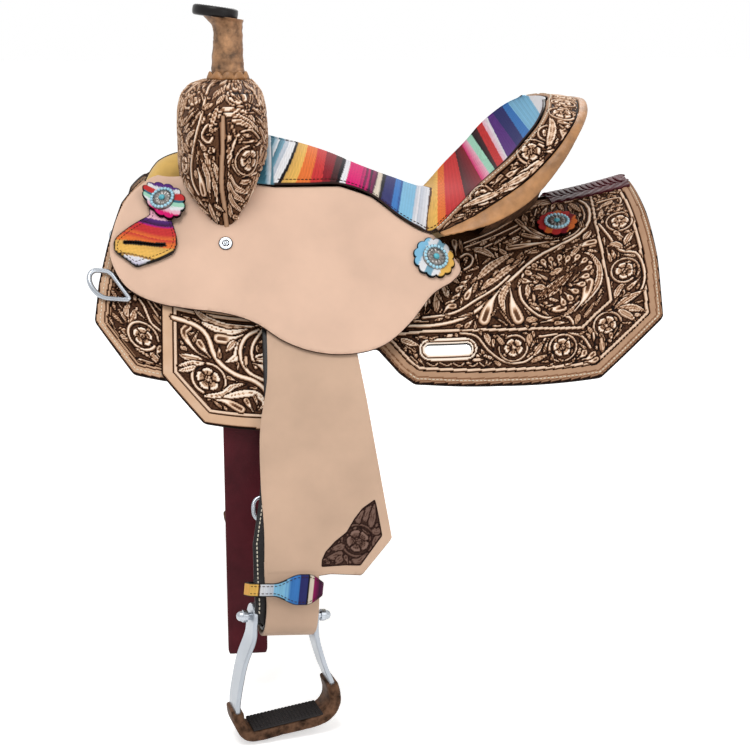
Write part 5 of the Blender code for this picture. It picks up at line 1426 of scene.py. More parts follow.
def carve_swell(points):
    """Tooling laid out by distance along the swell's side and by height along it."""
    across = np.linalg.norm(np.diff(points, axis=1), axis=2)
    run = np.concatenate([np.zeros((len(points), 1)), np.cumsum(across, 1)], 1)
    middle = SWELL_COLUMNS // 2
    arc = run - run[:, middle : middle + 1]
    rise_steps = np.linalg.norm(np.diff(points[:, middle], axis=0), axis=1)
    rise = np.concatenate([[0], np.cumsum(rise_steps)])[:, None] + 0 * arc
    canvas = Canvas(arc, rise, GROUND + 0.04)
    photo = in_photo(points)
    near = (slice(0, SWELL_ROWS), slice(SWELL_COLUMNS // 10, int(SWELL_COLUMNS * 0.72)))
    at = finder(photo[near], canvas.a[near], canvas.b[near])
    rims = np.minimum(run, run[:, -1:] - run)
    below = (rise < 0.128) & (rims < 0.0115)
    canvas.band(below, BROWN + 0.08, LIFT * 0.8)
    canvas.band(below & (rims > 0.0095), BLACK, -LIFT)
    canvas.draw(at, SWELL_STROKES)
    canvas.stem(at(*SWELL_WELT), 0.0026, light=TAN - 0.12)
    for pixel, size in (((240, 98), 0.0140), ((248, 160), 0.0150), ((185, 163), 0.0115)):
        canvas.swirl(at(pixel)[0], size, 90, 300, 0.0011)
    whole = (rims > 0.012) & (rise > 0.004)
    canvas.fill(whole & ~below, 1500, 0.030, 0.0040)
    return canvas


def make_swell():
    """The tooled swell, its left half made and mirrored, with the gullet's inside."""
    points = swell_grid()
    canvas = carve_swell(points)
    along = np.gradient(points, axis=1)
    up = np.gradient(points, axis=0)
    normal = unit(np.cross(along, up))
    middle_row = normal[SWELL_ROWS // 2, SWELL_COLUMNS // 2]
    if middle_row[1] > 0:
        normal = -normal
    fade = np.ones(points.shape[:2])
    fade[SWELL_ROWS:] = 0
    fade[:, 0] = fade[:, -1] = 0
    outer = points + normal * (canvas.height * fade)[..., None]
    floor = across_back(outer[..., 0], outer[..., 1], np.full(outer.shape[:2], SKIRT_TOP + 0.0095))
    outer[..., 2] = np.where(outer[..., 2] < 0.02, np.maximum(outer[..., 2], floor[..., 2]), outer[..., 2])
    arch_rows = int((GULLET_TOP_Z - SWELL_FOOT_Z) / (COVER_TOP_Z - SWELL_FOOT_Z) * (SWELL_ROWS - 1)) + 1
    steps = 12
    share = np.linspace(0, 1, steps)[:, None, None]
    tunnel = outer[:arch_rows, 0][None] * (1 - share) + outer[:arch_rows, -1][None] * share
    all_points, all_faces, tones = [], [], []
    base = 0
    for side in (1, -1):
        flip = np.array((1, side, 1))
        for grid, tone, turn in (
            (outer, canvas.tone, side > 0),
            (tunnel, np.full(tunnel.shape[:2], BROWN), side < 0),
        ):
            faces = grid_faces(*grid.shape[:2]) + base
            all_faces.append(faces if turn else faces[:, ::-1])
            all_points.append((grid * flip).reshape(-1, 3))
            tones.append(tone.ravel())
            base += grid.shape[0] * grid.shape[1]
    points, faces = np.concatenate(all_points), np.concatenate(all_faces)
    obj = build("swell_tooled", points, faces, ["tooled"], tone=np.concatenate(tones))
    outward(obj)
    crease(obj, 60)
    declare(obj, "saddle", ["swell_cover"])


SUEDE_RIM = ((186, 151), (176.6, 152.9), (170, 155), (163.4, 158), (158, 161.5), (154.6, 165.4),
             (151, 170.5), (147, 178), (144, 186))
SUEDE_HALF, SUEDE_BACK, SUEDE_NARROW = 0.020, (190, 188), 0.62


def under_pixel(pixel, y):
    """The point with this y seen at a pixel of the photograph."""
    back, right, up = (np.array(v) for v in view_axes())
    reach = VIEW_HALF_HEIGHT / VIEW_DISTANCE * 2 / PHOTO_SIDE
    way = -back + right * (pixel[0] - PHOTO_SIDE / 2) * reach - up * (pixel[1] - PHOTO_SIDE / 2) * reach
    eye = np.array(VIEW_TARGET) + back * VIEW_DISTANCE
    return eye + way * (y - eye[1]) / way[1]


def make_gullet_suede():
    """The yellow suede hood in front of the swell's foot, with a dark seam round its rim."""
    rim = curve([under_pixel(pixel, 0.0) for pixel in SUEDE_RIM], 50)
    back = under_pixel(SUEDE_BACK, 0.0)
    rings = []
    for share in np.linspace(-1, 1, 13):
        narrow = SUEDE_NARROW + (1 - SUEDE_NARROW) * math.sqrt(1 - share * share)
        ring = back + (rim - back) * narrow
        rings.append(np.concatenate([ring, [back]]) + np.array((0, share * SUEDE_HALF, 0)))
    declare(tube("gullet_suede", rings, "suede", sharp=40), "saddle", [])
    seam = rod(rim, 0.0010, 8, (0, 1, 0))
    declare(tube("gullet_suede_seam", seam, "dark_edge_and_hole_shade"), "saddle", [])


# Horn
def ring_of(x, z, radius, tilt, count):
    """A ring of the horn, tilted forward."""
    a = np.linspace(0, 2 * math.pi, count, endpoint=False)
    turn = math.radians(tilt)
    flat = np.stack([radius * np.cos(a), radius * np.sin(a) * 0.94], -1)
    return points_of(x + flat[:, 0] * math.cos(turn), flat[:, 1], z - flat[:, 0] * math.sin(turn))


CAP_X, CAP_Z, CAP_RADIUS, CAP_THICKNESS, CAP_TILT, CAP_ROUND = -0.1835, 0.2500, 0.0262, 0.0120, 7.5, 0.0035
NECK_RINGS, WRAP_PITCH, COLLAR_SCALLOPS = 56, 8.8, 10


def make_horn_neck():
    """The leather wound round the horn's neck."""
    base = COVER_TOP_Z + LAYER_GAP
    under_cap = CAP_Z - CAP_THICKNESS / 2 + 0.0015
    sections = np.array((
        (HORN_X, base, 0.0205, 0),
        (HORN_X, base + 0.010, 0.0195, 0),
        (HORN_X, base + 0.026, 0.0183, 0),
        (HORN_X + 0.001, base + 0.047, 0.0172, 2),
        (HORN_X, base + 0.059, 0.0182, 5),
        (HORN_X - 0.005, under_cap - 0.0012, 0.0248, CAP_TILT),
    ))
    smooth = spline_at(sections, np.linspace(0, 1, NECK_RINGS))
    rings = np.array([ring_of(*section, NECK_RINGS) for section in smooth])
    centre = rings.mean(1, keepdims=True)
    turns, wave = np.arange(NECK_RINGS)[:, None], np.arange(NECK_RINGS)[None, :] * 2 * math.pi / NECK_RINGS
    groove = np.mod(turns + wave * 1.4, WRAP_PITCH)
    bulge = 0.0003 * np.cos(groove / WRAP_PITCH * 2 * math.pi) - 0.0004 * (groove < 0.9)
    rings = centre + (rings - centre) * (1 + (bulge - 0.0004)[..., None] / 0.019)
    declare(tube("horn_wrap_leather", rings, "neck"), "saddle", ["horn_neck_wrap"])


def make_horn_cap():
    """The cap's black rim, the brown leather let into its top and the stitches between them."""
    half, tilt, centre = CAP_THICKNESS / 2, math.radians(CAP_TILT), (CAP_X, 0, CAP_Z)
    axis = (math.sin(tilt), 0, math.cos(tilt))
    edge = [(CAP_RADIUS - CAP_ROUND + CAP_ROUND * math.cos(a),
             (half - CAP_ROUND) * s + CAP_ROUND * math.sin(a))
            for s, a in ((-1, -1.4), (-1, -0.9), (-1, -0.4), (-0.4, 0), (0.4, 0), (1, 0.4), (1, 0.9),
                         (1, 1.4))]
    profile = [(0.0001, -half + 0.0015), (CAP_RADIUS - 0.009, -half + 0.0010)] + edge
    profile += [(CAP_RADIUS - 0.0055, half - 0.0006), (CAP_RADIUS - 0.0065, half - 0.0012),
                (0.018, half - 0.0012)]
    add_turned("horn_cap_rim", profile, centre, axis, 64, "dark", "saddle", ["horn_cap"], "dark_leather",
               caps=False)
    profile = [(0.0194, half - 0.0030), (0.0194, half - 0.0010), (0.0186, half - 0.0002), (0.010, half),
               (0.0001, half)]
    add_turned("horn_cap_top", profile, centre, axis, 64, "cap", "saddle", [], "caramel_leather", caps=False)
    row = turned_rings([(0.0212, half - 0.0004)], centre, axis, 64)[0]
    stitch_row("horn_cap_stitches", np.concatenate([row, row[:1]]), axis, "dark_thread", "saddle", 0.0022,
               0.0036)


def make_horn_collar():
    """The scalloped leather collar at the foot of the neck."""
    a = np.linspace(0, 2 * math.pi, 144, endpoint=False)
    crest = 0.0035 + 0.0060 * np.abs(np.sin(a * COLLAR_SCALLOPS / 2)) ** 0.6
    rings = []
    for radius, share in ((0.0212, 0.0), (0.0248, 0.0), (0.0246, 0.35), (0.0228, 0.9), (0.0218, 1.0),
                          (0.0208, 0.9)):
        rings.append(points_of(HORN_X + radius * np.cos(a), radius * np.sin(a),
                               COVER_TOP_Z + 0.0004 + crest * share))
    declare(tube("horn_collar_scallops", rings, "caramel", True), "saddle", ["horn_collar"])


# Seat
RIM = ((0.0745, 0.128, 0.0355), (0.1002, 0.133, 0.0642), (0.1298, 0.139, 0.0929), (0.1473, 0.138, 0.1133),
       (0.1640, 0.125, 0.1305), (0.1765, 0.098, 0.1432), (0.1855, 0.060, 0.1510))
CROWN = ((-0.1225, 0, 0.1100), (-0.090, 0, 0.1015), (-0.055, 0, 0.0900), (-0.017, 0, 0.0740),
         (0.022, 0, 0.0595), (0.060, 0, 0.0475), (0.098, 0, 0.0500), (0.130, 0, 0.0660), (0.157, 0, 0.0930),
         (0.180, 0, 0.1260), (0.1974, 0, 0.1545))
ROLL_EDGE = ((0.2446, 0, 0.1496), (0.2415, 0.042, 0.1485), (0.2300, 0.096, 0.1385), (0.2110, 0.138, 0.1190),
             (0.1880, 0.1565, 0.0870), (0.1555, 0.160, 0.0500), (0.1120, 0.156, 0.0235),
             (0.0573, 0.148, 0.0092))
TOP_SHARE = 0.22
SEAM_OVER = JOCKEY_LEATHER + SEAT_LEATHER + LAYER_GAP + GAP
SEAT_EDGE = np.concatenate([on_jockey(np.array(SEAM_X), seam_h(SEAM_X), SEAM_OVER, 1), RIM])


def seat_point(u, v):
    """u runs from the swell to the top of the cantle, v from the left edge to the right one."""
    u, v = np.broadcast_arrays(np.asarray(u, float), np.asarray(v, float))
    edge, crown = spline_at(SEAT_EDGE, u), spline_at(CROWN, u)
    share = np.abs(v)
    x = crown[..., 0] + (edge[..., 0] - crown[..., 0]) * share**2
    z = crown[..., 2] + (edge[..., 2] - crown[..., 2]) * share**2.2
    return points_of(x, edge[..., 1] * v, z)


def seat_normal(u, v):
    """The way square to the seat."""
    step = 0.01
    along = seat_point(np.minimum(u + step, 1), v) - seat_point(np.maximum(u - step, 0), v)
    across = seat_point(u, np.minimum(v + step, 1)) - seat_point(u, np.maximum(v - step, -1))
    normal = np.cross(along, across)
    return unit(normal)


COLOURS = {
    "teal": (0.045, 0.155, 0.215), "teal_light": (0.18, 0.36, 0.47), "sky": (0.22, 0.49, 0.69),
    "blue": (0.050, 0.19, 0.50), "navy": (0.030, 0.032, 0.135), "grey": (0.50, 0.55, 0.62),
    "white": (0.76, 0.76, 0.78), "black": (0.008, 0.007, 0.010), "yellow": (0.80, 0.47, 0.11),
    "gold": (0.62, 0.36, 0.10), "orange": (0.74, 0.17, 0.040), "red": (0.55, 0.040, 0.040),
    "dark_red": (0.23, 0.016, 0.025), "maroon": (0.060, 0.020, 0.022), "magenta": (0.66, 0.012, 0.155),
    "wine": (0.27, 0.012, 0.095), "purple": (0.100, 0.032, 0.200), "plum": (0.045, 0.012, 0.038),
    "cream": (0.72, 0.62, 0.50), "mint": (0.36, 0.66, 0.50), "pink": (0.80, 0.45, 0.55),
    "seam": (0.085, 0.035, 0.020), "lilac": (0.52, 0.46, 0.66),
}

# Each stripe of the seat: where it starts in the photograph along the crown and along the edge, and
# its colours at its start and end
SEAT_STRIPES = (
    (262, 255, "teal", "teal"), (276, 264, "teal_light", "white"), (281, 267, "teal", "teal_light"),
    (286, 270, "grey", "grey"), (290, 272, "white", "white"), (296, 278, "black", "black"),
    (298.5, 281, "gold", "yellow"), (308, 296, "orange", "orange"), (318, 310, "red", "red"),
    (327, 322, "dark_red", "dark_red"), (337, 330, "maroon", "maroon"), (343, 336, "black", "black"),
    (346.5, 339.5, "white", "white"), (351, 345.5, "magenta", "magenta"), (364, 359, "wine", "magenta"),
    (367, 362, "plum", "wine"), (369.5, 364.5, "magenta", "wine"), (371.5, 367, "plum", "plum"),
    (374, 370, "wine", "plum"), (378.5, 372.5, "cream", "cream"), (383, 378.5, "black", "black"),
    (386.5, 381, "navy", "navy"), (396, 391, "blue", "blue"), (401.5, 396.5, "navy", "blue"),
    (403.5, 398.5, "sky", "sky"), (416.5, 411.5, "grey", "white"), (421, 416, "grey", "white"),
    (429.8, 425.6, "seam", "seam"), (432.2, 427.6, "yellow", "yellow"),
)
# The same up the dish of the cantle: where each stripe starts along the dish's silhouette and
# along its bead, and its colours
DISH_STRIPES = (
    (433.2, 428.1, "gold", "yellow"), (437.5, 437.5, "orange", "orange"), (443.4, 445.6, "red", "red"),
    (455, 464, "maroon", "dark_red"), (461.6, 479, "magenta", "pink"), (466.5, 487, "mint", "mint"),
    (471, 492.4, "black", "maroon"), (476.4, 495, "red", "red"), (481.7, 500.5, "pink", "white"),
    (487, 504.5, "purple", "purple"), (492.4, 513.9, "navy", "navy"), (501.8, 520.6, "blue", "blue"),
    (507.2, 526, "sky", "sky"), (528.6, 536.6, "white", "grey"), (545, 545, "white", "white"),
)
DISH_BEAD = ((420, 237), (428, 229), (437, 221), (454, 205), (462, 194), (475, 178), (491, 167), (505, 151),
             (518, 138), (531, 119), (537, 108), (546, 92))


def dish_place(photo, rim):
    """Which stripe each pixel of the dish lies on, counted up the dish, with its fraction."""
    starts = np.array([stripe[:2] for stripe in DISH_STRIPES], float)
    bead = np.array(DISH_BEAD, float)
    low = np.stack([starts[:, 0], np.interp(starts[:, 0], rim[:, 0], rim[:, 1])], -1)
    way = unit(np.stack([starts[:, 1], np.interp(starts[:, 1], bead[:, 0], bead[:, 1])], -1) - low)
    away = photo[..., None, :] - low
    beyond = way[:, 0] * away[..., 1] - way[:, 1] * away[..., 0]
    beyond = np.minimum.accumulate(-beyond, axis=-1)
    k = np.clip((beyond > 0).sum(-1) - 1, 0, len(starts) - 2)
    now = np.take_along_axis(beyond, k[..., None], -1)[..., 0]
    after = np.take_along_axis(beyond, k[..., None] + 1, -1)[..., 0]
    return k + clamp(now / np.maximum(now - after, 1e-6))


def stripes_at(starts, bands, at):
    """The colour of each place from the bands' starts and their colours there and at their ends."""
    k = np.clip(np.searchsorted(starts, at, side="right") - 1, 0, len(starts) - 1)
    ends = np.append(starts[1:], starts[-1] + 1)
    t = clamp((at - starts[k]) / np.maximum(ends[k] - starts[k], 1e-6))[..., None]
    first = np.array([COLOURS[b[-2]] for b in bands])[k]
    last = np.array([COLOURS[b[-1]] for b in bands])[k]
    return first * (1 - t) + last * t


def threads(at, strength=0.13):
    """Fine lighter and darker threads along the stripes."""
    wave = np.sin(at * 2.7) * np.sin(at * 7.1 + 1.3) + 0.5 * np.sin(at * 13.3)
    return (1 + strength * wave)[..., None]


def seat_paint(u, v):
    """Stripes that run straight, in the photograph, from the crown of the seat to its edge."""
    grid_u = np.linspace(0, 1, 400)
    crown, edge = in_photo(seat_point(grid_u, 0.0)), in_photo(seat_point(grid_u, -0.985))
    photo = in_photo(seat_point(u, -np.abs(v)))
    crown_y = np.interp(photo[..., 0], crown[:250, 0], crown[:250, 1])
    edge_y = np.interp(photo[..., 0], edge[:250, 0], edge[:250, 1])
    share = clamp((photo[..., 1] - crown_y) / np.maximum(edge_y - crown_y, 4))
    crown_x = np.array([s[0] for s in SEAT_STRIPES], float)
    edge_x = np.array([s[1] for s in SEAT_STRIPES], float)
    at = photo[..., 0] + share * np.interp(photo[..., 0], edge_x, crown_x - edge_x)
    colour = stripes_at(crown_x, SEAT_STRIPES, at)
    front = grid_u < 0.62
    crown_seam = np.interp(crown_x[-1], crown[front, 0], grid_u[front])
    edge_seam = np.interp(edge_x[-1], edge[front, 0], grid_u[front])
    bent = np.abs(v) ** 1.6
    seam_u = crown_seam * (1 - bent) + edge_seam * bent
    rim = in_photo(seat_point(np.linspace(edge_seam, 1, 200), 0.985))
    rim = rim[np.argsort(rim[:, 0])]
    climb = dish_place(in_photo(seat_point(u, v)), rim)
    dish = stripes_at(np.arange(len(DISH_STRIPES)), DISH_STRIPES, climb)
    colour = np.where((u > seam_u)[..., None], dish, colour)
    return clamp(colour * threads(np.where(u > seam_u, climb * 7, at * 0.55)), 0, 1)


KEYHOLE_TIP, KEYHOLE_HALF, KEYHOLE_DEPTH = -0.0915, 0.0155, 0.013
# The seat's rounded edge, its seam's way in from it, the rows that lead under the swell and how
# closely the columns stand at the edges
SEAT_ROUND, SEAT_SEAM, LEAD_ROWS, COLUMN_SPREAD = 0.0024, 0.0052, 12, 0.86


def front_reach(line):
    """How far ahead of the seat's front edge the swell stands, at each point of that edge."""
    steps = np.linspace(0, 0.040, 80)
    tried = line[None] - steps[:, None, None] * np.array((1.0, 0, 0))
    inside = swell_inside(tried) < 0.93
    return np.where(inside.any(0), steps[inside.argmax(0)], 0.012)


def front_paint(points):
    """The blue and white stripes go on under the swell."""
    photo = in_photo(np.stack([points[..., 0], -np.abs(points[..., 1]), points[..., 2]], -1))
    at = photo[..., 0] + 10
    crown_x = np.array([s[0] for s in SEAT_STRIPES], float)
    return clamp(stripes_at(crown_x, SEAT_STRIPES, at) * threads(at * 0.55), 0, 1)


def make_seat():
    """The striped seat: its edge rounded and stitched, with a keyhole and rows that lead under the swell."""
    rows, columns = ((520, 84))
    u = np.linspace(0, 1, rows)[:, None] + np.zeros((1, columns))
    turn = np.linspace(-1, 1, columns) * math.pi / 2 * COLUMN_SPREAD
    v = np.sin(turn) / math.sin(math.pi / 2 * COLUMN_SPREAD) + np.zeros((rows, 1))
    normal = seat_normal(u, v)
    points = seat_point(u, v)
    across = (1 - np.abs(v)) * np.linalg.norm(spline_at(SEAT_EDGE, u)[..., 1:2], axis=-1)
    ends = np.minimum(across, clamp(1 - u) * 0.34)
    round_in = clamp(SEAT_ROUND - ends, 0, SEAT_ROUND)
    drop = SEAT_ROUND - np.sqrt(np.maximum(SEAT_ROUND**2 - round_in**2 * 0.97, 0))
    seam = 0.0008 * np.exp(-(((across - SEAT_SEAM) / 0.0011) ** 2))
    x, y = points[..., 0], points[..., 1]
    half = KEYHOLE_HALF * clamp((KEYHOLE_TIP - x) / 0.014) ** 0.5
    hole = (np.abs(y) < half) & (x < KEYHOLE_TIP)
    near_hole = smooth_step(half + 0.004 - np.abs(y), 0, 0.004) * (x < KEYHOLE_TIP + 0.002)
    relief = -drop - seam - 0.0008 * near_hole - KEYHOLE_DEPTH * hole
    paint = seat_paint(u, v)
    # The keyhole is painted black and the leather round its lip darkened: painted shade in the sunk opening
    paint[hole] = COLOURS["black"]
    lip = (near_hole > 0.15) & (near_hole < 0.55) & ~hole
    paint[lip] = paint[lip] * 0.35
    paint[across < 0.0011] = (0.035, 0.020, 0.018)
    top = points + normal * relief[..., None]
    reach = front_reach(points[0])
    lead = np.linspace(1, 0, LEAD_ROWS, endpoint=False)[:, None, None]
    ahead = points[0] + lead * np.stack([-reach, 0 * reach, reach * 0.10], -1)
    top = np.concatenate([ahead - normal[0] * (drop[rows // 2] + seam[rows // 2])[:, None], top])
    paint = np.concatenate([front_paint(ahead), paint])
    thick = 0.0150 - 0.0115 * smooth_step(np.abs(v), 0.62, 0.80)
    thick = np.where((u < 0.06) | (u > 0.86), 0.0035, thick)
    low_u, low_v = np.minimum(u, 0.985), v * 0.98
    low = seat_point(low_u, low_v) - seat_normal(low_u, low_v) * thick[..., None]
    low = np.where(hole[..., None], top[LEAD_ROWS:] - normal * 0.003, low)
    low = np.concatenate([ahead - normal[0] * 0.0035, low])
    faces = grid_faces(rows + LEAD_ROWS, columns)
    flat_top, flat_low = top.reshape(-1, 3), low.reshape(-1, 3)
    obj = thick_sheet("seat_serape", flat_top, flat_low, faces, ("striped", "dark", "dark"),
                      paint=paint.reshape(-1, 3))
    outward(obj)
    crease(obj, 60)
    declare(obj, "saddle", ["seat_cover", "seat_foam"])
    along = np.linspace(0.01, 0.985, 300)
    for word, side in SIDES:
        width = np.linalg.norm(spline_at(SEAT_EDGE, along)[:, 1:2], axis=-1)
        share = side * (1 - SEAT_SEAM / width)
        line, up = seat_point(along, share), seat_normal(along, share)
        keep = along < len(SEAM_X) / len(SEAT_EDGE) + 0.02
        stitch_row(f"seat_edge_stitches_{word}", (line - up * 0.0003)[keep], up[keep], "dark_thread",
                   "saddle")


# Cantle
def rim_point(t, side):
    """From the middle of the top of the cantle (0) round to the front end of its rim (1)."""
    t = np.asarray(t, float)
    low = (len(SEAM_X) - 1) / (len(SEAT_EDGE) - 1)
    u = np.where(t < TOP_SHARE, 1.0, 1 - (t - TOP_SHARE) / (1 - TOP_SHARE) * (1 - low))
    v = np.where(t < TOP_SHARE, t / TOP_SHARE, 1.0)
    return seat_point(u, v) * (1, side, 1)


def roll_point(t, side):
    """A place on the outer edge of the cantle."""
    return spline_at(ROLL_EDGE, t) * (1, side, 1)


def cover_edge(t):
    """How far the cantle's leather starts from the rim, beside the seat's own leather."""
    return 2 * GAP + (SEAT_LEATHER + 2 * GAP) * (1 - smooth_step(t, 0.45, 0.85))


def roll_frames(count):
    """Stations round the rim from its left end over the top to its right end: share, inner edge,
    outer edge and outward normal."""
    t = np.concatenate([np.linspace(0.985, 0, count), np.linspace(0, 0.985, count)[1:]])
    side = np.concatenate([np.full(count, -1.0), np.full(count - 1, 1.0)])
    inner = rim_point(t, 1) * np.stack([side * 0 + 1, side, side * 0 + 1], -1)
    outer = roll_point(t, 1) * np.stack([side * 0 + 1, side, side * 0 + 1], -1)
    along = np.gradient(inner + outer, axis=0)
    normal = unit(np.cross(outer - inner, along))
    normal *= np.sign(normal[len(t) // 2, 2])
    kernel = np.ones(9) / 9
    padded = np.concatenate([normal[:1].repeat(4, 0), normal, normal[-1:].repeat(4, 0)])
    normal = unit(np.stack([np.convolve(padded[:, k], kernel, "valid") for k in range(3)], -1))
    return t, inner, outer, normal


CANTLE_BEAD = 0.0058
# In pixels of the photograph, with their sizes in metres
CANTLE_BLOOMS = ((562, 115, 0.0105), (531, 152, 0.0105), (548, 134, 0.0065), (482, 196, 0.0075))
CANTLE_LEAVES = (
    (0.0045, ((548, 148), (552, 130), (549, 118))), (0.0060, ((543, 160), (520, 178), (497, 190))),
    (0.0048, ((538, 166), (515, 184), (490, 197))), (0.0040, ((530, 172), (510, 184), (500, 186))),
    (0.0042, ((500, 192), (480, 200), (462, 208))), (0.0040, ((560, 130), (566, 138), (560, 146))),
)


def carve_cantle(run, across, reach, photo):
    """Tooling by the way round the rim and the way across it, the same on both sides of its middle."""
    canvas = Canvas(run, across, GROUND + 0.05)
    canvas.band(reach < CANTLE_BEAD, BROWN + 0.12, LIFT)
    canvas.band((reach > CANTLE_BEAD) & (reach < CANTLE_BEAD + 0.0013), BLACK, -LIFT)
    near_side, total = len(run) // 2 + 1, run[-1, 0]
    at = finder(photo[:near_side], run[:near_side], across[:near_side])
    for mirror in (False, True):
        turned = lambda spot: (total - spot[0], spot[1]) if mirror else spot
        for *pixel, size in CANTLE_BLOOMS:
            spot = turned(at(pixel)[0])
            canvas.ringed_bloom(spot, size, BLOOM_TURN, size + 0.0035, 100, 290, 0.0013)
        for size, pixels in CANTLE_LEAVES:
            canvas.leaf([turned(spot) for spot in at(*pixels)], size, 4)
    for k in range(-2, 3):
        centre = (total / 2 + k * 0.036, across[near_side, across.shape[1] // 2 + 2])
        canvas.ringed_bloom(centre, 0.0095, k, 0.0128, 60 * k, 300, 0.0013)
    outer_room = across[:, -1:] - across
    canvas.fill((reach > CANTLE_BEAD + 0.0015) & (outer_room > 0.0010), 900, 0.020, 0.0030)
    canvas.band(outer_room < 0.0012, BLACK, 0.0)
    return canvas


def make_cantle():
    """The tooled leather on the cantle's face, stitched along its bead."""
    count = 210
    t, inner, outer, normal = roll_frames(count)
    width = np.linalg.norm(outer - inner, axis=1)
    split = 0.80 - 0.26 * smooth_step(t, 0.35, 0.95)
    thick = 0.0075 * (1 - 0.6 * smooth_step(t, 0.70, 0.98))
    bound = 0.0095 * (1 - 0.6 * smooth_step(t, 0.70, 0.98))
    begin = cover_edge(t) / width
    columns = 34
    w = np.linspace(0, 1, columns)
    share = begin[:, None] + (split - GAP / width - begin)[:, None] * w
    face = inner[:, None] + (outer - inner)[:, None] * share[..., None]
    dome = np.sin(math.pi * w) ** 0.8 * 0.30
    run = np.concatenate([[0], np.cumsum(np.linalg.norm(np.diff((inner + outer) / 2, axis=0), axis=1))])
    across = share * width[:, None]
    run_grid = run[:, None] + 0 * across
    reach = across - across[:, :1]
    canvas = carve_cantle(run_grid, across, reach, in_photo(face))
    bead_dome = 0.0011 * np.sin(math.pi * clamp(reach / CANTLE_BEAD)) * (reach < CANTLE_BEAD)
    carved = canvas.height * np.minimum(1, w * 8) * np.minimum(1, (1 - w) * 8)
    raised = thick[:, None] * dome + carved + bead_dome
    top = face + normal[:, None] * raised[..., None]
    deep = (thick * 0.75)[:, None, None] * np.minimum(1, 0.4 + w[None, :, None])
    under = face - normal[:, None] * deep
    faces = grid_faces(*top.shape[:2])
    obj = thick_sheet("cantle_tooled", top.reshape(-1, 3), under.reshape(-1, 3), faces,
                      TOOLED, canvas.tone.ravel())
    outward(obj)
    crease(obj, 60)
    declare(obj, "saddle", ["cantle_roll"])
    middle = np.argmin(np.abs(reach - CANTLE_BEAD * 0.5), axis=1)
    row = top[np.arange(len(top)), middle] + normal * 0.0001
    stitch_row("cantle_stitches", evenly(row, 400), normal[np.linspace(0, len(row) - 1, 400).astype(int)],
               "thread", "saddle", *CANTLE_STITCH)
    make_binding(inner, outer, normal, width, split, bound, run)


def make_binding(inner, outer, normal, width, split, bound, run):
    """The smooth binding, folded over the outer edge, with wrinkles below."""
    start = split + GAP / width
    section = ((0.0, -0.8, 0), (0.0, 0.08, 0), (0.25, 0.24, 0), (0.5, 0.27, 0), (0.8, 0.20, 0),
               (0.97, 0.02, 0), (1.0, -0.22, 1), (0.94, -0.46, 1), (0.75, -0.72, 1), (0.5, -0.88, 1),
               (0.25, -0.92, 1))
    section = np.array(section)
    fine = spline_at(np.concatenate([section, section[:1]]), np.linspace(0, 1, 45))[:-1]
    share = start[:, None] + (1 - start)[:, None] * clamp(fine[:, 0], 0, 1)
    lift = bound[:, None] * fine[:, 1]
    wrinkle = 0.00045 * np.sin(run[:, None] * 900 + 3 * np.sin(run[:, None] * 130)) * clamp(fine[:, 2])
    wrinkle += 0.00018 * np.sin(run[:, None] * 420 + fine[:, 0] * 6)
    raised = normal[:, None] * (lift + wrinkle)[..., None]
    rings = inner[:, None] + (outer - inner)[:, None] * share[..., None] + raised
    declare(tube("cantle_binding_leather", rings, "caramel"), "saddle", ["cantle_binding"])


CANTLE_FOOT = ((0.196, 0.000), (0.190, 0.018), (0.176, 0.040), (0.148, 0.062), (0.112, 0.081), (0.084, 0.090))


def make_cantle_back():
    """The leather behind the cantle, from under the binding down to the skirts; its dark colour is painted
    shade.
    """
    t, inner, outer, normal = roll_frames(50)
    keep = t <= 0.80
    t, inner, outer, normal = t[keep], inner[keep], outer[keep], normal[keep]
    side = np.sign(outer[:, 1] + 1e-9)
    foot = spline_at(CANTLE_FOOT, t)
    low = across_back(foot[:, 0], side * np.maximum(foot[:, 1], 1e-4), np.full(len(t), SKIRT_TOP + GAP))
    deep = normal * 0.0105
    high = inner + (outer - inner) * 0.78 - deep
    rows = 22
    s = np.linspace(0, 1, rows)[None, :, None]
    away = np.stack([np.full(len(t), 1.0), side * 0.6, np.full(len(t), -0.2)], -1)[:, None]
    grid = high[:, None] * (1 - s) + low[:, None] * s
    back = grid - away * 0.0034
    crease = 0.0006 * np.sin(s * 38 + np.arange(len(t))[:, None, None] * 0.5)
    face = grid + crease * 0.5 * away
    # the dark wrap look here stands in for the shadow under the binding: painted shade
    obj = thick_sheet("cantle_back_leather", face.reshape(-1, 3), back.reshape(-1, 3),
                      grid_faces(len(t), rows), ("wrap",))
    outward(obj)
    declare(obj, "saddle", ["cantle_back"])


# Stirrup axes
BOLT_CENTRE, STIRRUP_YAW, BOLT_DROP_ANGLE = (-0.1276, 0.318, -0.3579), 13.0, 6.5
NECK_X, NECK_HALF_WIDTH, FENDER_LOW_H = -0.1195, 0.0280, 0.286
SLEEVE_RADIUS, LOOP_AT, EYE_AT = 0.0095, 0.0035, 0.0365
LOOP_RADIUS = SLEEVE_RADIUS + 2 * GAP + STRAP_LEATHER + FENDER_GAP + FENDER_LEATHER / 2
STIRRUP_STRAP, STIRRUP_METAL, STIRRUP_WRAP = 0.030, 0.0050, 0.0030
HOBBLE_AT, HOBBLE_LEATHER, HOBBLE_TILT = 0.0365, 0.0028, 0.30
BEND_STEPS = 30


def bolt_frame(side):
    """The stirrup's own axes: along the bolt, outward across it and up."""
    yaw, drop = math.radians(STIRRUP_YAW), math.radians(BOLT_DROP_ANGLE)
    flat = np.array((math.cos(yaw), -side * math.sin(yaw), 0))
    along = flat * math.cos(drop) - np.array((0, 0, math.sin(drop)))
    outward_way = np.array((-side * flat[1], side * flat[0], 0))
    up = flat * math.sin(drop) + np.array((0, 0, math.cos(drop)))
    centre = np.array((BOLT_CENTRE[0], side * BOLT_CENTRE[1], BOLT_CENTRE[2]))
    return centre, along, outward_way, up


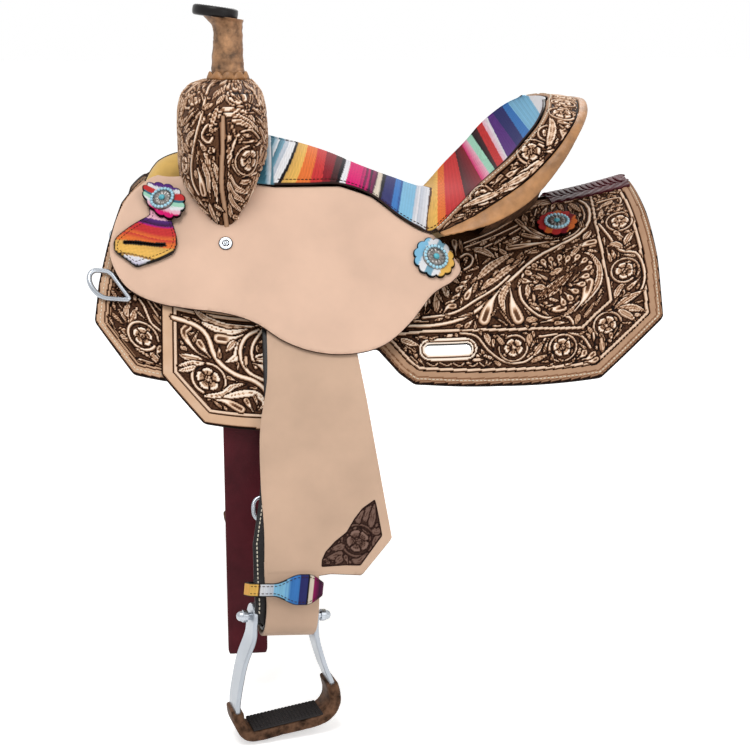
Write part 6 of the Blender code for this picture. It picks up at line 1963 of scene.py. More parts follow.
def in_stirrup(side, a, b, c):
    """A point a along the bolt, b outward across it and c above it."""
    centre, along, outward_way, up = bolt_frame(side)
    a, b, c = (np.asarray(value, float)[..., None] for value in (a, b, c))
    return centre + along * a + outward_way * b + up * c


# Fenders
FENDER_HINGE_H = -0.028
FENDER_TOP_X, FENDER_TOP_RADIUS = -0.092, 0.044
PATCH_PIXELS = ((321, 567), (321.5, 560), (325, 552), (335, 541), (346, 532), (354, 519), (362, 508),
                (374.5, 499.5), (376.5, 506), (382.5, 535.5), (360.5, 565.5), (345, 565.5))


def fender_outline():
    """The fender's outline: round at its hinge, with slanted corners below."""
    a = np.linspace(0, math.pi, 20)
    top = np.stack([FENDER_TOP_X + FENDER_TOP_RADIUS * np.cos(a),
                    FENDER_HINGE_H - FENDER_TOP_RADIUS * np.sin(a)], -1)
    left = spline_at(mm((-136.5, 20), (-138, 75), (-147, 130), (-148, 190), (-146, 239), (-147.5, 286)),
                     np.linspace(0, 1, 30))
    right = mm((-91.5, 286), (-80, 284.5), (-48, 287), (-15, 250), (-21, 200), (-33, 98), (-44, 20))
    return np.concatenate([top, left, right])


def neck_stations(side, inward, start_h, tail):
    """(centre, width direction, outward normal) down the neck, round the bolt and up behind it."""
    slope = math.radians(SIDE_SLOPE)
    across, outward_way, up = bolt_frame(side)[1:]
    flat_normal = np.array((0, side * math.sin(slope), math.cos(slope)))
    down = np.array((0, side * math.cos(slope), -math.sin(slope)))
    middle = FENDER_BASE + FENDER_LEATHER / 2
    centres, widths, normals = [], [], []

    def add(centre, width, normal):
        centres.append(centre)
        widths.append(width)
        normals.append(normal)

    for h in start_h:
        add(on_side_plane(NECK_X, h, middle - inward, side), np.array((1.0, 0, 0)), flat_normal)
    first = on_side_plane(NECK_X, FENDER_LOW_H - 0.004, middle, side)
    last = in_stirrup(side, LOOP_AT, LOOP_RADIUS, 0.006)
    reach = np.linalg.norm(last - first) / 3
    for k in range(1, BEND_STEPS + 1):
        t = k / BEND_STEPS
        a, b, c, d = first, first + down * reach, last + up * reach, last
        centre = a * (1 - t) ** 3 + b * (3 * t * (1 - t) ** 2) + c * (3 * t * t * (1 - t)) + d * t**3
        heading = (b - a) * (1 - t) ** 2 + (c - b) * (2 * t * (1 - t)) + (d - c) * t * t
        share = float(smooth_step(t, 0.0, 0.8))
        width = unit(np.array((1.0, 0, 0)) * (1 - share) + across * share)
        normal = unit(np.cross(width, heading))
        if normal @ outward_way < 0:
            normal = -normal
        add(centre - normal * inward, width, normal)
    for a in np.linspace(0, math.pi, 25):
        normal = outward_way * math.cos(a) - up * math.sin(a)
        add(in_stirrup(side, LOOP_AT, 0, -0.001) + normal * (LOOP_RADIUS - inward), across, normal)
    for lean, rise in tail:
        centre = in_stirrup(side, LOOP_AT, -LOOP_RADIUS + lean, rise) + outward_way * inward
        add(centre, across, -outward_way)
    return np.array(centres), np.array(widths), np.array(normals)


def strap_rings(centres, widths, normals, left, right, thickness, corner=0.0012, columns=14):
    """Rings of a strap with rounded edges."""
    left = np.broadcast_to(np.asarray(left, float), (len(centres),))
    right = np.broadcast_to(np.asarray(right, float), (len(centres),))
    half = thickness / 2
    corner = min(corner, half * 0.98)
    section = []
    for u in np.linspace(0, 1, columns):
        section.append((u, 0.0, half))
    for a in (0.5, 1.0):
        turn = a * math.pi / 2
        section.append((1, corner * math.sin(turn), half - corner * (1 - math.cos(turn))))
    section.append((1, corner, -half + corner))
    section.append((1, corner * 0.7, -half + corner * 0.3))
    for u in np.linspace(1, 0, columns):
        section.append((u, 0.0, -half))
    section.append((0, -corner * 0.7, -half + corner * 0.3))
    section.append((0, -corner, -half + corner))
    section.append((0, -corner, half - corner))
    section.append((0, -corner * 0.7, half - corner * 0.3))
    section = np.array(section)
    span = left[:, None] + corner + (right - left - 2 * corner)[:, None] * section[:, 0] + section[:, 1]
    return centres[:, None] + widths[:, None] * span[..., None] + normals[:, None] * section[None, :, 2, None]


def photo_to_plane(pixels, out):
    """(x, h) on the near side's plane under pixels of the photograph."""
    x, h = np.meshgrid(np.linspace(-0.16, 0.0, 200), np.linspace(0.12, 0.30, 220), indexing="ij")
    return np.array(finder(in_photo(on_side_plane(x, h, out, -1)), x, h)(*pixels))


def carve_fender_patch(patch):
    """The small dark tooled corner of the fender: one flower among leaves."""
    canvas = Canvas(patch.x, patch.h, GROUND - 0.02)
    centre = photo_to_plane(((357.5, 541),), FENDER_BASE + FENDER_LEATHER)[0]
    canvas.bloom(centre, 0.0115, 0.6)
    canvas.swirl(centre, 0.0155, 20, 330, 0.0013, TAN)
    leaves = (
        ((370, 528), (373, 515), (374, 504)), ((365, 522), (366, 514), (371, 506)),
        ((359, 524), (358, 518), (364, 510)), ((374, 548), (377, 538), (380, 533)),
        ((345, 545), (338, 548), (331, 549)), ((343, 552), (336, 556), (326, 559)),
        ((343, 557), (338, 562), (336, 565)), ((372, 530), (377, 532), (379, 528)),
        ((352, 560), (360, 562), (368, 553)),
    )
    for pixels in leaves:
        canvas.leaf(photo_to_plane(pixels, FENDER_BASE + FENDER_LEATHER), 0.0036, 2, 0.5, light=TAN)
    canvas.fill(patch.edge > 0.0015, 260, 0.012, 0.0028)
    canvas.band(patch.edge < 0.0014, BLACK, 0.0)
    return canvas


def make_fenders():
    """Fenders with their tooled patch, and what hangs on them."""
    patch = Patch(fender_outline(), SHEET_STEP)
    tool_outline = rounded(photo_to_plane(PATCH_PIXELS, FENDER_BASE + FENDER_LEATHER), 0.0015)
    tool_patch = Patch(tool_outline, CARVE_STEP * 0.8)
    canvas = carve_fender_patch(tool_patch)
    top = FENDER_BASE + FENDER_LEATHER
    ridge = 0.0008 * np.exp(-((to_outline(patch.x, patch.h, tool_outline)[0] / 0.002) ** 2))
    for word, side in SIDES:
        body = f"fender_{word}_assembly"
        # the fender and its loop take the darker copy of the rough-out look, as painted shade
        obj = leather_sheet(
            f"fender_hide_{word}", patch, on_side_plane, FENDER_BASE, top, ("rough_out_shaded", *ROUGH_OUT[1:]),
            side, relief=ridge,
        )
        declare(obj, body, [f"fender_{word}"])
        heights, tail = (FENDER_LOW_H - 0.016, FENDER_LOW_H - 0.010), ((0.007, 0.011), (0.0145, 0.022))
        centres, widths, normals = neck_stations(side, 0.0, heights, tail)
        half = NECK_HALF_WIDTH - GAP
        rings = strap_rings(centres, widths, normals, -half, half, FENDER_LEATHER - 2 * GAP)
        declare(tube(f"fender_loop_{word}", rings, "rough_out_shaded"), body, [])
        obj = leather_sheet(
            f"fender_tooling_{word}", tool_patch, on_side_plane, top - 0.001, top + 0.0012,
            ("tooled_dark", *TOOLED[1:]), side, round_off=0.0004, relief=canvas.height * 0.5,
            tone=canvas.tone, with_under=False,
        )
        declare(obj, body, [])
        make_stirrup_leather(word, side, body)
        make_hobble(word, side, body)
        make_buckle(word, side, body)


def make_stirrup_leather(word, side, body):
    """The black strap behind the fender, with a stitched edge, looped round the bolt's sleeve."""
    inward = (FENDER_LEATHER + STRAP_LEATHER) / 2 + FENDER_GAP
    heights = (-0.060, -0.045, 0.0, 0.100, 0.200, 0.250, 0.268)
    centres, widths, normals = neck_stations(side, inward, heights, ())
    left = [-0.010, -0.020, -0.022, -0.022, -0.030] + [-0.0385] * BEND_STEPS + list(np.linspace(-0.0370,
                                                                                                -0.0270, 6))
    right = [0.036, 0.046, 0.048, 0.046, 0.035] + [0.0255] * BEND_STEPS + [0.0258, 0.0260, 0.0264, 0.0266,
                                                                           0.0268, 0.027]
    rest = len(centres) - len(left)
    left, right = left + [-0.027] * rest, right + [0.027] * rest
    rings = strap_rings(centres, widths, normals, left, right, STRAP_LEATHER)
    declare(tube(f"stirrup_strap_{word}", rings, "dark"), body, [f"stirrup_leather_{word}"])
    upto = slice(4, 36)
    edge = np.array(left)[upto, None]
    line = centres[upto] + widths[upto] * (edge + 0.0042) + normals[upto] * (STRAP_LEATHER / 2 + 0.0002)
    stitch_row(f"stirrup_strap_stitches_{word}", evenly(line, 120), normals[20], "thread", body,
               *STRAP_STITCH)


def make_buckle(word, side, body):
    """The steel buckle behind the fender, a rounded wire frame."""
    high, low, front, rear = 0.199, 0.225, -0.158, -0.104
    face = STRAP_BASE - GAP - 0.0015
    outline = rounded([(front, high), (front, low), (rear, low), (rear, high)], 0.0118, 8)
    path = on_side_plane(outline[:, 0] + 0.0015, outline[:, 1], np.full(len(outline), face), side)
    rings = rod(evenly(np.concatenate([path, path[:1]]), 90)[:-1], 0.0018, 10, (0, side, 0.6))
    declare(tube(f"buckle_frame_{word}", rings, "steel", True), body, [f"stirrup_buckle_{word}"])


# Where each stripe starts along the strap, and its colours at its start and end
HOBBLE_STRIPES = (
    (-0.060, "red", "red"), (-0.0480, "orange", "yellow"), (-0.0440, "yellow", "yellow"),
    (-0.0370, "seam", "seam"), (-0.0360, "white", "grey"), (-0.0221, "sky", "sky"), (-0.0100, "blue", "sky"),
    (-0.0080, "sky", "blue"), (-0.0042, "blue", "blue"), (0.0051, "navy", "navy"),
    (0.0136, "black", "black"), (0.0153, "cream", "cream"), (0.0204, "wine", "plum"),
    (0.0270, "plum", "wine"), (0.0500, "wine", "wine"),
)


def hobble_half_height(a, front_share=1.0):
    """Half the strap's height; it is widest in the middle of its front."""
    return 0.0070 + 0.0095 * smooth_step(a, -0.022, 0.006) * (1 - smooth_step(a, 0.014, 0.036)) * front_share


def make_hobble(word, side, body):
    """The striped strap round the leathers just above the stirrup."""
    count, levels = 220, 22
    left, right, rear, front = -0.0420, 0.0310, -0.0085, 0.0237
    middle_a, middle_b = (left + right) / 2, (rear + front) / 2
    angle = np.linspace(0, 2 * math.pi, count, endpoint=False)
    c, s = np.cos(angle), np.sin(angle)
    power = 0.45
    ring = np.stack([np.sign(c) * np.abs(c) ** power, np.sign(s) * np.abs(s) ** power], -1)
    ring = evenly(np.concatenate([ring, ring[:1]]) * ((right - left) / 2, (front - rear) / 2), count + 1)[:-1]
    size = ring / np.array([(right - left) / 2, (front - rear) / 2])
    rows, paints = [], []
    section = [(v, 1.0) for v in np.linspace(-1, 1, levels)] + [(v, 0.0) for v in (1, 0, -1)]
    for v, out in section:
        soft = 1 - 0.35 * (abs(v) > 0.96) * out
        a = middle_a + ((right - left) / 2 + HOBBLE_LEATHER * out * soft) * size[:, 0]
        b = middle_b + ((front - rear) / 2 + HOBBLE_LEATHER * out * soft) * size[:, 1]
        half_height = hobble_half_height(a, smooth_step(size[:, 1], 0.0, 0.8))
        rows.append(in_stirrup(side, a, b, HOBBLE_AT - HOBBLE_TILT * (front - b) + v * half_height))
        starts = np.array([stripe[0] for stripe in HOBBLE_STRIPES])
        colour = stripes_at(starts, HOBBLE_STRIPES, a) * threads(a * 2500, 0.08)
        to_edge = (1 - abs(v)) * half_height
        colour = np.where((to_edge < 0.0011)[:, None] | (out < 1), 0.015, colour)
        paints.append(colour)
    faces = grid_faces(len(rows), count, True, True)
    obj = build(f"hobble_serape_{word}", rows, faces, ["striped"], paint=clamp(np.array(paints)))
    outward(obj)
    crease(obj, 50)
    declare(obj, body, [f"hobble_strap_{word}"])
    for tag, up in (("low", -1), ("high", 1)):
        keep = size[:, 1] > 0.55
        a = middle_a + ((right - left) / 2 + HOBBLE_LEATHER) * size[keep, 0]
        b = middle_b + ((front - rear) / 2 + HOBBLE_LEATHER + 0.0001) * size[keep, 1]
        order = np.argsort(a)
        a, b = a[order], b[order]
        rise = up * (hobble_half_height(a) - 0.0032)
        line = in_stirrup(side, a, b, HOBBLE_AT - HOBBLE_TILT * (front - b) + rise)
        outward_way = bolt_frame(side)[2]
        stitch_row(f"hobble_stitches_{tag}_{word}", evenly(line, 80), outward_way, "dark_thread", body,
                   *FINE_STITCH)


# Stirrups. The middle of the metal, along the saddle and above the bolt
STIRRUP_LINE = np.array((
    (-EYE_AT + 0.003, 0.0135), (-EYE_AT + 0.003, -0.006), (-0.0335, -0.022), (-0.0400, -0.048),
    (-0.0430, -0.078), (-0.0430, -0.098), (-0.0380, -0.1155), (-0.0250, -0.1255), (0.0080, -0.1190),
    (0.0410, -0.1120), (0.0550, -0.1045), (0.0610, -0.0910), (0.0570, -0.0740), (0.0460, -0.0520),
    (0.0350, -0.0240), (EYE_AT - 0.005, -0.006), (EYE_AT - 0.005, 0.0120),
))


def band_rings(path, side, width, inner, outer, corner=0.0010):
    """Rings of a flat bar with softened corners along a path in the stirrup's plane."""
    along = unit(np.gradient(path, axis=0))
    out = np.stack([-along[:, 1], along[:, 0]], -1)
    width = np.broadcast_to(np.asarray(width, float), (len(path),)) / 2
    corners = [(inner, -1), (inner, 1), (outer, 1), (outer, -1)]
    rings = []
    for k, (r, b) in enumerate(corners):
        before, after = corners[k - 1], corners[(k + 1) % 4]
        for other in (before, after):
            shift_r = np.sign(other[0] - r) * corner
            shift_b = np.sign(other[1] - b) * corner
            rr = r + (shift_r if other[1] == b else 0)
            bb = width * b + (shift_b if other[0] == r else 0)
            rings.append(in_stirrup(side, path[:, 0] + out[:, 0] * rr, bb, path[:, 1] + out[:, 1] * rr))
    return np.stack(rings, 1)


def make_stirrups():
    """The stirrup's frame, its bolt, its wrapped part and its tread."""
    run = np.concatenate([np.linspace(0, 0.03, 12), np.linspace(0.03, 0.97, 130)[1:-1],
                          np.linspace(0.97, 1, 12)])
    path = spline_at(STIRRUP_LINE, run)
    ends = np.minimum(*(np.linalg.norm(path - path[end], axis=1) for end in (0, -1)))
    half = STIRRUP_METAL / 2
    for word, side in SIDES:
        body = f"stirrup_{word}_assembly"
        reach = np.sqrt(np.maximum(1 - np.maximum(1 - ends / (STIRRUP_STRAP / 2), 0) ** 2, 0.06))
        rings = band_rings(path, side, STIRRUP_STRAP * reach, -half, half)
        declare(tube(f"stirrup_arch_{word}", rings, "aluminium", sharp=35), body, [f"stirrup_frame_{word}"])
        make_bolt(word, side, body)
        wrapped = (run > 0.315) & (run < 0.765)
        part = path[wrapped]
        outside = half + STIRRUP_WRAP
        rings = band_rings(part, side, STIRRUP_STRAP + 2 * STIRRUP_WRAP, -outside, outside, 0.0022)
        turns = np.arange(len(part))[:, None]
        shrink = 1 - 0.018 * (np.mod(turns, 6) < 1)
        middle = rings.mean(1, keepdims=True)
        rings = middle + (rings - middle) * shrink[..., None]
        declare(tube(f"stirrup_wrap_leather_{word}", rings, "wrap"), body, [f"stirrup_wrap_{word}"])
        make_tread(word, side, body)


def make_bolt(word, side, body):
    """The stirrup's bolt with a round nut at both ends."""
    centre, along, _, _ = bolt_frame(side)
    face = EYE_AT + STIRRUP_METAL / 2 + GAP
    nut = ((0.0062, 0.0), (0.0062, 0.0046), (0.0056, 0.0052), (0.0052, 0.0062), (0.0048, 0.0078),
           (0.0040, 0.0094), (0.0024, 0.0106), (0.0001, 0.0110))
    profile = [(radius, -face - out) for radius, out in reversed(nut)] + [(0.0040, -face), (0.0040, face)]
    profile += [(radius, face + out) for radius, out in nut]
    add_turned(f"stirrup_bolt_steel_{word}", profile, centre, along, 24, "steel", body,
               [f"stirrup_bolt_{word}"], "steel", sharp=30)


TREAD_GAP, TREAD_HALF_WIDTH = 0.0005, 0.0165


def make_tread(word, side, body):
    """The rubber pad of the foot-bed, a grid of small blocks."""
    (a0, c0), (a1, c1) = STIRRUP_LINE[7], STIRRUP_LINE[9]
    line = np.array((a1 - a0, c1 - c0)) / math.hypot(a1 - a0, c1 - c0)
    up = np.array((-line[1], line[0]))
    floor = STIRRUP_METAL / 2 + STIRRUP_WRAP + 2 * GAP
    start, end = np.array((a0 + 0.001, c0)), np.array((a1, c1)) + line * 0.009
    columns, rows = 20, 9
    points, faces = [], []

    def box(s0, s1, b0, b1, low, high, inset):
        base = len(points)
        for rise, shrink in ((low, 0.0), (high, inset)):
            near, far = (s0 + shrink, b0 + shrink), (s1 - shrink, b1 - shrink)
            for s, b in (near, (far[0], near[1]), far, (near[0], far[1])):
                spot = start + (end - start) * (s / np.linalg.norm(end - start)) + up * rise
                points.append(in_stirrup(side, spot[0], b, spot[1]))
        faces.extend([[base + v for v in face] for face in
                      ((4, 5, 6, 7), (3, 2, 1, 0), (0, 1, 5, 4), (1, 2, 6, 5), (2, 3, 7, 6), (3, 0, 4, 7))])

    size, half = float(np.linalg.norm(end - start)), TREAD_HALF_WIDTH
    box(0, size, -half, half, floor, floor + 0.0018, 0.0002)
    pitch_s, pitch_b = size / columns, 2 * half / rows
    for i in range(columns):
        for k in range(rows):
            s, b = i * pitch_s, -half + k * pitch_b
            ends = s + TREAD_GAP, s + pitch_s - TREAD_GAP, b + TREAD_GAP, b + pitch_b - TREAD_GAP
            box(*ends, floor + 0.0014, floor + 0.0026, 0.0003)
    obj = build(f"stirrup_grip_{word}", np.array(points), np.array(faces), ["rubber"], smooth=False)
    outward(obj)
    declare(obj, body, [f"stirrup_tread_{word}"])


# Straps
LATIGO_X, LATIGO_H, LATIGO_WIDTH, LATIGO_LOW_Z = -0.164, 0.094, 0.043, -0.440
HOLES = ((LATIGO_X + 0.0095, -0.2745), (LATIGO_X + 0.0095, -0.3545), (LATIGO_X, -0.4215))
# Each hole is a dark disc on the strap: painted shade for the opening
HOLE = ((0.0026, 0.0), (0.0026, 0.0002), (0.0001, 0.00025))
HOLE_LIP = [(0.0031 + 0.0004 * math.cos(a), 0.0002 + 0.0003 * math.sin(a)) for a in np.linspace(0,
                                                                                                2 * math.pi,
                                                                                                9)]
def make_straps():
    """The latigo and the off billet, hanging behind the rigging leathers."""
    slope = math.radians(SIDE_SLOPE)
    behind = SKIRT_LEATHER - 0.0030 - LAYER_GAP - LATIGO_LEATHER / 2
    for name, side in (("latigo", -1), ("off_billet", 1)):
        centre = on_back(LATIGO_X, LATIGO_H - 0.006, behind, side)
        heading, plumb = np.array((0, side * math.cos(slope), -math.sin(slope))), np.array((0, 0, -1.0))
        knots, knot_normals = [], []
        for k in range(6):
            share = float(smooth_step(k, 0.5, 5))
            now = unit(heading * (1 - share) + plumb * share)
            knots.append(centre.copy())
            knot_normals.append(np.array((0, side * -now[2], side * now[1])))
            centre = centre + now * 0.008
        for z in np.linspace(centre[2], LATIGO_LOW_Z, 5):
            knots.append(np.array((centre[0], centre[1], z)))
            knot_normals.append(np.array((0, side, 0.0)))
        t = np.linspace(0, 1, 90)
        centres, normals = spline_at(knots, t), unit(spline_at(knot_normals, t))
        widths = np.broadcast_to((1.0, 0, 0), centres.shape)
        up = np.linalg.norm(centres - centres[-1], axis=1)
        half = LATIGO_WIDTH / 2
        round_end = np.sqrt(np.maximum(1 - ((0.006 - up) / 0.0068) ** 2, 0.02)) * 0.12 + 0.88
        rounding = np.where(up < 0.006, round_end, 1.0)
        rings = strap_rings(centres, widths, normals, -half * rounding, half * rounding, LATIGO_LEATHER,
                            0.0014, 16)
        declare(tube(f"{name}_leather", rings, "burgundy"), f"{name}_strap", [name])
        face_y = centres[-1][1] + side * (LATIGO_LEATHER / 2 + 0.00015)
        for k, (x, z) in enumerate(HOLES):
            # the dark hole discs are painted shade; the lips round them are the strap's leather
            for tag, profile, look in (("hole", HOLE, "dark_edge_and_hole_shade"), ("hole_lip", HOLE_LIP, "burgundy")):
                add_turned(f"{name}_{tag}_{k}", profile, (x, face_y, z), (0, side, 0), 20, look,
                           f"{name}_strap", [], "burgundy_leather", caps=False)


# Trim on the jockeys
KEEPER = mm((-262, -140), (-247, -148), (-235, -140), (-236, -123), (-238, -112), (-231, -88), (-230, -78),
            (-234, -66), (-274, -27), (-297, -35), (-298, -43), (-295, -52), (-260, -101), (-262, -120))
KEEPER_SLOT = mm((-287, -49), (-286.5, -47), (-243, -70), (-243.5, -72))
# A dark sheet under the keeper's slot: painted shade inside the slot
KEEPER_SLOT_SHADE = mm((-293, -53), (-290, -40), (-238, -64), (-240, -78))
# Where each stripe starts down the keeper, and its colours at its start and end
KEEPER_STRIPES = (
    (-0.150, "magenta", "pink"), (-0.0947, "purple", "plum"), (-0.0870, "purple", "magenta"),
    (-0.0846, "red", "red"), (-0.0760, "red", "orange"), (-0.0700, "red", "orange"),
    (-0.0640, "orange", "orange"), (-0.0600, "gold", "yellow"), (-0.0520, "yellow", "yellow"),
    (-0.0450, "seam", "gold"), (-0.0425, "white", "lilac"), (-0.030, "lilac", "white"),
    (0.1, "white", "white"),
)


def make_keepers():
    """The striped keepers that hold the latigo's end, with a dark sheet under each slot as painted shade."""
    outline = rounded(KEEPER, 0.004, 5)
    patch = Patch(outline, 0.0013)
    slot = to_outline(patch.x, patch.h, KEEPER_SLOT)[0]
    patch.drop(slot > 0.0006)
    along = patch.h + 0.35 * (patch.x + 0.262)
    starts = np.array([stripe[0] for stripe in KEEPER_STRIPES])
    paint = stripes_at(starts, KEEPER_STRIPES, along) * threads(along * 2300, 0.08)
    dark = (patch.edge < 0.0013) | ((slot > -0.0014) & (slot < 0.01))
    paint[dark] = 0.015
    base = JOCKEY_LEATHER + LAYER_GAP + 2 * GAP
    top = base + KEEPER_LEATHER
    line = inset_line(outline, 0.0040)
    slot_shade_patch = Patch(rounded(KEEPER_SLOT_SHADE, 0.002), SHEET_STEP)
    for word, side in SIDES:
        obj = leather_sheet(f"keeper_serape_{word}", patch, on_jockey, base, top,
                            ("striped", "dark", "dark"), side, round_off=0.0012, paint=clamp(paint))
        declare(obj, "saddle", [f"latigo_keeper_{word}"])
        # the dark sheet seen through the slot is painted shade
        slot_shade = leather_sheet(f"keeper_backing_{word}", slot_shade_patch, on_jockey, base, base + 0.0012,
                                ("dark",), side)
        declare(slot_shade, "saddle", [])
        stitch_edge(f"keeper_stitches_{word}", line, on_jockey, top, 0.0001, side, "dark_thread",
                    *FINE_STITCH)


ROSETTE_COLOURS = {
    "front": (("purple", 0.16), ("white", 0.12), ("red", 0.18), ("teal", 0.07), ("mint", 0.12),
              ("white", 0.10), ("pink", 0.10), ("magenta", 0.15)),
    "seat": (("sky", 0.22), ("white", 0.20), ("teal_light", 0.18), ("white", 0.16), ("yellow", 0.24)),
    "rear": (("red", 0.30), ("orange", 0.18), ("red", 0.22), ("dark_red", 0.15), ("orange", 0.15)),
}


PROBES = ((0.008, 0), (-0.008, 0), (0, 0.008), (0, -0.008))
ROSETTE_LOBES, ROSETTE_WIDTH = 12, 0.046
ROSETTE_ROWS = ((0.0, 0.0), (1.0, 0.0), (1.0, 0.0024), (0.97, 0.0033), (0.92, 0.0035), (0.84, 0.0035),
                (0.72, 0.0035), (0.6, 0.0035), (0.4, 0.0036), (0.0, 0.0036))
UNDER_CONCHO = 7
RIM_PROFILE = ((0.0148, -0.0030), (0.0150, 0.0), (0.0148, 0.0006), (0.0116, 0.0009), (0.0106, 0.0008))
FLOWER_ROWS = ((0.0108, 0.0004), (0.0101, 0.0016), (0.0080, 0.0026), (0.0060, 0.0024), (0.0040, 0.0020),
               (0.0001, 0.0020))
BEADS, BEAD_RADIUS, BEAD_HEIGHT = 20, 0.00195, 0.0016


def concho_axis(place, x, h, out, side):
    """(a place on the leather, the direction square to it there)."""
    centre, above = (place(np.array(x), np.array(h), np.array(level), side) for level in (out, out + 0.01))
    near = [place(np.array(x + dx), np.array(h + dh), np.array(out), side) for dx, dh in PROBES]
    axis = np.cross(near[0] - near[1], near[2] - near[3])
    return centre, axis * (np.sign(axis @ (above - centre)) / np.linalg.norm(axis))


def make_rosette(kind, word, x, h, place, out, side):
    """The scalloped, striped leather under a concho; it gives the rows of its points."""
    a = np.linspace(0, 2 * math.pi, 160, endpoint=False)
    scallop = 0.0215 + 0.0030 * np.abs(np.sin(a * ROSETTE_LOBES / 2)) ** 0.7
    bands = ROSETTE_COLOURS[kind]
    starts = np.cumsum([0] + [share for _, share in bands])[:-1]
    named = [(start, colour, colour) for start, (colour, _) in zip(starts, bands)]
    slant = (0.0, 1.0) if kind == "front" else (0.9, 0.45)
    rows, paints = [], []
    for share, height in ROSETTE_ROWS:
        r = scallop * share + 1e-5
        dx, dh = r * np.cos(a), r * np.sin(a)
        rows.append(place(x + dx, h + dh, np.full(len(a), out + height), side))
        across = clamp((dx * slant[0] + dh * slant[1]) / ROSETTE_WIDTH + 0.5, 0, 0.999)
        paints.append(np.where(share > 0.93, 0.015, 1.0) * stripes_at(starts, named, across))
    faces = grid_faces(len(rows), len(a), False, True)
    obj = outward(build(f"{kind}_rosette_{word}", rows, faces, ["striped"], paint=paints))
    crease(obj, 50)
    declare(obj, "saddle", [f"{kind}_concho_{word}"])
    return rows


def make_concho(kind, word, x, h, place, out, side):
    """On its rosette a dark silver flower, a ring of beads and a stone."""
    centre, axis = concho_axis(place, x, h, out, side)
    rows = make_rosette(kind, word, x, h, place, out, side)
    grow = 0.96 if kind == "front" else 1.0
    start = np.array((1.0, 0, 0))
    floor = centre + axis * max(((row - centre) @ axis).max() for row in rows[UNDER_CONCHO:])
    ring_side = unit(start - axis * (start @ axis))
    other = np.cross(axis, ring_side)
    profile = np.array(RIM_PROFILE) * (grow, 1)
    add_turned(f"{kind}_concho_rim_{word}", profile, floor, axis, 48, "old_silver", "saddle", [], "concho",
               start)
    angles = np.linspace(0, 2 * math.pi, 120, endpoint=False)
    way = ring_side * np.cos(angles)[:, None] + other * np.sin(angles)[:, None]
    rows = []
    for radius, height in FLOWER_ROWS:
        petal = 0.0004 * np.cos(angles * 12) * (radius > 0.004)
        rows.append(floor + axis * (height + petal)[:, None] + radius * way)
    faces = grid_faces(len(rows), len(angles), False, True)
    flower = outward(build(f"{kind}_concho_flower_{word}", rows, faces, ["old_silver"]))
    declare(flower, "saddle", [])
    dome = [(0.0036 * math.cos(v), 0.0020 + 0.0024 * math.sin(v)) for v in np.linspace(0, math.pi / 2 - 0.03,
                                                                                       7)]
    add_turned(f"{kind}_concho_stone_{word}", dome, floor, axis, 24, "turquoise", "saddle", [], "concho",
               start)
    v = np.linspace(-math.pi / 2 + 0.05, math.pi / 2 - 0.05, 6)
    bead = list(zip(BEAD_RADIUS * np.cos(v), BEAD_HEIGHT * np.sin(v)))
    points, faces = [], []
    for k in range(BEADS):
        turn = 2 * math.pi * k / BEADS
        spot = floor + axis * 0.0014 + 0.0129 * grow * (ring_side * math.cos(turn) + other * math.sin(turn))
        points.append(turned_rings(bead, spot, axis, 10, start).reshape(-1, 3))
        faces.append(grid_faces(6, 10, False, True) + 60 * k)
    beads = outward(build(f"{kind}_concho_beads_{word}", points, np.concatenate(faces), ["bead"]))
    declare(beads, "saddle", [])


SCREW_X, SCREW_H = -0.178, -0.081
DEE_AT, DEE_TILT, DEE_RADIUS, DEE_REACH, DEE_WIRE = (-0.3088, 0.0040), 20.0, 0.0146, 0.0240, 0.0056


def make_trim():
    """Keepers, conchos, screws and dees."""
    make_keepers()
    keeper_top = JOCKEY_LEATHER + LAYER_GAP + 2 * GAP + KEEPER_LEATHER
    for word, side in SIDES:
        make_concho("front", word, -0.2445, -0.1265, on_jockey, keeper_top + LAYER_GAP, side)
        make_concho("seat", word, 0.050, -0.060, on_jockey, JOCKEY_LEATHER + 3 * GAP, side)
        make_concho("rear", word, CONCHO_AT[0] - 0.001, CONCHO_AT[1] + 0.0045, on_back, SKIRT_LEATHER + GAP,
                    side)
        centre = on_jockey(np.array(SCREW_X), np.array(SCREW_H), np.array(JOCKEY_LEATHER + GAP), side)
        axis = on_jockey(np.array(SCREW_X), np.array(SCREW_H), np.array(JOCKEY_LEATHER + 0.01), side) - centre
        profile = ((0.0072, 0.0), (0.0072, 0.0009), (0.0062, 0.0018), (0.0052, 0.0018), (0.0048, 0.0010),
                   (0.0001, 0.0010))
        add_turned(f"jockey_screw_head_{word}", profile, centre, axis, 32, "steel", "saddle",
                   [f"jockey_screw_{word}"], "steel", sharp=40)
        for tag, profile, look in (
            ("rim", ((0.0077, 0.0), (0.0077, 0.0008), (0.0072, 0.0010)), "dark_edge_and_hole_shade"),
            ("ring", ((0.0042, 0.0012), (0.0039, 0.0016), (0.0030, 0.0016), (0.0028, 0.0012)), "dark_edge_and_hole_shade"),
            ("dot", ((0.0024, 0.0010), (0.0020, 0.0021), (0.0001, 0.0022)), "steel"),
        ):
            add_turned(f"jockey_screw_{tag}_{word}", profile, centre, axis, 28, look, "saddle", [], "steel",
                       caps=False)
        make_dee(word, side)


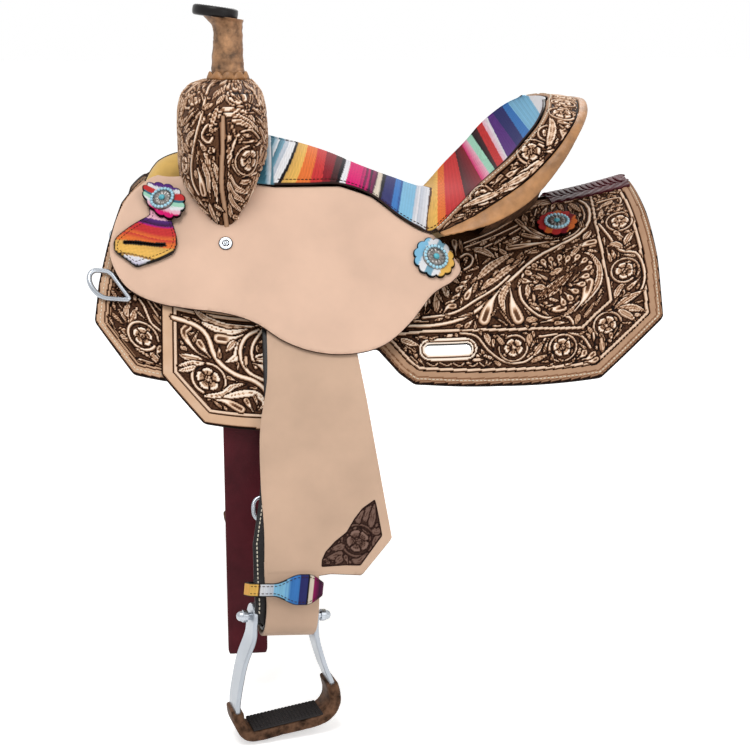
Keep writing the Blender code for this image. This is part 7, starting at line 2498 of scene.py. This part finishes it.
def make_dee(word, side):
    """The breast collar dee, a round wire; its straight bar is held under the jockey."""
    tilt = math.radians(DEE_TILT)
    ahead, square = np.array((math.cos(tilt), -math.sin(tilt))), np.array((math.sin(tilt), math.cos(tilt)))
    a = np.radians(np.linspace(90, 270, 25))
    offsets = np.concatenate([
        [(DEE_REACH - 0.002, DEE_RADIUS)], np.stack([DEE_RADIUS * np.cos(a), DEE_RADIUS * np.sin(a)], -1),
        [(DEE_REACH - 0.014, -DEE_RADIUS), (DEE_REACH - 0.010, -DEE_RADIUS + 0.003),
         (DEE_REACH, DEE_RADIUS - 0.002)],
    ])
    flat = np.array(DEE_AT) + ahead * offsets[:, :1] + square * offsets[:, 1:]
    flat = evenly(np.concatenate([flat, flat[:1]]), 110)[:-1]
    path = on_back(flat[:, 0], flat[:, 1], np.full(len(flat), SKIRT_TOP + DEE_WIRE / 2 + GAP), side)
    up = on_back(flat[:, 0], flat[:, 1], np.full(len(flat), 0.1), side) - path
    rings = rod(path, DEE_WIRE / 2, 14, unit(up))
    declare(tube(f"dee_wire_{word}", rings, "steel", True), "saddle", [f"breast_dee_{word}"])


LACING_FRONT, LACING_REAR, LACING_HALF, LACING_SCALLOPS = 0.206, 0.300, 0.030, 8
STRANDS, BRAID_TURNS, BRAID_HALF = 3, 4.5, 0.0125


def make_lacing():
    """The burgundy braid that joins the skirts behind the cantle, over a scalloped leather."""
    x = np.linspace(LACING_FRONT, LACING_REAR, 60)
    y = np.linspace(-1, 1, 40)
    grid_x, grid_y = np.meshgrid(x, y, indexing="ij")
    phase = 2 * math.pi * LACING_SCALLOPS * (grid_x - LACING_FRONT) / (LACING_REAR - LACING_FRONT)
    half = LACING_HALF + 0.0012 * np.cos(phase)
    strands = 0.0008 * np.abs(np.sin(grid_x * 260 + np.abs(grid_y) * 9))
    edge = np.minimum(1, (1 - np.abs(grid_y)) * 12)
    top = across_back(grid_x, grid_y * half, SKIRT_TOP + LACING_LEATHER - 0.0008 + strands * edge)
    low = across_back(grid_x, grid_y * half, np.full(grid_x.shape, SKIRT_TOP))
    obj = thick_sheet("rear_lacing_leather", top.reshape(-1, 3), low.reshape(-1, 3), grid_faces(60, 40),
                      ("burgundy",))
    outward(obj)
    declare(obj, "saddle", ["rear_lacing"])
    for strand in range(STRANDS):
        t = np.linspace(0, 1, 200)
        turn = 2 * math.pi * (BRAID_TURNS * t + strand / STRANDS)
        x = LACING_FRONT + 0.002 + (LACING_REAR - LACING_FRONT - 0.004) * t
        out = SKIRT_TOP + LACING_LEATHER - 0.0012 + 0.0007 * np.cos(2 * turn)
        path = across_back(x, BRAID_HALF * np.sin(turn), out)
        _, across, ups = frames_along(path)
        a = np.linspace(0, 2 * math.pi, 12, endpoint=False)[None, :, None]
        rings = path[:, None] + 0.0062 * across[:, None] * np.cos(a) + 0.0016 * ups[:, None] * np.sin(a)
        declare(tube(f"rear_braid_{strand}", rings, "burgundy"), "saddle", [])


# What stays as it is in the frame
KEPT_LOOKS = {
    "tree_bar_left": "wood", "tree_bar_right": "wood", "fork_core": "wood", "cantle_core": "wood",
    "gullet_plate": "steel", "ground_seat": "steel", "horn_post": "steel", "rigging_plate_left": "steel",
    "rigging_plate_right": "steel", "stirrup_sleeve_left": "dark", "stirrup_sleeve_right": "dark",
}
def dress_kept_nodes():
    """Looks for the solids that are shown as they are."""
    for name, look in KEPT_LOOKS.items():
        mesh = bpy.data.objects[name].data
        mesh.materials.clear()
        mesh.materials.append(LOOKS[look])


# Stage
WORLD_STRENGTH, FLOOR_GLOW = 0.52, 0.55
# (name, place, diameter, power)
LAMPS = (
    ("key", (-0.5, -1.3, 2.2), 1.3, 32.0), ("fill", (1.6, -1.6, 0.7), 1.6, 8.0),
    ("back", (0.5, 1.9, 1.5), 1.5, 14.0),
)


def white_seen(tree, unseen, seen=1.0):
    """A strength for what the camera, a mirror or glass sees, and another for the light on the object."""
    path = node(tree, "ShaderNodeLightPath")
    either = math_node(tree, "MAXIMUM", path.outputs["Is Camera Ray"], path.outputs["Is Glossy Ray"])
    either = math_node(tree, "MAXIMUM", either, path.outputs["Is Transmission Ray"])
    return scaled(tree, either, seen - unseen, unseen)


def make_stage():
    """The floor, the lights and the surroundings."""
    low = CAD_BOX[0][2] - 0.004
    size = 40.0
    obj = build("studio_ground", np.array(((-size, -size, low), (size, -size, low), (size, size, low),
                                           (-size, size, low))),
                np.array(((0, 1, 2, 3),)), ["floor"], smooth=False)
    world = bpy.data.worlds.new("studio")
    bpy.context.scene.world = world
    world.use_nodes = True
    background = world.node_tree.nodes["Background"]
    strength = white_seen(world.node_tree, WORLD_STRENGTH)
    world.node_tree.links.new(strength, background.inputs["Strength"])
    background.inputs["Color"].default_value = WHITE
    tree = LOOKS["floor"].node_tree
    tree.links.new(white_seen(tree, 0.0, FLOOR_GLOW),
                   tree.nodes["Principled BSDF"].inputs["Emission Strength"])
    tree.nodes["Principled BSDF"].inputs["Emission Color"].default_value = WHITE
    for name, place, size, power in LAMPS:
        light = bpy.data.lights.new(name, "AREA")
        light.shape, light.size, light.energy = "DISK", size, power
        lamp = bpy.data.objects.new(name, light)
        bpy.context.scene.collection.objects.link(lamp)
        lamp.location = place
        lamp.rotation_euler = (Vector(place) - Vector((0, 0, -0.1))).to_track_quat("Z", "Y").to_euler()


def make_camera():
    """The camera, turned as the photograph was taken."""
    data = bpy.data.cameras.new("camera")
    camera = bpy.data.objects.new("camera", data)
    bpy.context.scene.collection.objects.link(camera)
    back, right, up = view_axes()
    axes = Matrix((right, up, back)).transposed().to_4x4()
    camera.matrix_world = Matrix.Translation(VIEW_TARGET + back * VIEW_DISTANCE) @ axes
    data.sensor_width = SENSOR
    data.lens = SENSOR * VIEW_DISTANCE / (2 * VIEW_HALF_HEIGHT)
    bpy.context.scene.camera = camera
    bpy.context.scene.view_settings.view_transform = "Standard"


def main():
    """Makes all the pieces, the skirts first."""
    make_skirts()
    make_fleece()
    make_rigging()
    make_jockeys()
    make_swell()
    make_gullet_suede()
    make_horn_neck()
    make_horn_cap()
    make_horn_collar()
    make_seat()
    make_cantle()
    make_cantle_back()
    make_fenders()
    make_stirrups()
    make_straps()
    make_trim()
    make_lacing()
    dress_kept_nodes()
    make_stage()
    make_camera()


main()
